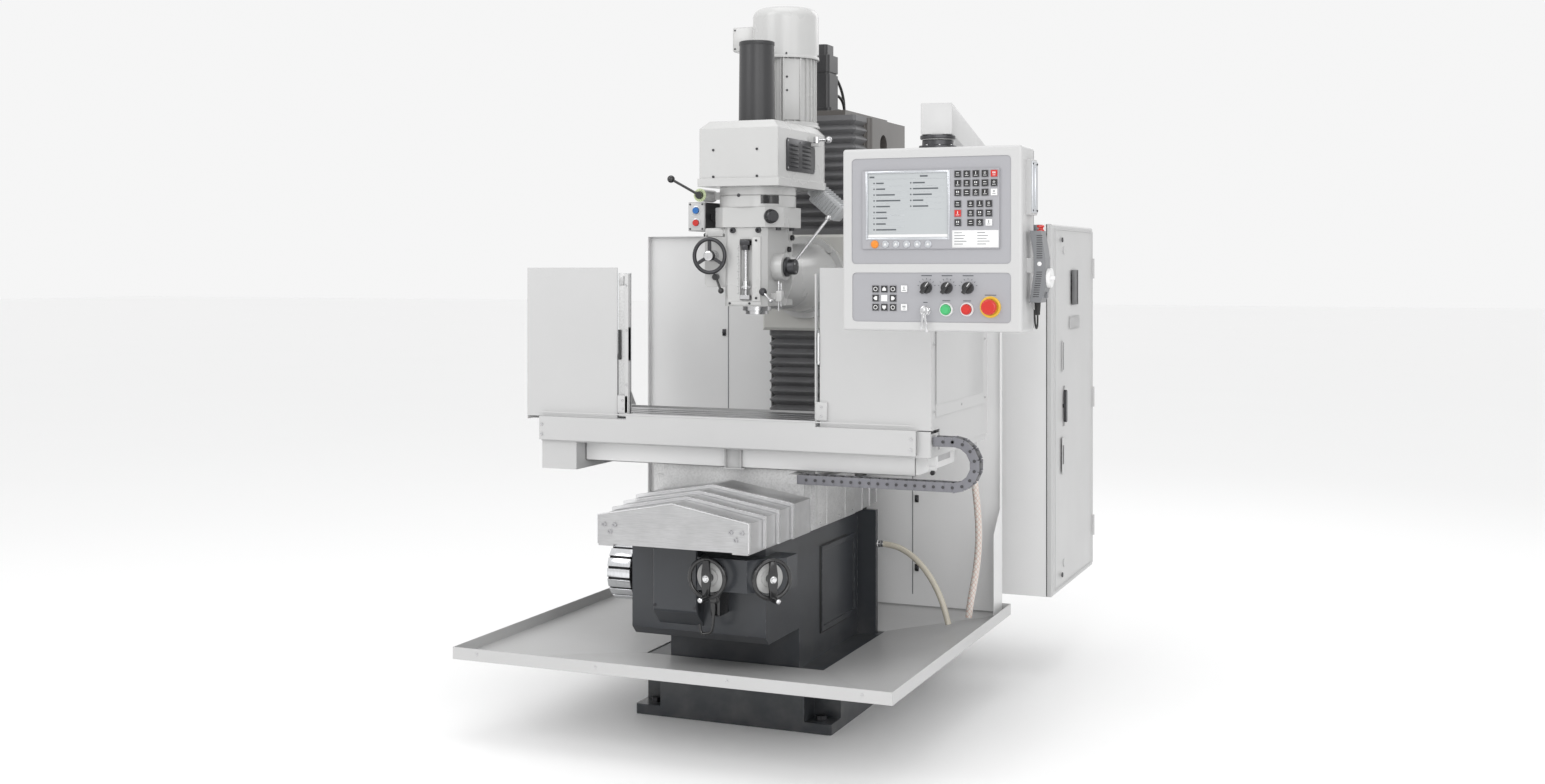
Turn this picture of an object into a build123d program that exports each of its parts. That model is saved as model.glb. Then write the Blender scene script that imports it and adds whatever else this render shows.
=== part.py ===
"""A bed-type milling machine with a knee-mill head, a guarded table and a swing-arm control pendant.

The origin is on the floor under the spindle axis. X runs to the operator's right, Y to the rear
and Z up. All lengths are in millimetres.
"""
import math
import os

from build123d import *

os.makedirs("parts", exist_ok=True)

# Driving dimensions of the whole machine
TABLE_TOP = 995.0           # height of the table's working face
TABLE_LENGTH = 1300.0
TABLE_WIDTH = 280.0
BED_TOP = 640.0             # height of the bed casting's top face
BED_WIDTH = 462.0
PLINTH_HEIGHT = 200.0
PLINTH_WIDTH = 700.0
TRAY_WIDTH = 1460.0
TRAY_FRONT = -736.0
TRAY_REAR = 594.0
TRAY_TOP = 300.0
COLUMN_FRONT = 660.0
COLUMN_REAR = 1082.0
COLUMN_WIDTH = 360.0
COLUMN_TOP = 2056.0
NOSE_HEIGHT = 1340.0        # spindle nose with the quill up
GUARD_TOP = 1497.0
GUARD_FRONT = -316.0
PENDANT_X = 876.0
PENDANT_Y = -778.0
ARM_POST_X = 504.0
ARM_POST_Y = 964.0

OVERRUN = 4.0               # how far every cut runs past the face that it leaves
RUNNING_CLEARANCE = 0.05    # radial room of a shaft in its bore
SLIDE_CLEARANCE = 0.5       # room between pieces that slide past each other
SHEET = 3.0                 # gauge of the guard, pan and splash sheets


def middle(pair):
    """The middle of a low and a high value."""
    return (pair[0] + pair[1]) / 2


def span(pair):
    """The distance from a low to a high value."""
    return pair[1] - pair[0]


def block(x, y, z, mode=Mode.ADD):
    """A block between the low and high values of X, Y and Z."""
    with Locations((middle(x), middle(y), middle(z))):
        Box(span(x), span(y), span(z), mode=mode)


def rod(start, direction, length, radius, mode=Mode.ADD):
    """A round bar from a start point along a direction."""
    with Locations(Plane(start, z_dir=direction)):
        Cylinder(radius, length, align=(Align.CENTER, Align.CENTER, Align.MIN), mode=mode)


def taper(start, direction, length, start_radius, end_radius, mode=Mode.ADD):
    """A cone stump from a start point along a direction."""
    with Locations(Plane(start, z_dir=direction)):
        Cone(start_radius, end_radius, length,
             align=(Align.CENTER, Align.CENTER, Align.MIN), mode=mode)


def ball_lever(root, reach, rod_radius, ball_radius):
    """A lever's rod from its root along a reach, with a ball on its end."""
    reach = Vector(*reach)
    rod(root, reach, reach.length - ball_radius / 2, rod_radius)
    with Locations(Plane(Vector(*root) + reach, z_dir=reach)):
        Sphere(ball_radius)


def profile(plane, points, thickness, mode=Mode.ADD):
    """A straight-sided outline on a plane, carried along the plane's normal."""
    with BuildSketch(plane) as outline:
        with BuildLine():
            Polyline(*points, close=True)
        make_face()
    extrude(outline.sketch, amount=thickness, mode=mode)


def tangent_radii(points):
    """Corner radii of a cord's route: 0.45 of the shorter run over the tangent of half the turn."""
    reach_share = 0.45
    radii = []
    for before, here, after in zip(points, points[1:], points[2:]):
        run_in = Vector(*here) - Vector(*before)
        run_out = Vector(*after) - Vector(*here)
        turn = math.radians(run_in.get_angle(run_out))
        radii.append(reach_share * min(run_in.length, run_out.length) / math.tan(turn / 2))
    return radii


def cord(points, radius, name):
    """A round cord along a route of straight runs joined by tangent arcs."""
    radii = tangent_radii(points)
    print(name, "tightest radius", round(min(radii), 1), "of diameter", 2 * radius)
    with BuildLine():
        route = FilletPolyline(*points, radius=radii)
    with BuildSketch(Plane(route @ 0, z_dir=route % 0)) as section:
        Circle(radius)
    sweep(section.sketch, path=route)


def save(builder, label):
    """Name a finished piece and write it to its own file."""
    builder.part.label = label
    export_step(builder.part, f"parts/{label}.step")


# Bed casting: plinth, neck, overhanging front block, ways, rear flange and handwheel corner
PLINTH_FRONT = -216.0
PLINTH_REAR = 1100.0
NECK_FRONT = -190.0
BLOCK_FRONT = -470.0
BLOCK_BOTTOM = 330.0
BLOCK_CHAMFER = 25.0
FLANGE_FRONT = 368.0
FLANGE_THICK = 22.0
FLANGE_WIDTH = 600.0
PEDESTAL_TOP = 340.0        # seat of the column's foot
PEDESTAL_WIDTH = 420.0
WAY_INNER = 110.0
WAY_OUTER = 190.0
WAY_HEIGHT = 20.0
WAY_FRONT = -360.0
CORNER_BOTTOM = 506.0
CORNER_TOP = 607.0
CORNER_FRONT = -560.0
CORNER_LEFT = 40.0
CORNER_BEND_X = 206.0       # where the corner's front face turns to the slanted face
CORNER_RIGHT = 300.0
CORNER_BACK = -380.0
PANEL_Y = (4.0, 340.0)
PANEL_Z = (279.0, 563.0)
PANEL_RISE = 5.0
PANEL_BORDER = 16.0
FOOT_POCKET = 92.0
FOOT_POCKET_HEIGHT = 110.0
FOOT_FLOOR = 34.0
FOOT_INSET = 52.0           # levelling bolt axis from the plinth's corner faces
FOOT_HOLE_RADIUS = 11.0
CASTING_FILLET = 8.0
WHEEL_SHAFT_RADIUS = 11.0
WHEEL_SHAFT_DEPTH = 40.0
WHEEL_HEIGHT = 552.0
LEFT_WHEEL_X = 92.0
FITTING_Y = 383.0
FITTING_Z = 520.0
FITTING_RADIUS = 12.0
FITTING_LENGTH = 18.0
Y_CHAIN_X = (-345.0, -262.0)
Y_CHAIN_LOW = 425.0
Y_CHAIN_HIGH = 595.0
Y_CHAIN_LINK = 30.0
Y_CHAIN_FRONT = -430.0
Y_CHAIN_UPPER_END = -150.0
Y_CHAIN_LOWER_END = 60.0
CHAIN_BRACKET = 10.0
CHAIN_BRACKET_RISE = 30.0
way_top = BED_TOP + WAY_HEIGHT
plinth_y = (PLINTH_FRONT, PLINTH_REAR)
foot_places = [
    (sx * (PLINTH_WIDTH / 2 - FOOT_INSET), y)
    for sx in (-1, 1)
    for y in (PLINTH_FRONT + FOOT_INSET, PLINTH_REAR - FOOT_INSET)
]
SLANT_TURN = math.radians(-45.0)
slant_normal = (math.cos(SLANT_TURN), math.sin(SLANT_TURN), 0)
corner_run = CORNER_RIGHT - CORNER_BEND_X
slant_middle = (CORNER_BEND_X + corner_run / 2, CORNER_FRONT + corner_run / 2)

with BuildPart() as bed_base:
    block((-PLINTH_WIDTH / 2, PLINTH_WIDTH / 2), plinth_y, (0, PLINTH_HEIGHT))
    fillet(bed_base.edges().filter_by(Axis.Z), CASTING_FILLET)
    profile(
        Plane.YZ.offset(-BED_WIDTH / 2),
        [
            (NECK_FRONT, 0),
            (NECK_FRONT, BLOCK_BOTTOM),
            (BLOCK_FRONT + BLOCK_CHAMFER, BLOCK_BOTTOM),
            (BLOCK_FRONT, BLOCK_BOTTOM + BLOCK_CHAMFER),
            (BLOCK_FRONT, BED_TOP),
            (FLANGE_FRONT, BED_TOP),
            (FLANGE_FRONT, 0),
        ],
        BED_WIDTH,
    )
    block((-FLANGE_WIDTH / 2, FLANGE_WIDTH / 2), (FLANGE_FRONT, FLANGE_FRONT + FLANGE_THICK), (0, BED_TOP))
    block((-PEDESTAL_WIDTH / 2, PEDESTAL_WIDTH / 2), (FLANGE_FRONT, PLINTH_REAR), (0, PEDESTAL_TOP))
    for side in (-1, 1):
        block(sorted((side * WAY_INNER, side * WAY_OUTER)), (WAY_FRONT, FLANGE_FRONT),
              (BED_TOP - OVERRUN, way_top))
    profile(
        Plane.XY.offset(CORNER_BOTTOM),
        [
            (CORNER_LEFT, CORNER_BACK),
            (CORNER_LEFT, CORNER_FRONT),
            (CORNER_BEND_X, CORNER_FRONT),
            (CORNER_RIGHT, CORNER_FRONT + corner_run),
            (CORNER_RIGHT, CORNER_BACK),
        ],
        CORNER_TOP - CORNER_BOTTOM,
    )
    panel_x = (BED_WIDTH / 2 - OVERRUN, BED_WIDTH / 2 + PANEL_RISE)
    block(panel_x, PANEL_Y, PANEL_Z)
    inner_y = (PANEL_Y[0] + PANEL_BORDER, PANEL_Y[1] - PANEL_BORDER)
    inner_z = (PANEL_Z[0] + PANEL_BORDER, PANEL_Z[1] - PANEL_BORDER)
    block((BED_WIDTH / 2, BED_WIDTH / 2 + PANEL_RISE + OVERRUN), inner_y, inner_z, mode=Mode.SUBTRACT)
    block((Y_CHAIN_X[0], -BED_WIDTH / 2), (Y_CHAIN_LOWER_END, Y_CHAIN_LOWER_END + CHAIN_BRACKET),
          (Y_CHAIN_LOW - Y_CHAIN_LINK / 2, Y_CHAIN_LOW + Y_CHAIN_LINK / 2))
    for x, y in foot_places:
        side = 1 if x > 0 else -1
        end = 1 if y > middle(plinth_y) else -1
        corner_x = side * (PLINTH_WIDTH / 2)
        corner_y = PLINTH_REAR if end > 0 else PLINTH_FRONT
        block(
            sorted((corner_x + side * OVERRUN, corner_x - side * FOOT_POCKET)),
            sorted((corner_y + end * OVERRUN, corner_y - end * FOOT_POCKET)),
            (FOOT_FLOOR, FOOT_FLOOR + FOOT_POCKET_HEIGHT),
            mode=Mode.SUBTRACT,
        )
        rod((x, y, -OVERRUN), (0, 0, 1), FOOT_FLOOR + 2 * OVERRUN, FOOT_HOLE_RADIUS, mode=Mode.SUBTRACT)
    rod((FLANGE_WIDTH / 2 - OVERRUN, FITTING_Y, FITTING_Z), (1, 0, 0), FITTING_LENGTH + OVERRUN,
        FITTING_RADIUS)
    shaft_hole = WHEEL_SHAFT_RADIUS + RUNNING_CLEARANCE
    rod((LEFT_WHEEL_X, CORNER_FRONT - OVERRUN, WHEEL_HEIGHT), (0, 1, 0),
        WHEEL_SHAFT_DEPTH + OVERRUN + SLIDE_CLEARANCE, shaft_hole, mode=Mode.SUBTRACT)
    slant_start = Vector(*slant_middle, WHEEL_HEIGHT) + Vector(*slant_normal) * OVERRUN
    rod(slant_start, (-slant_normal[0], -slant_normal[1], 0),
        WHEEL_SHAFT_DEPTH + OVERRUN + SLIDE_CLEARANCE, shaft_hole, mode=Mode.SUBTRACT)
save(bed_base, "bed_base")

# Levelling bolts in the plinth's corner pockets: hexagon head and stem down to the floor
FOOT_STEM_RADIUS = 10.0
FOOT_HEAD_FLATS = 30.0
FOOT_HEAD_HEIGHT = 14.0
with BuildPart() as levelling_bolts:
    for x, y in foot_places:
        rod((x, y, 0), (0, 0, 1), FOOT_FLOOR, FOOT_STEM_RADIUS)
        with BuildSketch(Plane.XY.offset(FOOT_FLOOR)):
            with Locations((x, y)):
                RegularPolygon(FOOT_HEAD_FLATS / 2, 6, major_radius=False)
        extrude(amount=FOOT_HEAD_HEIGHT)
save(levelling_bolts, "levelling_bolts")

# Chip tray: folded rim, floor sloping down to a hole round the neck
TRAY_RIM_HEIGHT = 38.0
TRAY_HOLE_WIDTH = 636.0
TRAY_HOLE_FRONT = -200.0
TRAY_HOLE_REAR = 420.0
TRAY_SHEET = 3.0
tray_x = (-TRAY_WIDTH / 2, TRAY_WIDTH / 2)
tray_y = (TRAY_FRONT, TRAY_REAR)
hole_x = (-TRAY_HOLE_WIDTH / 2, TRAY_HOLE_WIDTH / 2)
hole_y = (TRAY_HOLE_FRONT, TRAY_HOLE_REAR)
tray_rim_low = TRAY_TOP - TRAY_RIM_HEIGHT


def tray_funnel(drop, mode):
    """The wedge of space above the tray's hipped floor, lowered by a drop."""
    low = PLINTH_HEIGHT + TRAY_SHEET - drop
    high = tray_rim_low + TRAY_SHEET - drop
    with BuildSketch(Plane.XY.offset(low)) as floor_hole:
        with Locations((middle(hole_x), middle(hole_y))):
            Rectangle(span(hole_x), span(hole_y))
    with BuildSketch(Plane.XY.offset(high)) as rim:
        with Locations((middle(tray_x), middle(tray_y))):
            Rectangle(span(tray_x) - 2 * TRAY_SHEET, span(tray_y) - 2 * TRAY_SHEET)
    loft([floor_hole.sketch, rim.sketch], mode=mode)


with BuildPart() as chip_tray:
    tray_funnel(TRAY_SHEET, Mode.ADD)
    block(tray_x, tray_y, (tray_rim_low, TRAY_TOP))
    tray_funnel(0, Mode.SUBTRACT)
    block(
        (tray_x[0] + TRAY_SHEET, tray_x[1] - TRAY_SHEET),
        (tray_y[0] + TRAY_SHEET, tray_y[1] - TRAY_SHEET),
        (tray_rim_low + TRAY_SHEET, TRAY_TOP + OVERRUN),
        mode=Mode.SUBTRACT,
    )
    block(hole_x, hole_y, (PLINTH_HEIGHT - OVERRUN, TRAY_TOP), mode=Mode.SUBTRACT)
    notch_half = PEDESTAL_WIDTH / 2 + TRAY_SHEET
    block((-notch_half, notch_half), (TRAY_HOLE_REAR - OVERRUN, TRAY_REAR + OVERRUN),
          (PLINTH_HEIGHT - OVERRUN, TRAY_TOP + OVERRUN), mode=Mode.SUBTRACT)
save(chip_tray, "chip_tray")

# Column casting: foot, box ways, bellows ledge, motor shelf on top and a lifting hole
COLUMN_FOOT_HEIGHT = 60.0
COLUMN_FOOT_FLARE = 25.0
COLUMN_FILLET = 18.0
COLUMN_WAY_INNER = 90.0
COLUMN_WAY_OUTER = 160.0
COLUMN_WAY_DEPTH = 20.0
LEDGE_TOP = 850.0           # seat of the lower bellows
LEDGE_THICK = 20.0
LEDGE_FRONT = 520.0
LEDGE_WIDTH = 340.0
SHELF_THICK = 19.0
SHELF_FRONT = 520.0
SHELF_REAR = 1000.0
SHELF_WIDTH = 260.0
LIFT_HOLE_Y = 806.0
LIFT_HOLE_Z = 1962.0
LIFT_HOLE_RADIUS = 40.0
LIFT_HOLE_DEPTH = 60.0
SHELF_GLAND_RADIUS = 10.0
SHELF_GLAND_HEIGHT = 10.0
POWER_ROUTE = [(24.0, 671.8, 2148.0), (24.5, 700.0, 2150.0), (26.0, 733.0, 2148.0), (29.0, 761.0, 2135.0),
               (31.0, 778.0, 2111.0), (31.5, 781.0, 2085.8)]
ENCODER_ROUTE = [(-18.0, 671.8, 2242.0), (-17.0, 710.0, 2246.0), (-14.0, 760.0, 2242.0),
                 (-9.0, 806.0, 2222.0), (-4.0, 840.0, 2188.0), (-1.0, 858.0, 2150.0),
                 (0.0, 863.0, 2118.0), (0.0, 864.0, 2085.8)]
column_half = COLUMN_WIDTH / 2
ways_front = COLUMN_FRONT - COLUMN_WAY_DEPTH
shelf_top = COLUMN_TOP + SHELF_THICK
with BuildPart() as column:
    block((-column_half, column_half), (COLUMN_FRONT, COLUMN_REAR), (PEDESTAL_TOP, COLUMN_TOP))
    fillet(column.edges().filter_by(Axis.Z), COLUMN_FILLET)
    for side in (-1, 1):
        block(sorted((side * COLUMN_WAY_INNER, side * COLUMN_WAY_OUTER)),
              (ways_front, COLUMN_FRONT + OVERRUN), (LEDGE_TOP, COLUMN_TOP))
    foot_half = column_half + COLUMN_FOOT_FLARE
    block((-foot_half, foot_half), (COLUMN_FRONT - COLUMN_FOOT_FLARE, COLUMN_REAR),
          (PEDESTAL_TOP, PEDESTAL_TOP + COLUMN_FOOT_HEIGHT))
    block((-LEDGE_WIDTH / 2, LEDGE_WIDTH / 2), (LEDGE_FRONT, COLUMN_FRONT + OVERRUN),
          (LEDGE_TOP - LEDGE_THICK, LEDGE_TOP))
    block((-SHELF_WIDTH / 2, SHELF_WIDTH / 2), (SHELF_FRONT, SHELF_REAR), (COLUMN_TOP, shelf_top))
    rod((column_half + OVERRUN, LIFT_HOLE_Y, LIFT_HOLE_Z), (-1, 0, 0),
        LIFT_HOLE_DEPTH + OVERRUN, LIFT_HOLE_RADIUS, mode=Mode.SUBTRACT)
    for route in (POWER_ROUTE, ENCODER_ROUTE):
        rod((route[-1][0], route[-1][1], shelf_top), (0, 0, 1), SHELF_GLAND_HEIGHT, SHELF_GLAND_RADIUS)
save(column, "column")

# Vertical axis motor: square body with rounded corners, waist, encoder cap and two cable glands
MOTOR_Y = 600.0
MOTOR_SIDE = 110.0
MOTOR_TOP = 2325.0
MOTOR_CORNER = 14.0
MOTOR_FLANGE_SIDE = 130.0
MOTOR_FLANGE_THICK = 14.0
MOTOR_WAIST_LOW_SHARE = 0.66
MOTOR_WAIST_HIGH_SHARE = 0.7
MOTOR_WAIST_DEPTH = 4.0
ENCODER_SIDE = 84.0
ENCODER_HEIGHT = 40.0
GLAND_RADIUS = 13.0
GLAND_LENGTH = 16.0
motor_rear = MOTOR_Y + MOTOR_SIDE / 2
motor_body_top = MOTOR_TOP - ENCODER_HEIGHT
CABLE_RADIUS = 5.5
with BuildPart() as z_motor:
    with BuildSketch(Plane.XY.offset(shelf_top)):
        with Locations((0, MOTOR_Y)):
            RectangleRounded(MOTOR_FLANGE_SIDE, MOTOR_FLANGE_SIDE, MOTOR_CORNER)
    extrude(amount=MOTOR_FLANGE_THICK)
    with BuildSketch(Plane.XY.offset(shelf_top)):
        with Locations((0, MOTOR_Y)):
            RectangleRounded(MOTOR_SIDE, MOTOR_SIDE, MOTOR_CORNER)
    extrude(amount=motor_body_top - shelf_top)
    waist_low = shelf_top + (motor_body_top - shelf_top) * MOTOR_WAIST_LOW_SHARE
    waist_high = shelf_top + (motor_body_top - shelf_top) * MOTOR_WAIST_HIGH_SHARE
    with BuildSketch(Plane.XY.offset(waist_low)):
        with Locations((0, MOTOR_Y)):
            Rectangle(MOTOR_SIDE + OVERRUN, MOTOR_SIDE + OVERRUN)
            RectangleRounded(MOTOR_SIDE - 2 * MOTOR_WAIST_DEPTH, MOTOR_SIDE - 2 * MOTOR_WAIST_DEPTH,
                             MOTOR_CORNER, mode=Mode.SUBTRACT)
    extrude(amount=waist_high - waist_low, mode=Mode.SUBTRACT)
    with BuildSketch(Plane.XY.offset(motor_body_top)):
        with Locations((0, MOTOR_Y)):
            RectangleRounded(ENCODER_SIDE, ENCODER_SIDE, MOTOR_CORNER)
    extrude(amount=ENCODER_HEIGHT)
    for route in (POWER_ROUTE, ENCODER_ROUTE):
        x, _, z = route[0]
        rod((x, motor_rear, z), (0, 1, 0), GLAND_LENGTH, GLAND_RADIUS)
save(z_motor, "z_motor")

for label, route in (("z_motor_power_cable", POWER_ROUTE), ("z_motor_encoder_cable", ENCODER_ROUTE)):
    with BuildPart() as cable:
        cord(route, CABLE_RADIUS, label)
    save(cable, label)

# Pleated way bellows above and below the vertical carriage
BELLOWS_WIDTH = 344.0
BELLOWS_FRONT = 511.0
PLEAT_DEPTH = 13.0
PLEAT_PITCH = 24.0
CARRIAGE_BOTTOM = NOSE_HEIGHT - 74.0
CARRIAGE_TOP = NOSE_HEIGHT + 278.0


def zigzag(inner, outer, low, high):
    """The folded edge of a bellows from its low to its high end, starting on the inner line."""
    folds = max(2, round((high - low) / PLEAT_PITCH))
    step = (high - low) / (2 * folds)
    return [(inner if i % 2 == 0 else outer, low + i * step) for i in range(2 * folds + 1)]


def bellows(low, high):
    """A bellows pleated on its front and both sides."""
    rear = ways_front
    front = zigzag(BELLOWS_FRONT + PLEAT_DEPTH, BELLOWS_FRONT, low, high)
    profile(Plane.YZ.offset(-BELLOWS_WIDTH / 2), [(rear, low)] + front + [(rear, high)], BELLOWS_WIDTH)
    right = zigzag(BELLOWS_WIDTH / 2 - PLEAT_DEPTH, BELLOWS_WIDTH / 2, low, high)
    left = [(-x, z) for x, z in reversed(right)]
    profile(Plane.XZ.offset(-rear), right + left, rear - BELLOWS_FRONT, mode=Mode.INTERSECT)


with BuildPart() as upper_bellows:
    bellows(CARRIAGE_TOP, COLUMN_TOP)
save(upper_bellows, "upper_bellows")
with BuildPart() as lower_bellows:
    bellows(LEDGE_TOP, CARRIAGE_BOTTOM)
save(lower_bellows, "lower_bellows")

# Rear splash panels: folded sheet, its inner flange joggled on to the column's side
SPLASH_Y = 584.0
SPLASH_INNER = 190.0
SPLASH_OUTER = 700.0
SPLASH_BOTTOM = 270.0
SPLASH_FLANGE_RISE = 180.0
SPLASH_TOP = 1618.0
SPLASH_FOLD = 22.0
SPLASH_FLANGE_REAR = 720.0
SPLASH_FOOT = 24.0
GUSSET_FRONT = 478.0
GUSSET_LOW = 560.0
GUSSET_HIGH = 640.0


def splash(side, gusset):
    """One splash panel, on the left (-1) or right (+1), with or without the deep lower gusset."""
    block(sorted((side * SPLASH_INNER, side * SPLASH_OUTER)), (SPLASH_Y, SPLASH_Y + SHEET),
          (SPLASH_BOTTOM, SPLASH_TOP))
    inner_x = sorted((side * SPLASH_INNER, side * (SPLASH_INNER + SHEET)))
    block(inner_x, (SPLASH_Y, SPLASH_FLANGE_REAR), (SPLASH_BOTTOM + SPLASH_FLANGE_RISE, SPLASH_TOP))
    block(sorted((side * column_half, side * (SPLASH_INNER + SHEET))),
          (SPLASH_FLANGE_REAR - SHEET, SPLASH_FLANGE_REAR + SPLASH_FOOT), (GUSSET_HIGH, SPLASH_TOP))
    fold_front = SPLASH_Y - SPLASH_FOLD
    edge = [(SPLASH_Y, SPLASH_BOTTOM), (SPLASH_Y, SPLASH_TOP), (fold_front, SPLASH_TOP)]
    if gusset:
        edge += [(fold_front, GUSSET_HIGH), (GUSSET_FRONT, GUSSET_LOW), (GUSSET_FRONT, SPLASH_BOTTOM)]
    else:
        edge += [(fold_front, SPLASH_BOTTOM)]
    edge_x = min(side * SPLASH_OUTER, side * (SPLASH_OUTER - SHEET))
    profile(Plane.YZ.offset(edge_x), edge, SHEET)
    block(sorted((side * SPLASH_INNER, side * SPLASH_OUTER)), (fold_front, SPLASH_Y),
          (SPLASH_TOP - SHEET, SPLASH_TOP))
    block(sorted((0, side * (PEDESTAL_WIDTH / 2 + SHEET))), (GUSSET_FRONT, SPLASH_FLANGE_REAR),
          (SPLASH_BOTTOM - OVERRUN, PEDESTAL_TOP + COLUMN_FOOT_HEIGHT + SHEET), mode=Mode.SUBTRACT)


with BuildPart() as rear_splash_left:
    splash(-1, False)
save(rear_splash_left, "rear_splash_left")
with BuildPart() as rear_splash_right:
    splash(1, True)
save(rear_splash_right, "rear_splash_right")

# Electrical cabinet hung from the column's right side, with its door on the outer face
CABINET_X = (330.0, 819.5)
CABINET_Y = (762.0, 1470.0)
CABINET_Z = (300.0, 1656.0)
CABINET_WALL = 4.0
CABINET_LIP = 24.0
DOOR_GAP = 0.5
DOOR_THICK = 21.0
DOOR_CORNER = 5.0
BRACKET_Y = (800.0, 1000.0)
BRACKET_THICK = 60.0
BRACKET_SHARES = (0.2, 0.82)
cabinet_height = span(CABINET_Z)
door_inner = CABINET_X[1] + DOOR_GAP
door_outer = door_inner + DOOR_THICK
with BuildPart() as cabinet_shell:
    block(CABINET_X, CABINET_Y, CABINET_Z)
    room_y = (CABINET_Y[0] + CABINET_WALL, CABINET_Y[1] - CABINET_WALL)
    room_z = (CABINET_Z[0] + CABINET_WALL, CABINET_Z[1] - CABINET_WALL)
    block((CABINET_X[0] + CABINET_WALL, CABINET_X[1] - CABINET_WALL), room_y, room_z, mode=Mode.SUBTRACT)
    block(
        (CABINET_X[1] - CABINET_WALL - OVERRUN, CABINET_X[1] + OVERRUN),
        (CABINET_Y[0] + CABINET_LIP, CABINET_Y[1] - CABINET_LIP),
        (CABINET_Z[0] + CABINET_LIP, CABINET_Z[1] - CABINET_LIP),
        mode=Mode.SUBTRACT,
    )
    for share in BRACKET_SHARES:
        low = CABINET_Z[0] + cabinet_height * share
        block((column_half, CABINET_X[0]), BRACKET_Y, (low, low + BRACKET_THICK))
save(cabinet_shell, "cabinet_shell")

HANDLE_Y = 947.0
HANDLE_Z = 981.0
HANDLE_PLATE_WIDTH = 40.0
HANDLE_PLATE_HEIGHT = 150.0
HANDLE_RECESS = 6.0
HANDLE_PIN_RADIUS = 7.0
LATCH_Z = 798.0
LATCH_WIDTH = 46.0
LATCH_HEIGHT = 120.0
LATCH_RISE = 5.0
LOCK_RADIUS = 14.0
LOCK_RISE = 4.0
LOCK_SHARES = (0.07, 0.93)
HINGE_RADIUS = 8.0
HINGE_LENGTH = 80.0
HINGE_SHARES = (0.12, 0.5, 0.88)
with BuildPart() as cabinet_door:
    block((door_inner, door_outer), CABINET_Y, CABINET_Z)
    chamfer(cabinet_door.faces().sort_by(Axis.X)[-1].edges(), DOOR_CORNER)
    block(
        (door_outer - HANDLE_RECESS, door_outer + OVERRUN),
        (HANDLE_Y - HANDLE_PLATE_WIDTH / 2, HANDLE_Y + HANDLE_PLATE_WIDTH / 2),
        (HANDLE_Z - HANDLE_PLATE_HEIGHT / 2, HANDLE_Z + HANDLE_PLATE_HEIGHT / 2),
        mode=Mode.SUBTRACT,
    )
    rod((door_outer - HANDLE_RECESS + OVERRUN, HANDLE_Y, HANDLE_Z), (-1, 0, 0),
        DOOR_THICK - HANDLE_RECESS, HANDLE_PIN_RADIUS + RUNNING_CLEARANCE, mode=Mode.SUBTRACT)
    block(
        (door_outer - OVERRUN, door_outer + LATCH_RISE),
        (HANDLE_Y - LATCH_WIDTH / 2, HANDLE_Y + LATCH_WIDTH / 2),
        (LATCH_Z - LATCH_HEIGHT / 2, LATCH_Z + LATCH_HEIGHT / 2),
    )
    for share in LOCK_SHARES:
        rod((door_outer - OVERRUN, HANDLE_Y, CABINET_Z[0] + cabinet_height * share), (1, 0, 0),
            OVERRUN + LOCK_RISE, LOCK_RADIUS)
    for share in HINGE_SHARES:
        rod((door_outer, CABINET_Y[1], CABINET_Z[0] + cabinet_height * share - HINGE_LENGTH / 2), (0, 0, 1),
            HINGE_LENGTH, HINGE_RADIUS)
save(cabinet_door, "cabinet_door")

# Door handle: a lever with a round hub that turns on its pin, standing just proud of the recess
HANDLE_WIDTH = 22.0
HANDLE_LENGTH = 120.0
HANDLE_STAND = 7.0
HANDLE_THICK = 10.0
with BuildPart() as door_handle:
    handle_back = door_outer + LATCH_RISE + HANDLE_STAND - HANDLE_THICK
    with BuildSketch(Plane.YZ.offset(handle_back)):
        with Locations((HANDLE_Y, HANDLE_Z)):
            SlotOverall(HANDLE_LENGTH, HANDLE_WIDTH, rotation=90)
    extrude(amount=HANDLE_THICK)
    pin_low = door_outer - HANDLE_RECESS - DOOR_THICK / 2 + OVERRUN
    rod((pin_low, HANDLE_Y, HANDLE_Z), (1, 0, 0), handle_back - pin_low, HANDLE_PIN_RADIUS)
save(door_handle, "door_handle")

# Arm post: foot plate on the cabinet's top, round post and the spigot that the arm turns on
ARM_BOTTOM = 1863.0
ARM_SIDE = 86.0
POST_RADIUS = 46.0
POST_FOOT = 170.0
POST_FOOT_THICK = 12.0
SPIGOT_RADIUS = 26.0
SPIGOT_LENGTH = 60.0
with BuildPart() as arm_post:
    with BuildSketch(Plane.XY.offset(CABINET_Z[1])):
        with Locations((ARM_POST_X, ARM_POST_Y)):
            RectangleRounded(POST_FOOT, POST_FOOT, POST_FOOT_THICK)
    extrude(amount=POST_FOOT_THICK)
    rod((ARM_POST_X, ARM_POST_Y, CABINET_Z[1]), (0, 0, 1), ARM_BOTTOM - CABINET_Z[1], POST_RADIUS)
    rod((ARM_POST_X, ARM_POST_Y, ARM_BOTTOM), (0, 0, 1), SPIGOT_LENGTH, SPIGOT_RADIUS)
save(arm_post, "arm_post")

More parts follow.
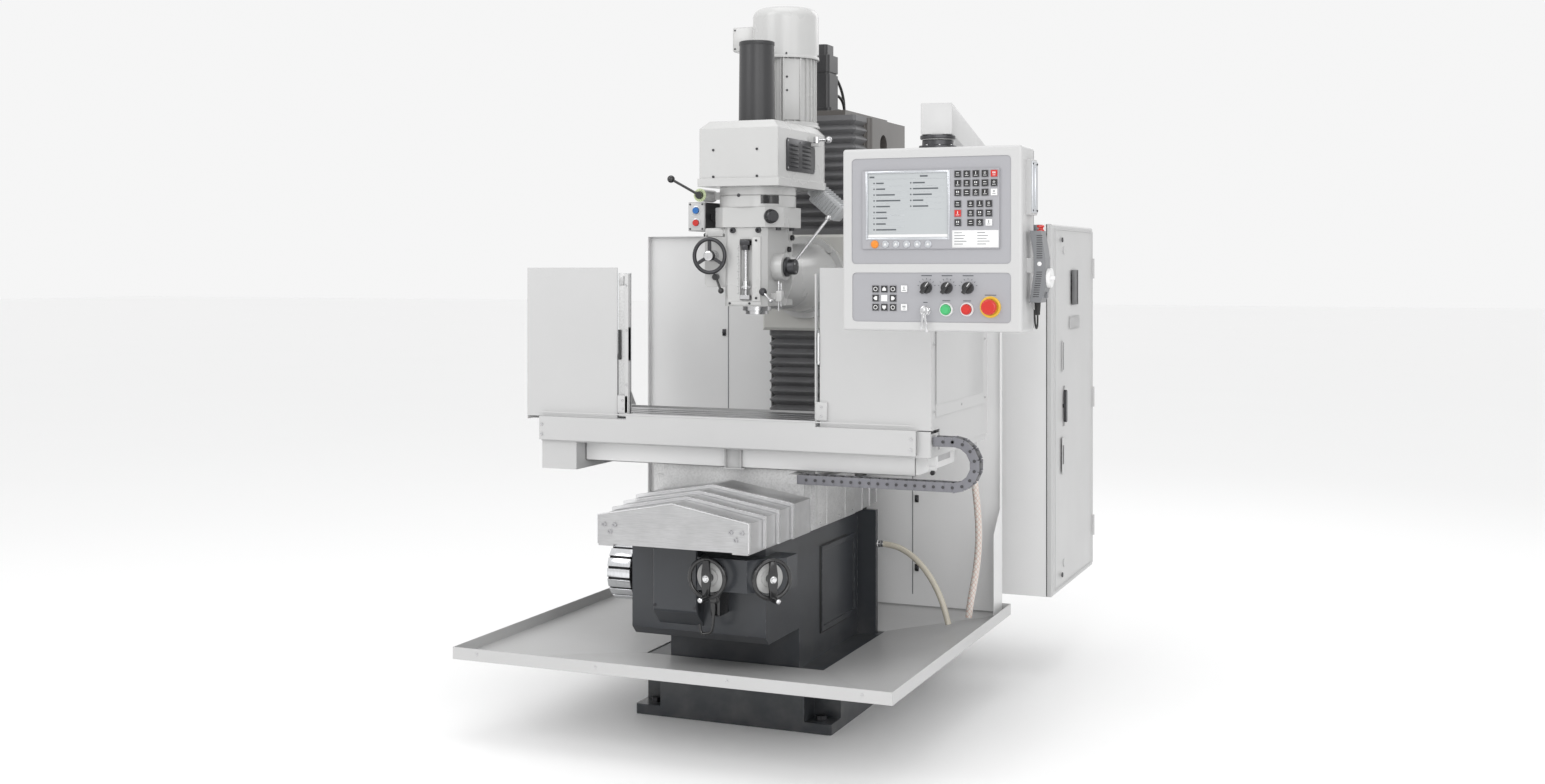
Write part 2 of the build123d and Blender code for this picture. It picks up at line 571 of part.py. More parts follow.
# Cover of the cross-feed motor on the front of the bed
MOTOR_COVER_X = (-133.0, 20.0)
MOTOR_COVER_DEPTH = 50.0
MOTOR_COVER_BOTTOM = 375.0
MOTOR_COVER_SLOPE = 50.0
MOTOR_COVER_EDGE = 4.0
with BuildPart() as front_motor_cover:
    cover_front = BLOCK_FRONT - MOTOR_COVER_DEPTH
    profile(
        Plane.YZ.offset(MOTOR_COVER_X[0]),
        [
            (BLOCK_FRONT, MOTOR_COVER_BOTTOM),
            (BLOCK_FRONT, BED_TOP),
            (cover_front, BED_TOP),
            (cover_front, MOTOR_COVER_BOTTOM + MOTOR_COVER_SLOPE),
        ],
        span(MOTOR_COVER_X),
    )
    chamfer(front_motor_cover.faces().sort_by(Axis.Y)[0].edges(), MOTOR_COVER_EDGE)
save(front_motor_cover, "front_motor_cover")

# Telescopic cross-way covers: gabled sheet sections, each a step larger than the one in front of it
COVER_HALF = 252.0
COVER_BOTTOM = 645.0
COVER_SHOULDER = 733.0
COVER_RIDGE = 779.0
COVER_STEP = 7.0
COVER_SHEET = 2.5
COVER_LIP = 1.5
COVER_LIP_LENGTH = 14.0
COVER_FOOT = 52.0
SADDLE_FRONT = -199.0
FRONT_COVER_Y = (-656.0, -376.0)
SECOND_COVER_Y = (-546.0, -366.0)
THIRD_COVER_Y = (-456.0, -276.0)
REAR_COVER_Y = (-356.0, SADDLE_FRONT)
COVER_BOLT_RADIUS = 5.0
COVER_BOLT_RISE = 4.0
COVER_BOLT_INSET = 18.0
COVER_BOLT_PITCH = 22.0


def gable(y, inset):
    """The gabled solid of one cover section between two Y values, drawn in by an inset."""
    half, bottom, shoulder, ridge = inset
    points = [(-half, bottom), (-half, shoulder), (0, ridge), (half, shoulder), (half, bottom)]
    return Plane.XZ.offset(-y[1]), points, span(y)


def cover_section(y, level):
    """One hollow gabled section with a wiper at its front; its level counts the steps outward."""
    grow = level * COVER_STEP
    size = (COVER_HALF + grow, COVER_BOTTOM, COVER_SHOULDER + grow, COVER_RIDGE + grow)
    lip = (size[0] + COVER_LIP, size[1], size[2] + COVER_LIP, size[3] + COVER_LIP)
    room = (size[0] - COVER_SHEET, size[1] - OVERRUN, size[2] - COVER_SHEET, size[3] - COVER_SHEET)
    wiped = room
    if level > 0:
        wiper = COVER_STEP - SLIDE_CLEARANCE
        wiped = (size[0] - wiper, size[1] - OVERRUN, size[2] - wiper, size[3] - wiper)
    profile(*gable(y, size))
    profile(*gable((y[0], y[0] + COVER_LIP_LENGTH), lip))
    profile(*gable((y[0] + COVER_LIP_LENGTH, y[1] + OVERRUN), room), mode=Mode.SUBTRACT)
    profile(*gable((y[0] - OVERRUN, y[0] + COVER_LIP_LENGTH), wiped), mode=Mode.SUBTRACT)


with BuildPart() as way_cover_front:
    cover_section(FRONT_COVER_Y, 0)
    plate_y = (FRONT_COVER_Y[0], FRONT_COVER_Y[0] + COVER_SHEET)
    profile(*gable(plate_y, (COVER_HALF, COVER_BOTTOM, COVER_SHOULDER, COVER_RIDGE)))
    for side in (-1, 1):
        block(sorted((side * (COVER_HALF - COVER_FOOT), side * COVER_HALF)), FRONT_COVER_Y,
              (BED_TOP, COVER_BOTTOM + COVER_SHEET))
        for step in range(3):
            bolt_x = side * (COVER_HALF - COVER_BOLT_INSET - (step % 2) * COVER_BOLT_PITCH)
            bolt_z = COVER_BOTTOM + COVER_BOLT_INSET + (step // 2) * COVER_BOLT_PITCH
            rod((bolt_x, FRONT_COVER_Y[0], bolt_z), (0, -1, 0), COVER_BOLT_RISE, COVER_BOLT_RADIUS)
save(way_cover_front, "way_cover_front")

for label, section_y, level in (
    ("way_cover_second", SECOND_COVER_Y, 1),
    ("way_cover_third", THIRD_COVER_Y, 2),
    ("way_cover_rear", REAR_COVER_Y, 3),
):
    with BuildPart() as section:
        cover_section(section_y, level)
    save(section, label)

# Saddle: front plate that carries the rear cover, body on the bed ways, chain brackets
SADDLE_REAR = 220.0
SADDLE_TOP = 870.0
SADDLE_HALF = 240.0
SADDLE_PLATE_HALF = 290.0
SADDLE_PLATE_THICK = 22.0
SADDLE_PLATE_TOP = 846.0
SADDLE_BODY_BOTTOM = 700.0
X_CHAIN_Y = (-290.0, -240.0)
X_CHAIN_LOW = 824.0
X_CHAIN_HIGH = 963.0
X_CHAIN_LINK = 30.0
X_CHAIN_SADDLE_END = 262.0
with BuildPart() as saddle:
    block((-SADDLE_HALF, SADDLE_HALF), (SADDLE_FRONT, SADDLE_REAR), (SADDLE_BODY_BOTTOM, SADDLE_TOP))
    for side in (-1, 1):
        block(sorted((side * WAY_INNER, side * WAY_OUTER)), (SADDLE_FRONT, SADDLE_REAR),
              (way_top, SADDLE_BODY_BOTTOM))
    block((-SADDLE_PLATE_HALF, SADDLE_PLATE_HALF), (SADDLE_FRONT, SADDLE_FRONT + SADDLE_PLATE_THICK),
          (way_top + SLIDE_CLEARANCE, SADDLE_PLATE_TOP))
    block((SADDLE_HALF - CHAIN_BRACKET, X_CHAIN_SADDLE_END), (X_CHAIN_Y[0], SADDLE_FRONT),
          (X_CHAIN_LOW - X_CHAIN_LINK / 2, X_CHAIN_LOW + X_CHAIN_LINK / 2))
    block((Y_CHAIN_X[0], -SADDLE_HALF), (Y_CHAIN_UPPER_END, Y_CHAIN_UPPER_END + CHAIN_BRACKET),
          (Y_CHAIN_HIGH - Y_CHAIN_LINK / 2, SADDLE_BODY_BOTTOM + CHAIN_BRACKET_RISE))
save(saddle, "saddle")

# Drag chains: links on a band that doubles back round a bend
LINK_PITCH = 30.0
LINK_LENGTH_SHARE = 0.8
LINK_MIDDLE_SHARE = 0.5
CHAIN_BAND_SHARE = 0.66
CHAIN_SIDE_INSET = 4.0


def drag_chain(plane, bend, link, width, upper, lower):
    """A U-shaped chain: its bend's centre is the plane's origin and both runs go back from there."""
    band = link * CHAIN_BAND_SHARE / 2
    with BuildSketch(plane) as outline:
        Circle(bend + band)
        Circle(bend - band, mode=Mode.SUBTRACT)
        with Locations((-bend, 0)):
            Rectangle(2 * bend, 4 * bend, mode=Mode.SUBTRACT)
        for length, height in ((upper, bend), (lower, -bend)):
            with Locations((-length / 2, height)):
                Rectangle(length, 2 * band)
    band_width = width - 2 * CHAIN_SIDE_INSET
    extrude(outline.sketch, amount=band_width / 2, both=True)
    link_length = LINK_PITCH * LINK_LENGTH_SHARE
    places = []
    for length, height in ((upper, bend), (lower, -bend)):
        count = int(length // LINK_PITCH)
        places += [Location((-LINK_PITCH * (i + LINK_MIDDLE_SHARE), height, 0)) for i in range(count)]
    turns = round(math.pi * bend / LINK_PITCH)
    for i in range(turns):
        angle = math.pi * ((i + LINK_MIDDLE_SHARE) / turns - LINK_MIDDLE_SHARE)
        turn = Location((bend * math.cos(angle), bend * math.sin(angle), 0), (0, 0, math.degrees(angle) + 90))
        places.append(turn)
    with Locations(*[plane.location * place for place in places]):
        Box(link_length, link, width)


x_chain_bend = (X_CHAIN_HIGH - X_CHAIN_LOW) / 2
X_CHAIN_RIGHT = 858.0
PAN_X = (-665.0, 708.0)
x_chain_centre = X_CHAIN_RIGHT - x_chain_bend - X_CHAIN_LINK / 2
with BuildPart() as x_chain:
    chain_plane = Plane((x_chain_centre, middle(X_CHAIN_Y), middle((X_CHAIN_LOW, X_CHAIN_HIGH))),
                        x_dir=(1, 0, 0), z_dir=(0, -1, 0))
    drag_chain(chain_plane, x_chain_bend, X_CHAIN_LINK, span(X_CHAIN_Y),
               x_chain_centre - PAN_X[1], x_chain_centre - X_CHAIN_SADDLE_END)
save(x_chain, "x_chain")

y_chain_bend = (Y_CHAIN_HIGH - Y_CHAIN_LOW) / 2
y_chain_centre = Y_CHAIN_FRONT + y_chain_bend + Y_CHAIN_LINK / 2
with BuildPart() as y_chain:
    chain_plane = Plane((middle(Y_CHAIN_X), y_chain_centre, middle((Y_CHAIN_LOW, Y_CHAIN_HIGH))),
                        x_dir=(0, -1, 0), z_dir=(-1, 0, 0))
    drag_chain(chain_plane, y_chain_bend, Y_CHAIN_LINK, span(Y_CHAIN_X),
               Y_CHAIN_UPPER_END - y_chain_centre, Y_CHAIN_LOWER_END - y_chain_centre)
save(y_chain, "y_chain")

# Table: T-slotted top on a narrower way that rides the saddle
TABLE_SLAB = 80.0
TABLE_WAY_HALF = 105.0
SLOT_PITCH = 63.0
SLOT_NECK = 16.0
SLOT_NECK_DEPTH = 18.0
SLOT_WIDE = 28.0
SLOT_WIDE_DEPTH = 12.0
table_half = TABLE_LENGTH / 2
slab_bottom = TABLE_TOP - TABLE_SLAB
slot_places = (-SLOT_PITCH, 0, SLOT_PITCH)
with BuildPart() as table:
    block((-table_half, table_half), (-TABLE_WIDTH / 2, TABLE_WIDTH / 2), (slab_bottom, TABLE_TOP))
    block((-table_half, table_half), (-TABLE_WAY_HALF, TABLE_WAY_HALF), (SADDLE_TOP, slab_bottom))
    slot_x = (-table_half - OVERRUN, table_half + OVERRUN)
    neck_low = TABLE_TOP - SLOT_NECK_DEPTH
    for y in slot_places:
        block(slot_x, (y - SLOT_NECK / 2, y + SLOT_NECK / 2), (neck_low, TABLE_TOP + OVERRUN),
              mode=Mode.SUBTRACT)
        block(slot_x, (y - SLOT_WIDE / 2, y + SLOT_WIDE / 2), (neck_low - SLOT_WIDE_DEPTH, neck_low),
              mode=Mode.SUBTRACT)
save(table, "table")

# Coolant pan: folded walls round the table, a floor under its slab and a sump box at the left end
PAN_Y = (-300.0, 330.0)
PAN_TOP = 985.0
PAN_FRONT_TOP = 993.0
SUMP_X = (-662.0, -530.0)
SUMP_BOTTOM = 820.0
DRAIN_X = 680.0
DRAIN_Y = 275.0
DRAIN_BOTTOM = 884.0
DRAIN_RADIUS = 16.0
pan_floor = slab_bottom - SHEET
with BuildPart() as coolant_pan:
    block(PAN_X, PAN_Y, (pan_floor, PAN_TOP))
    pan_room_x = (PAN_X[0] + SHEET, PAN_X[1] - SHEET)
    pan_room_y = (PAN_Y[0] + SHEET, PAN_Y[1] - SHEET)
    block(pan_room_x, pan_room_y, (slab_bottom, PAN_TOP + OVERRUN), mode=Mode.SUBTRACT)
    block(PAN_X, (PAN_Y[0], PAN_Y[0] + SHEET), (pan_floor, PAN_FRONT_TOP))
    block(SUMP_X, PAN_Y, (SUMP_BOTTOM, slab_bottom))
    block((SUMP_X[0] + SHEET, SUMP_X[1] - SHEET), pan_room_y, (SUMP_BOTTOM + SHEET, slab_bottom + OVERRUN),
          mode=Mode.SUBTRACT)
    block((-table_half, table_half), (-TABLE_WAY_HALF, TABLE_WAY_HALF), (SADDLE_TOP, slab_bottom + OVERRUN),
          mode=Mode.SUBTRACT)
    rod((DRAIN_X, DRAIN_Y, slab_bottom), (0, 0, -1), slab_bottom - DRAIN_BOTTOM, DRAIN_RADIUS)
save(coolant_pan, "coolant_pan")

# Front fascia: folded sheet on the pan's front with a raised middle and a top flange that the doors run on
FASCIA_HALF = 665.0
FASCIA_BOTTOM = 918.0
FASCIA_TOP = 996.0
FASCIA_LIP_TOP = 1015.0
FASCIA_LIP_HALF = 335.0
FASCIA_FLANGE_REAR = -272.0
with BuildPart() as front_fascia:
    profile(
        Plane.XZ.offset(-(GUARD_FRONT + SHEET)),
        [
            (-FASCIA_HALF, FASCIA_BOTTOM),
            (-FASCIA_HALF, FASCIA_TOP),
            (-FASCIA_LIP_HALF, FASCIA_TOP),
            (-FASCIA_LIP_HALF, FASCIA_LIP_TOP),
            (FASCIA_LIP_HALF, FASCIA_LIP_TOP),
            (FASCIA_LIP_HALF, FASCIA_TOP),
            (FASCIA_HALF, FASCIA_TOP),
            (FASCIA_HALF, FASCIA_BOTTOM),
        ],
        SHEET,
    )
    fascia_x = (-FASCIA_HALF, FASCIA_HALF)
    block(fascia_x, (GUARD_FRONT, FASCIA_FLANGE_REAR), (FASCIA_TOP - SHEET, FASCIA_TOP))
    block(fascia_x, (GUARD_FRONT, PAN_Y[0]), (FASCIA_BOTTOM, FASCIA_BOTTOM + SHEET))
save(front_fascia, "front_fascia")

# Guard wings: a front sheet with folded edges, and a side sheet back along each end of the pan
WING_INNER_LEFT = -376.0
WING_INNER_RIGHT = 344.0
WING_OUTER_LEFT = -720.0
WING_OUTER_RIGHT = 711.0
WING_REAR = 343.0
WING_STEP_Y = -215.0
WING_STEP_BOTTOM = 930.0
COVER_PLATE_INSET = 40.0
COVER_PLATE_RISE = 3.0
COVER_PLATE_SLANT = 160.0
WING_GUSSET_WIDTH = 80.0
WING_GUSSET_TOP = 1180.0
wing_front = (PAN_Y[0], PAN_Y[0] + SHEET)
with BuildPart() as left_wing:
    block((WING_OUTER_LEFT, WING_INNER_LEFT), wing_front, (FASCIA_TOP, GUARD_TOP))
    block((WING_OUTER_LEFT, WING_OUTER_LEFT + SHEET), (wing_front[0], WING_REAR), (PAN_TOP, GUARD_TOP))
    block((WING_OUTER_LEFT, PAN_X[0] + SHEET), (FASCIA_FLANGE_REAR + SHEET, WING_REAR),
          (PAN_TOP, PAN_TOP + SHEET))
    gusset_x = WING_OUTER_LEFT + SHEET
    profile(
        Plane.XZ.offset(-WING_REAR),
        [(gusset_x, PAN_TOP), (gusset_x, WING_GUSSET_TOP), (gusset_x + WING_GUSSET_WIDTH, PAN_TOP)],
        SHEET,
    )
save(left_wing, "left_wing")

with BuildPart() as right_wing:
    block((WING_INNER_RIGHT, WING_OUTER_RIGHT), wing_front, (FASCIA_TOP, GUARD_TOP))
    profile(
        Plane.YZ.offset(WING_OUTER_RIGHT - SHEET),
        [
            (wing_front[0], FASCIA_TOP),
            (wing_front[0], GUARD_TOP),
            (WING_REAR, GUARD_TOP),
            (WING_REAR, WING_STEP_BOTTOM),
            (WING_STEP_Y, WING_STEP_BOTTOM),
            (WING_STEP_Y, FASCIA_TOP),
        ],
        SHEET,
    )
    plate_y = (wing_front[0] + COVER_PLATE_INSET, WING_REAR - COVER_PLATE_INSET)
    plate_z = (FASCIA_TOP + COVER_PLATE_INSET, GUARD_TOP - COVER_PLATE_INSET)
    profile(
        Plane.YZ.offset(WING_OUTER_RIGHT),
        [
            (plate_y[0], plate_z[0]),
            (plate_y[0], plate_z[1]),
            (plate_y[1] - COVER_PLATE_SLANT, plate_z[1]),
            (plate_y[1], plate_z[0]),
        ],
        COVER_PLATE_RISE,
    )
save(right_wing, "right_wing")

# Clear sliding doors behind the wings, each with a pull handle and a roller bracket at its inner edge
DOOR_WIDTH = 345.0
DOOR_INNER = 330.0
DOOR_SHEET = 5.0
DOOR_BACK_GAP = 5.0
DOOR_TOP = 1480.0
PULL_WIDTH = 9.0
PULL_DEPTH = 16.0
PULL_Z = (1190.0, 1300.0)
ROLLER_WIDTH = 26.0
ROLLER_Z = (1016.0, 1086.0)
ROLLER_THICK = 4.0
door_front = wing_front[1] + DOOR_BACK_GAP
door_low = FASCIA_TOP + SLIDE_CLEARANCE


def sliding_door(side):
    """One door on the left (-1) or the right (+1)."""
    inner = side * DOOR_INNER
    block(sorted((inner, inner + side * DOOR_WIDTH)), (door_front, door_front + DOOR_SHEET),
          (door_low, DOOR_TOP))
    block(sorted((inner, inner + side * PULL_WIDTH)), (door_front - PULL_DEPTH, door_front), PULL_Z)
    block(sorted((inner, inner + side * ROLLER_WIDTH)), (door_front - ROLLER_THICK, door_front), ROLLER_Z)


with BuildPart() as left_door:
    sliding_door(-1)
save(left_door, "left_door")
with BuildPart() as right_door:
    sliding_door(1)
save(right_door, "right_door")

# Handwheels of the bed: ring, flat spoke, hub, graduated collar, crank grip and shaft
WHEEL_RING = 58.0
WHEEL_RIM = 7.0
WHEEL_PLANE = 40.0          # ring plane from the face that the wheel stands on
WHEEL_SPOKE_WIDTH = 18.0
WHEEL_SPOKE_THICK = 7.0
WHEEL_HUB_RADIUS = 15.0
WHEEL_HUB_FRONT = 52.0
WHEEL_COLLAR_RADIUS = 25.0
WHEEL_COLLAR_LENGTH = 24.0
WHEEL_GRIP_RADIUS = 9.0
WHEEL_GRIP_LENGTH = 52.0


def handwheel(plane):
    """A handwheel whose shaft leaves a face at the plane's origin, along the plane's normal."""
    face = Vector(plane.origin)
    out = plane.z_dir
    rod(face - out * WHEEL_SHAFT_DEPTH, out, WHEEL_SHAFT_DEPTH + WHEEL_HUB_FRONT, WHEEL_SHAFT_RADIUS)
    rod(face + out * SLIDE_CLEARANCE, out, WHEEL_COLLAR_LENGTH, WHEEL_COLLAR_RADIUS)
    rod(face + out * WHEEL_COLLAR_LENGTH, out, WHEEL_HUB_FRONT - WHEEL_COLLAR_LENGTH, WHEEL_HUB_RADIUS)
    ring = Plane(face + out * WHEEL_PLANE, x_dir=plane.x_dir, z_dir=out)
    with Locations(ring):
        Torus(WHEEL_RING, WHEEL_RIM)
        Box(WHEEL_SPOKE_WIDTH, 2 * WHEEL_RING, WHEEL_SPOKE_THICK)
    rod(ring.origin - ring.y_dir * WHEEL_RING, out, WHEEL_GRIP_LENGTH, WHEEL_GRIP_RADIUS)


with BuildPart() as y_handwheel:
    handwheel(Plane((LEFT_WHEEL_X, CORNER_FRONT, WHEEL_HEIGHT), x_dir=(1, 0, 0), z_dir=(0, -1, 0)))
save(y_handwheel, "y_handwheel")
with BuildPart() as x_handwheel:
    slant_along = (-slant_normal[1], slant_normal[0], 0)
    handwheel(Plane((*slant_middle, WHEEL_HEIGHT), x_dir=slant_along, z_dir=slant_normal))
save(x_handwheel, "x_handwheel")

# Drain hose from the pan's spout down over the tray, and return hose from the bed's flange into the tray
DRAIN_ROUTE = [(680.0, 275.0, 883.2), (680.5, 276.0, 835.0), (684.0, 279.0, 778.0), (690.0, 284.0, 715.0),
               (695.0, 289.0, 648.0), (696.0, 293.0, 580.0), (692.0, 295.0, 515.0), (684.0, 294.0, 452.0),
               (674.0, 291.0, 395.0), (666.0, 288.0, 345.0), (662.0, 287.0, 306.0)]
RETURN_ROUTE = [(318.8, 383.0, 520.0), (350.0, 382.0, 519.0), (395.0, 378.0, 508.0), (440.0, 370.0, 484.0),
                (482.0, 360.0, 448.0), (518.0, 350.0, 404.0), (546.0, 341.0, 356.0), (566.0, 334.0, 308.0),
                (578.0, 330.0, 266.0)]
DRAIN_HOSE_RADIUS = 12.0
RETURN_HOSE_RADIUS = 9.0
with BuildPart() as drain_hose:
    cord(DRAIN_ROUTE, DRAIN_HOSE_RADIUS, "drain_hose")
save(drain_hose, "drain_hose")
with BuildPart() as return_hose:
    cord(RETURN_ROUTE, RETURN_HOSE_RADIUS, "return_hose")
save(return_hose, "return_hose")

# Vertical carriage on the column ways, with the round clamp face that the head turns on
CARRIAGE_HALF = 180.0
CARRIAGE_FRONT = 470.0
CARRIAGE_EDGE = 10.0
RAM_HEIGHT = NOSE_HEIGHT + 122.0
CLAMP_RADIUS = 150.0
CLAMP_BOLT_CIRCLE = 128.0
CLAMP_BOLT_RADIUS = 11.0
CLAMP_BOLT_RISE = 12.0
CLAMP_THICK = 26.0
with BuildPart() as z_carriage:
    block((-CARRIAGE_HALF, CARRIAGE_HALF), (CARRIAGE_FRONT, ways_front), (CARRIAGE_BOTTOM, CARRIAGE_TOP))
    chamfer(z_carriage.faces().sort_by(Axis.Y)[0].edges(), CARRIAGE_EDGE)
save(z_carriage, "z_carriage")

# Head casting: quill housing with its depth-stop pocket, octagonal top block, feed gear case, lever boss
# and the ram to the carriage
QUILL_RADIUS = 50.0
QUILL_BOTTOM = NOSE_HEIGHT + 12.0
QUILL_TOP = NOSE_HEIGHT + 260.0
QUILL_BORE_TOP = NOSE_HEIGHT + 266.0
HOUSING_HALF = 78.0
HOUSING_FRONT = -105.0
HOUSING_REAR = 130.0
HOUSING_FACET = 16.0
HOUSING_BOTTOM = NOSE_HEIGHT + 28.0
HOUSING_TOP = NOSE_HEIGHT + 292.0
OCTAGON_HALF = 125.0
OCTAGON_FACET = 48.0
OCTAGON_FRONT = -112.0
OCTAGON_REAR = 138.0
OCTAGON_TOP = NOSE_HEIGHT + 360.0
GEAR_CASE_X = (-152.0, -70.0)
GEAR_CASE_Y = (-92.0, 70.0)
GEAR_CASE_Z = (NOSE_HEIGHT + 92.0, NOSE_HEIGHT + 272.0)
GEAR_CASE_EDGE = 14.0
LEVER_BOSS_RADIUS = 46.0
LEVER_BOSS_RIGHT = 116.0
LEVER_Y = -20.0
LEVER_Z = NOSE_HEIGHT + 160.0
LEVER_SHAFT_RADIUS = 14.0
LEVER_SHAFT_DEPTH = 34.0
RAM_FRONT = 60.0
RAM_FRONT_RADIUS = 104.0
RAM_REAR_RADIUS = 128.0
FEED_WHEEL_X = -119.0
FEED_WHEEL_Z = NOSE_HEIGHT + 197.0
FEED_SHAFT_RADIUS = 9.0
FEED_SHAFT_DEPTH = 30.0
FEED_LEVER_X = -108.0
FEED_LEVER_Z = NOSE_HEIGHT + 126.0
FEED_LEVER_SHAFT = 7.0
STOP_X = 5.0
STOP_BRACKET_HALF = 17.0
STOP_BRACKET_DEPTH = 24.0
STOP_BRACKET_THICK = 14.0
STOP_LOW = NOSE_HEIGHT + 52.0
STOP_HIGH = NOSE_HEIGHT + 248.0
STOP_POCKET_DEPTH = 12.0
STOP_POCKET_ROOM = 4.0
CLAMP_BOLTS = 4
CLAMP_BOLT_ANGLE = 45.0
stop_pocket_floor = HOUSING_FRONT + STOP_POCKET_DEPTH
ram_rear = CARRIAGE_FRONT - CLAMP_THICK
with BuildPart() as head_body:
    profile(
        Plane.XY.offset(HOUSING_BOTTOM),
        [
            (-HOUSING_HALF, HOUSING_REAR),
            (-HOUSING_HALF, HOUSING_FRONT + HOUSING_FACET),
            (-HOUSING_HALF + HOUSING_FACET, HOUSING_FRONT),
            (HOUSING_HALF - HOUSING_FACET, HOUSING_FRONT),
            (HOUSING_HALF, HOUSING_FRONT + HOUSING_FACET),
            (HOUSING_HALF, HOUSING_REAR),
        ],
        HOUSING_TOP - HOUSING_BOTTOM,
    )
    profile(
        Plane.XY.offset(HOUSING_TOP),
        [
            (-OCTAGON_HALF, OCTAGON_FRONT + OCTAGON_FACET),
            (-OCTAGON_HALF + OCTAGON_FACET, OCTAGON_FRONT),
            (OCTAGON_HALF - OCTAGON_FACET, OCTAGON_FRONT),
            (OCTAGON_HALF, OCTAGON_FRONT + OCTAGON_FACET),
            (OCTAGON_HALF, OCTAGON_REAR - OCTAGON_FACET),
            (OCTAGON_HALF - OCTAGON_FACET, OCTAGON_REAR),
            (-OCTAGON_HALF + OCTAGON_FACET, OCTAGON_REAR),
            (-OCTAGON_HALF, OCTAGON_REAR - OCTAGON_FACET),
        ],
        OCTAGON_TOP - HOUSING_TOP,
    )
    with BuildSketch(Plane.XZ.offset(-GEAR_CASE_Y[1])):
        with Locations((middle(GEAR_CASE_X), middle(GEAR_CASE_Z))):
            RectangleRounded(span(GEAR_CASE_X), span(GEAR_CASE_Z), GEAR_CASE_EDGE)
    extrude(amount=span(GEAR_CASE_Y))
    rod((0, LEVER_Y, LEVER_Z), (1, 0, 0), LEVER_BOSS_RIGHT, LEVER_BOSS_RADIUS)
    taper((0, RAM_FRONT, RAM_HEIGHT), (0, 1, 0), ram_rear - RAM_FRONT, RAM_FRONT_RADIUS, RAM_REAR_RADIUS)
    rod((0, ram_rear, RAM_HEIGHT), (0, 1, 0), CLAMP_THICK, CLAMP_RADIUS)
    with Locations(Plane((0, ram_rear, RAM_HEIGHT), x_dir=(1, 0, 0), z_dir=(0, -1, 0))):
        with PolarLocations(CLAMP_BOLT_CIRCLE + CLAMP_BOLT_RADIUS, CLAMP_BOLTS, CLAMP_BOLT_ANGLE):
            Cylinder(CLAMP_BOLT_RADIUS, CLAMP_BOLT_RISE, align=(Align.CENTER, Align.CENTER, Align.MIN))
    pocket_half = STOP_BRACKET_HALF + STOP_POCKET_ROOM
    block((STOP_X - pocket_half, STOP_X + pocket_half), (HOUSING_FRONT - OVERRUN, stop_pocket_floor),
          (STOP_LOW - STOP_POCKET_ROOM, STOP_HIGH + STOP_POCKET_ROOM), mode=Mode.SUBTRACT)
    rod((0, 0, HOUSING_BOTTOM - OVERRUN), (0, 0, 1), QUILL_BORE_TOP - HOUSING_BOTTOM + OVERRUN,
        QUILL_RADIUS + RUNNING_CLEARANCE, mode=Mode.SUBTRACT)
    rod((LEVER_BOSS_RIGHT + OVERRUN, LEVER_Y, LEVER_Z), (-1, 0, 0),
        LEVER_SHAFT_DEPTH + OVERRUN + SLIDE_CLEARANCE, LEVER_SHAFT_RADIUS + RUNNING_CLEARANCE,
        mode=Mode.SUBTRACT)
    for x, z, radius in ((FEED_WHEEL_X, FEED_WHEEL_Z, FEED_SHAFT_RADIUS),
                         (FEED_LEVER_X, FEED_LEVER_Z, FEED_LEVER_SHAFT)):
        rod((x, GEAR_CASE_Y[0] - OVERRUN, z), (0, 1, 0), FEED_SHAFT_DEPTH + OVERRUN + SLIDE_CLEARANCE,
            radius + RUNNING_CLEARANCE, mode=Mode.SUBTRACT)
save(head_body, "head_body")

# Gear housing: the turned neck ring over the octagon, with the range dial's boss on its left
NECK_RADIUS = 130.0
NECK_Y = 10.0
NECK_TOP = NOSE_HEIGHT + 428.0
NECK_SEAM_Z = NOSE_HEIGHT + 398.0
NECK_SEAM = 3.0
DIAL_X = -162.0
DIAL_Z = NOSE_HEIGHT + 402.0
DIAL_RADIUS = 21.0
DIAL_FRONT = -108.0
DIAL_REAR = -10.0
DIAL_ARM_HALF = 12.0
RANGE_SHAFT_RADIUS = 7.0
RANGE_SHAFT_DEPTH = 24.0
with BuildPart() as gear_housing:
    rod((0, NECK_Y, OCTAGON_TOP), (0, 0, 1), NECK_TOP - OCTAGON_TOP, NECK_RADIUS)
    with BuildSketch(Plane.XY.offset(NECK_SEAM_Z)):
        with Locations((0, NECK_Y)):
            Circle(NECK_RADIUS + OVERRUN)
            Circle(NECK_RADIUS - NECK_SEAM, mode=Mode.SUBTRACT)
    extrude(amount=NECK_SEAM, mode=Mode.SUBTRACT)
    rod((DIAL_X, DIAL_REAR, DIAL_Z), (0, -1, 0), DIAL_REAR - DIAL_FRONT, DIAL_RADIUS)
    block((DIAL_X, 0), (DIAL_REAR - 2 * DIAL_ARM_HALF, DIAL_REAR),
          (DIAL_Z - DIAL_ARM_HALF, DIAL_Z + DIAL_ARM_HALF))
    rod((DIAL_X, DIAL_FRONT - OVERRUN, DIAL_Z), (0, 1, 0), RANGE_SHAFT_DEPTH + OVERRUN + SLIDE_CLEARANCE,
        RANGE_SHAFT_RADIUS + RUNNING_CLEARANCE, mode=Mode.SUBTRACT)
save(gear_housing, "gear_housing")

# Belt housing: flat front, rounded rear, a lip round its foot and sloped shoulders
BELT_HALF = 142.0
BELT_FRONT = -156.0
BELT_REAR = 392.0
BELT_TOP = NOSE_HEIGHT + 647.0
BELT_LIP_TOP = NOSE_HEIGHT + 455.0
BELT_LIP = 5.0
BELT_SHOULDER = 26.0
BRAKE_X = 160.0
BRAKE_Y = 150.0
BRAKE_Z = NOSE_HEIGHT + 585.0
BRAKE_SHELF = 11.0
BRAKE_HALF = 13.0
BRAKE_PIN_RADIUS = 5.0
BRAKE_PIN_HEIGHT = 18.0


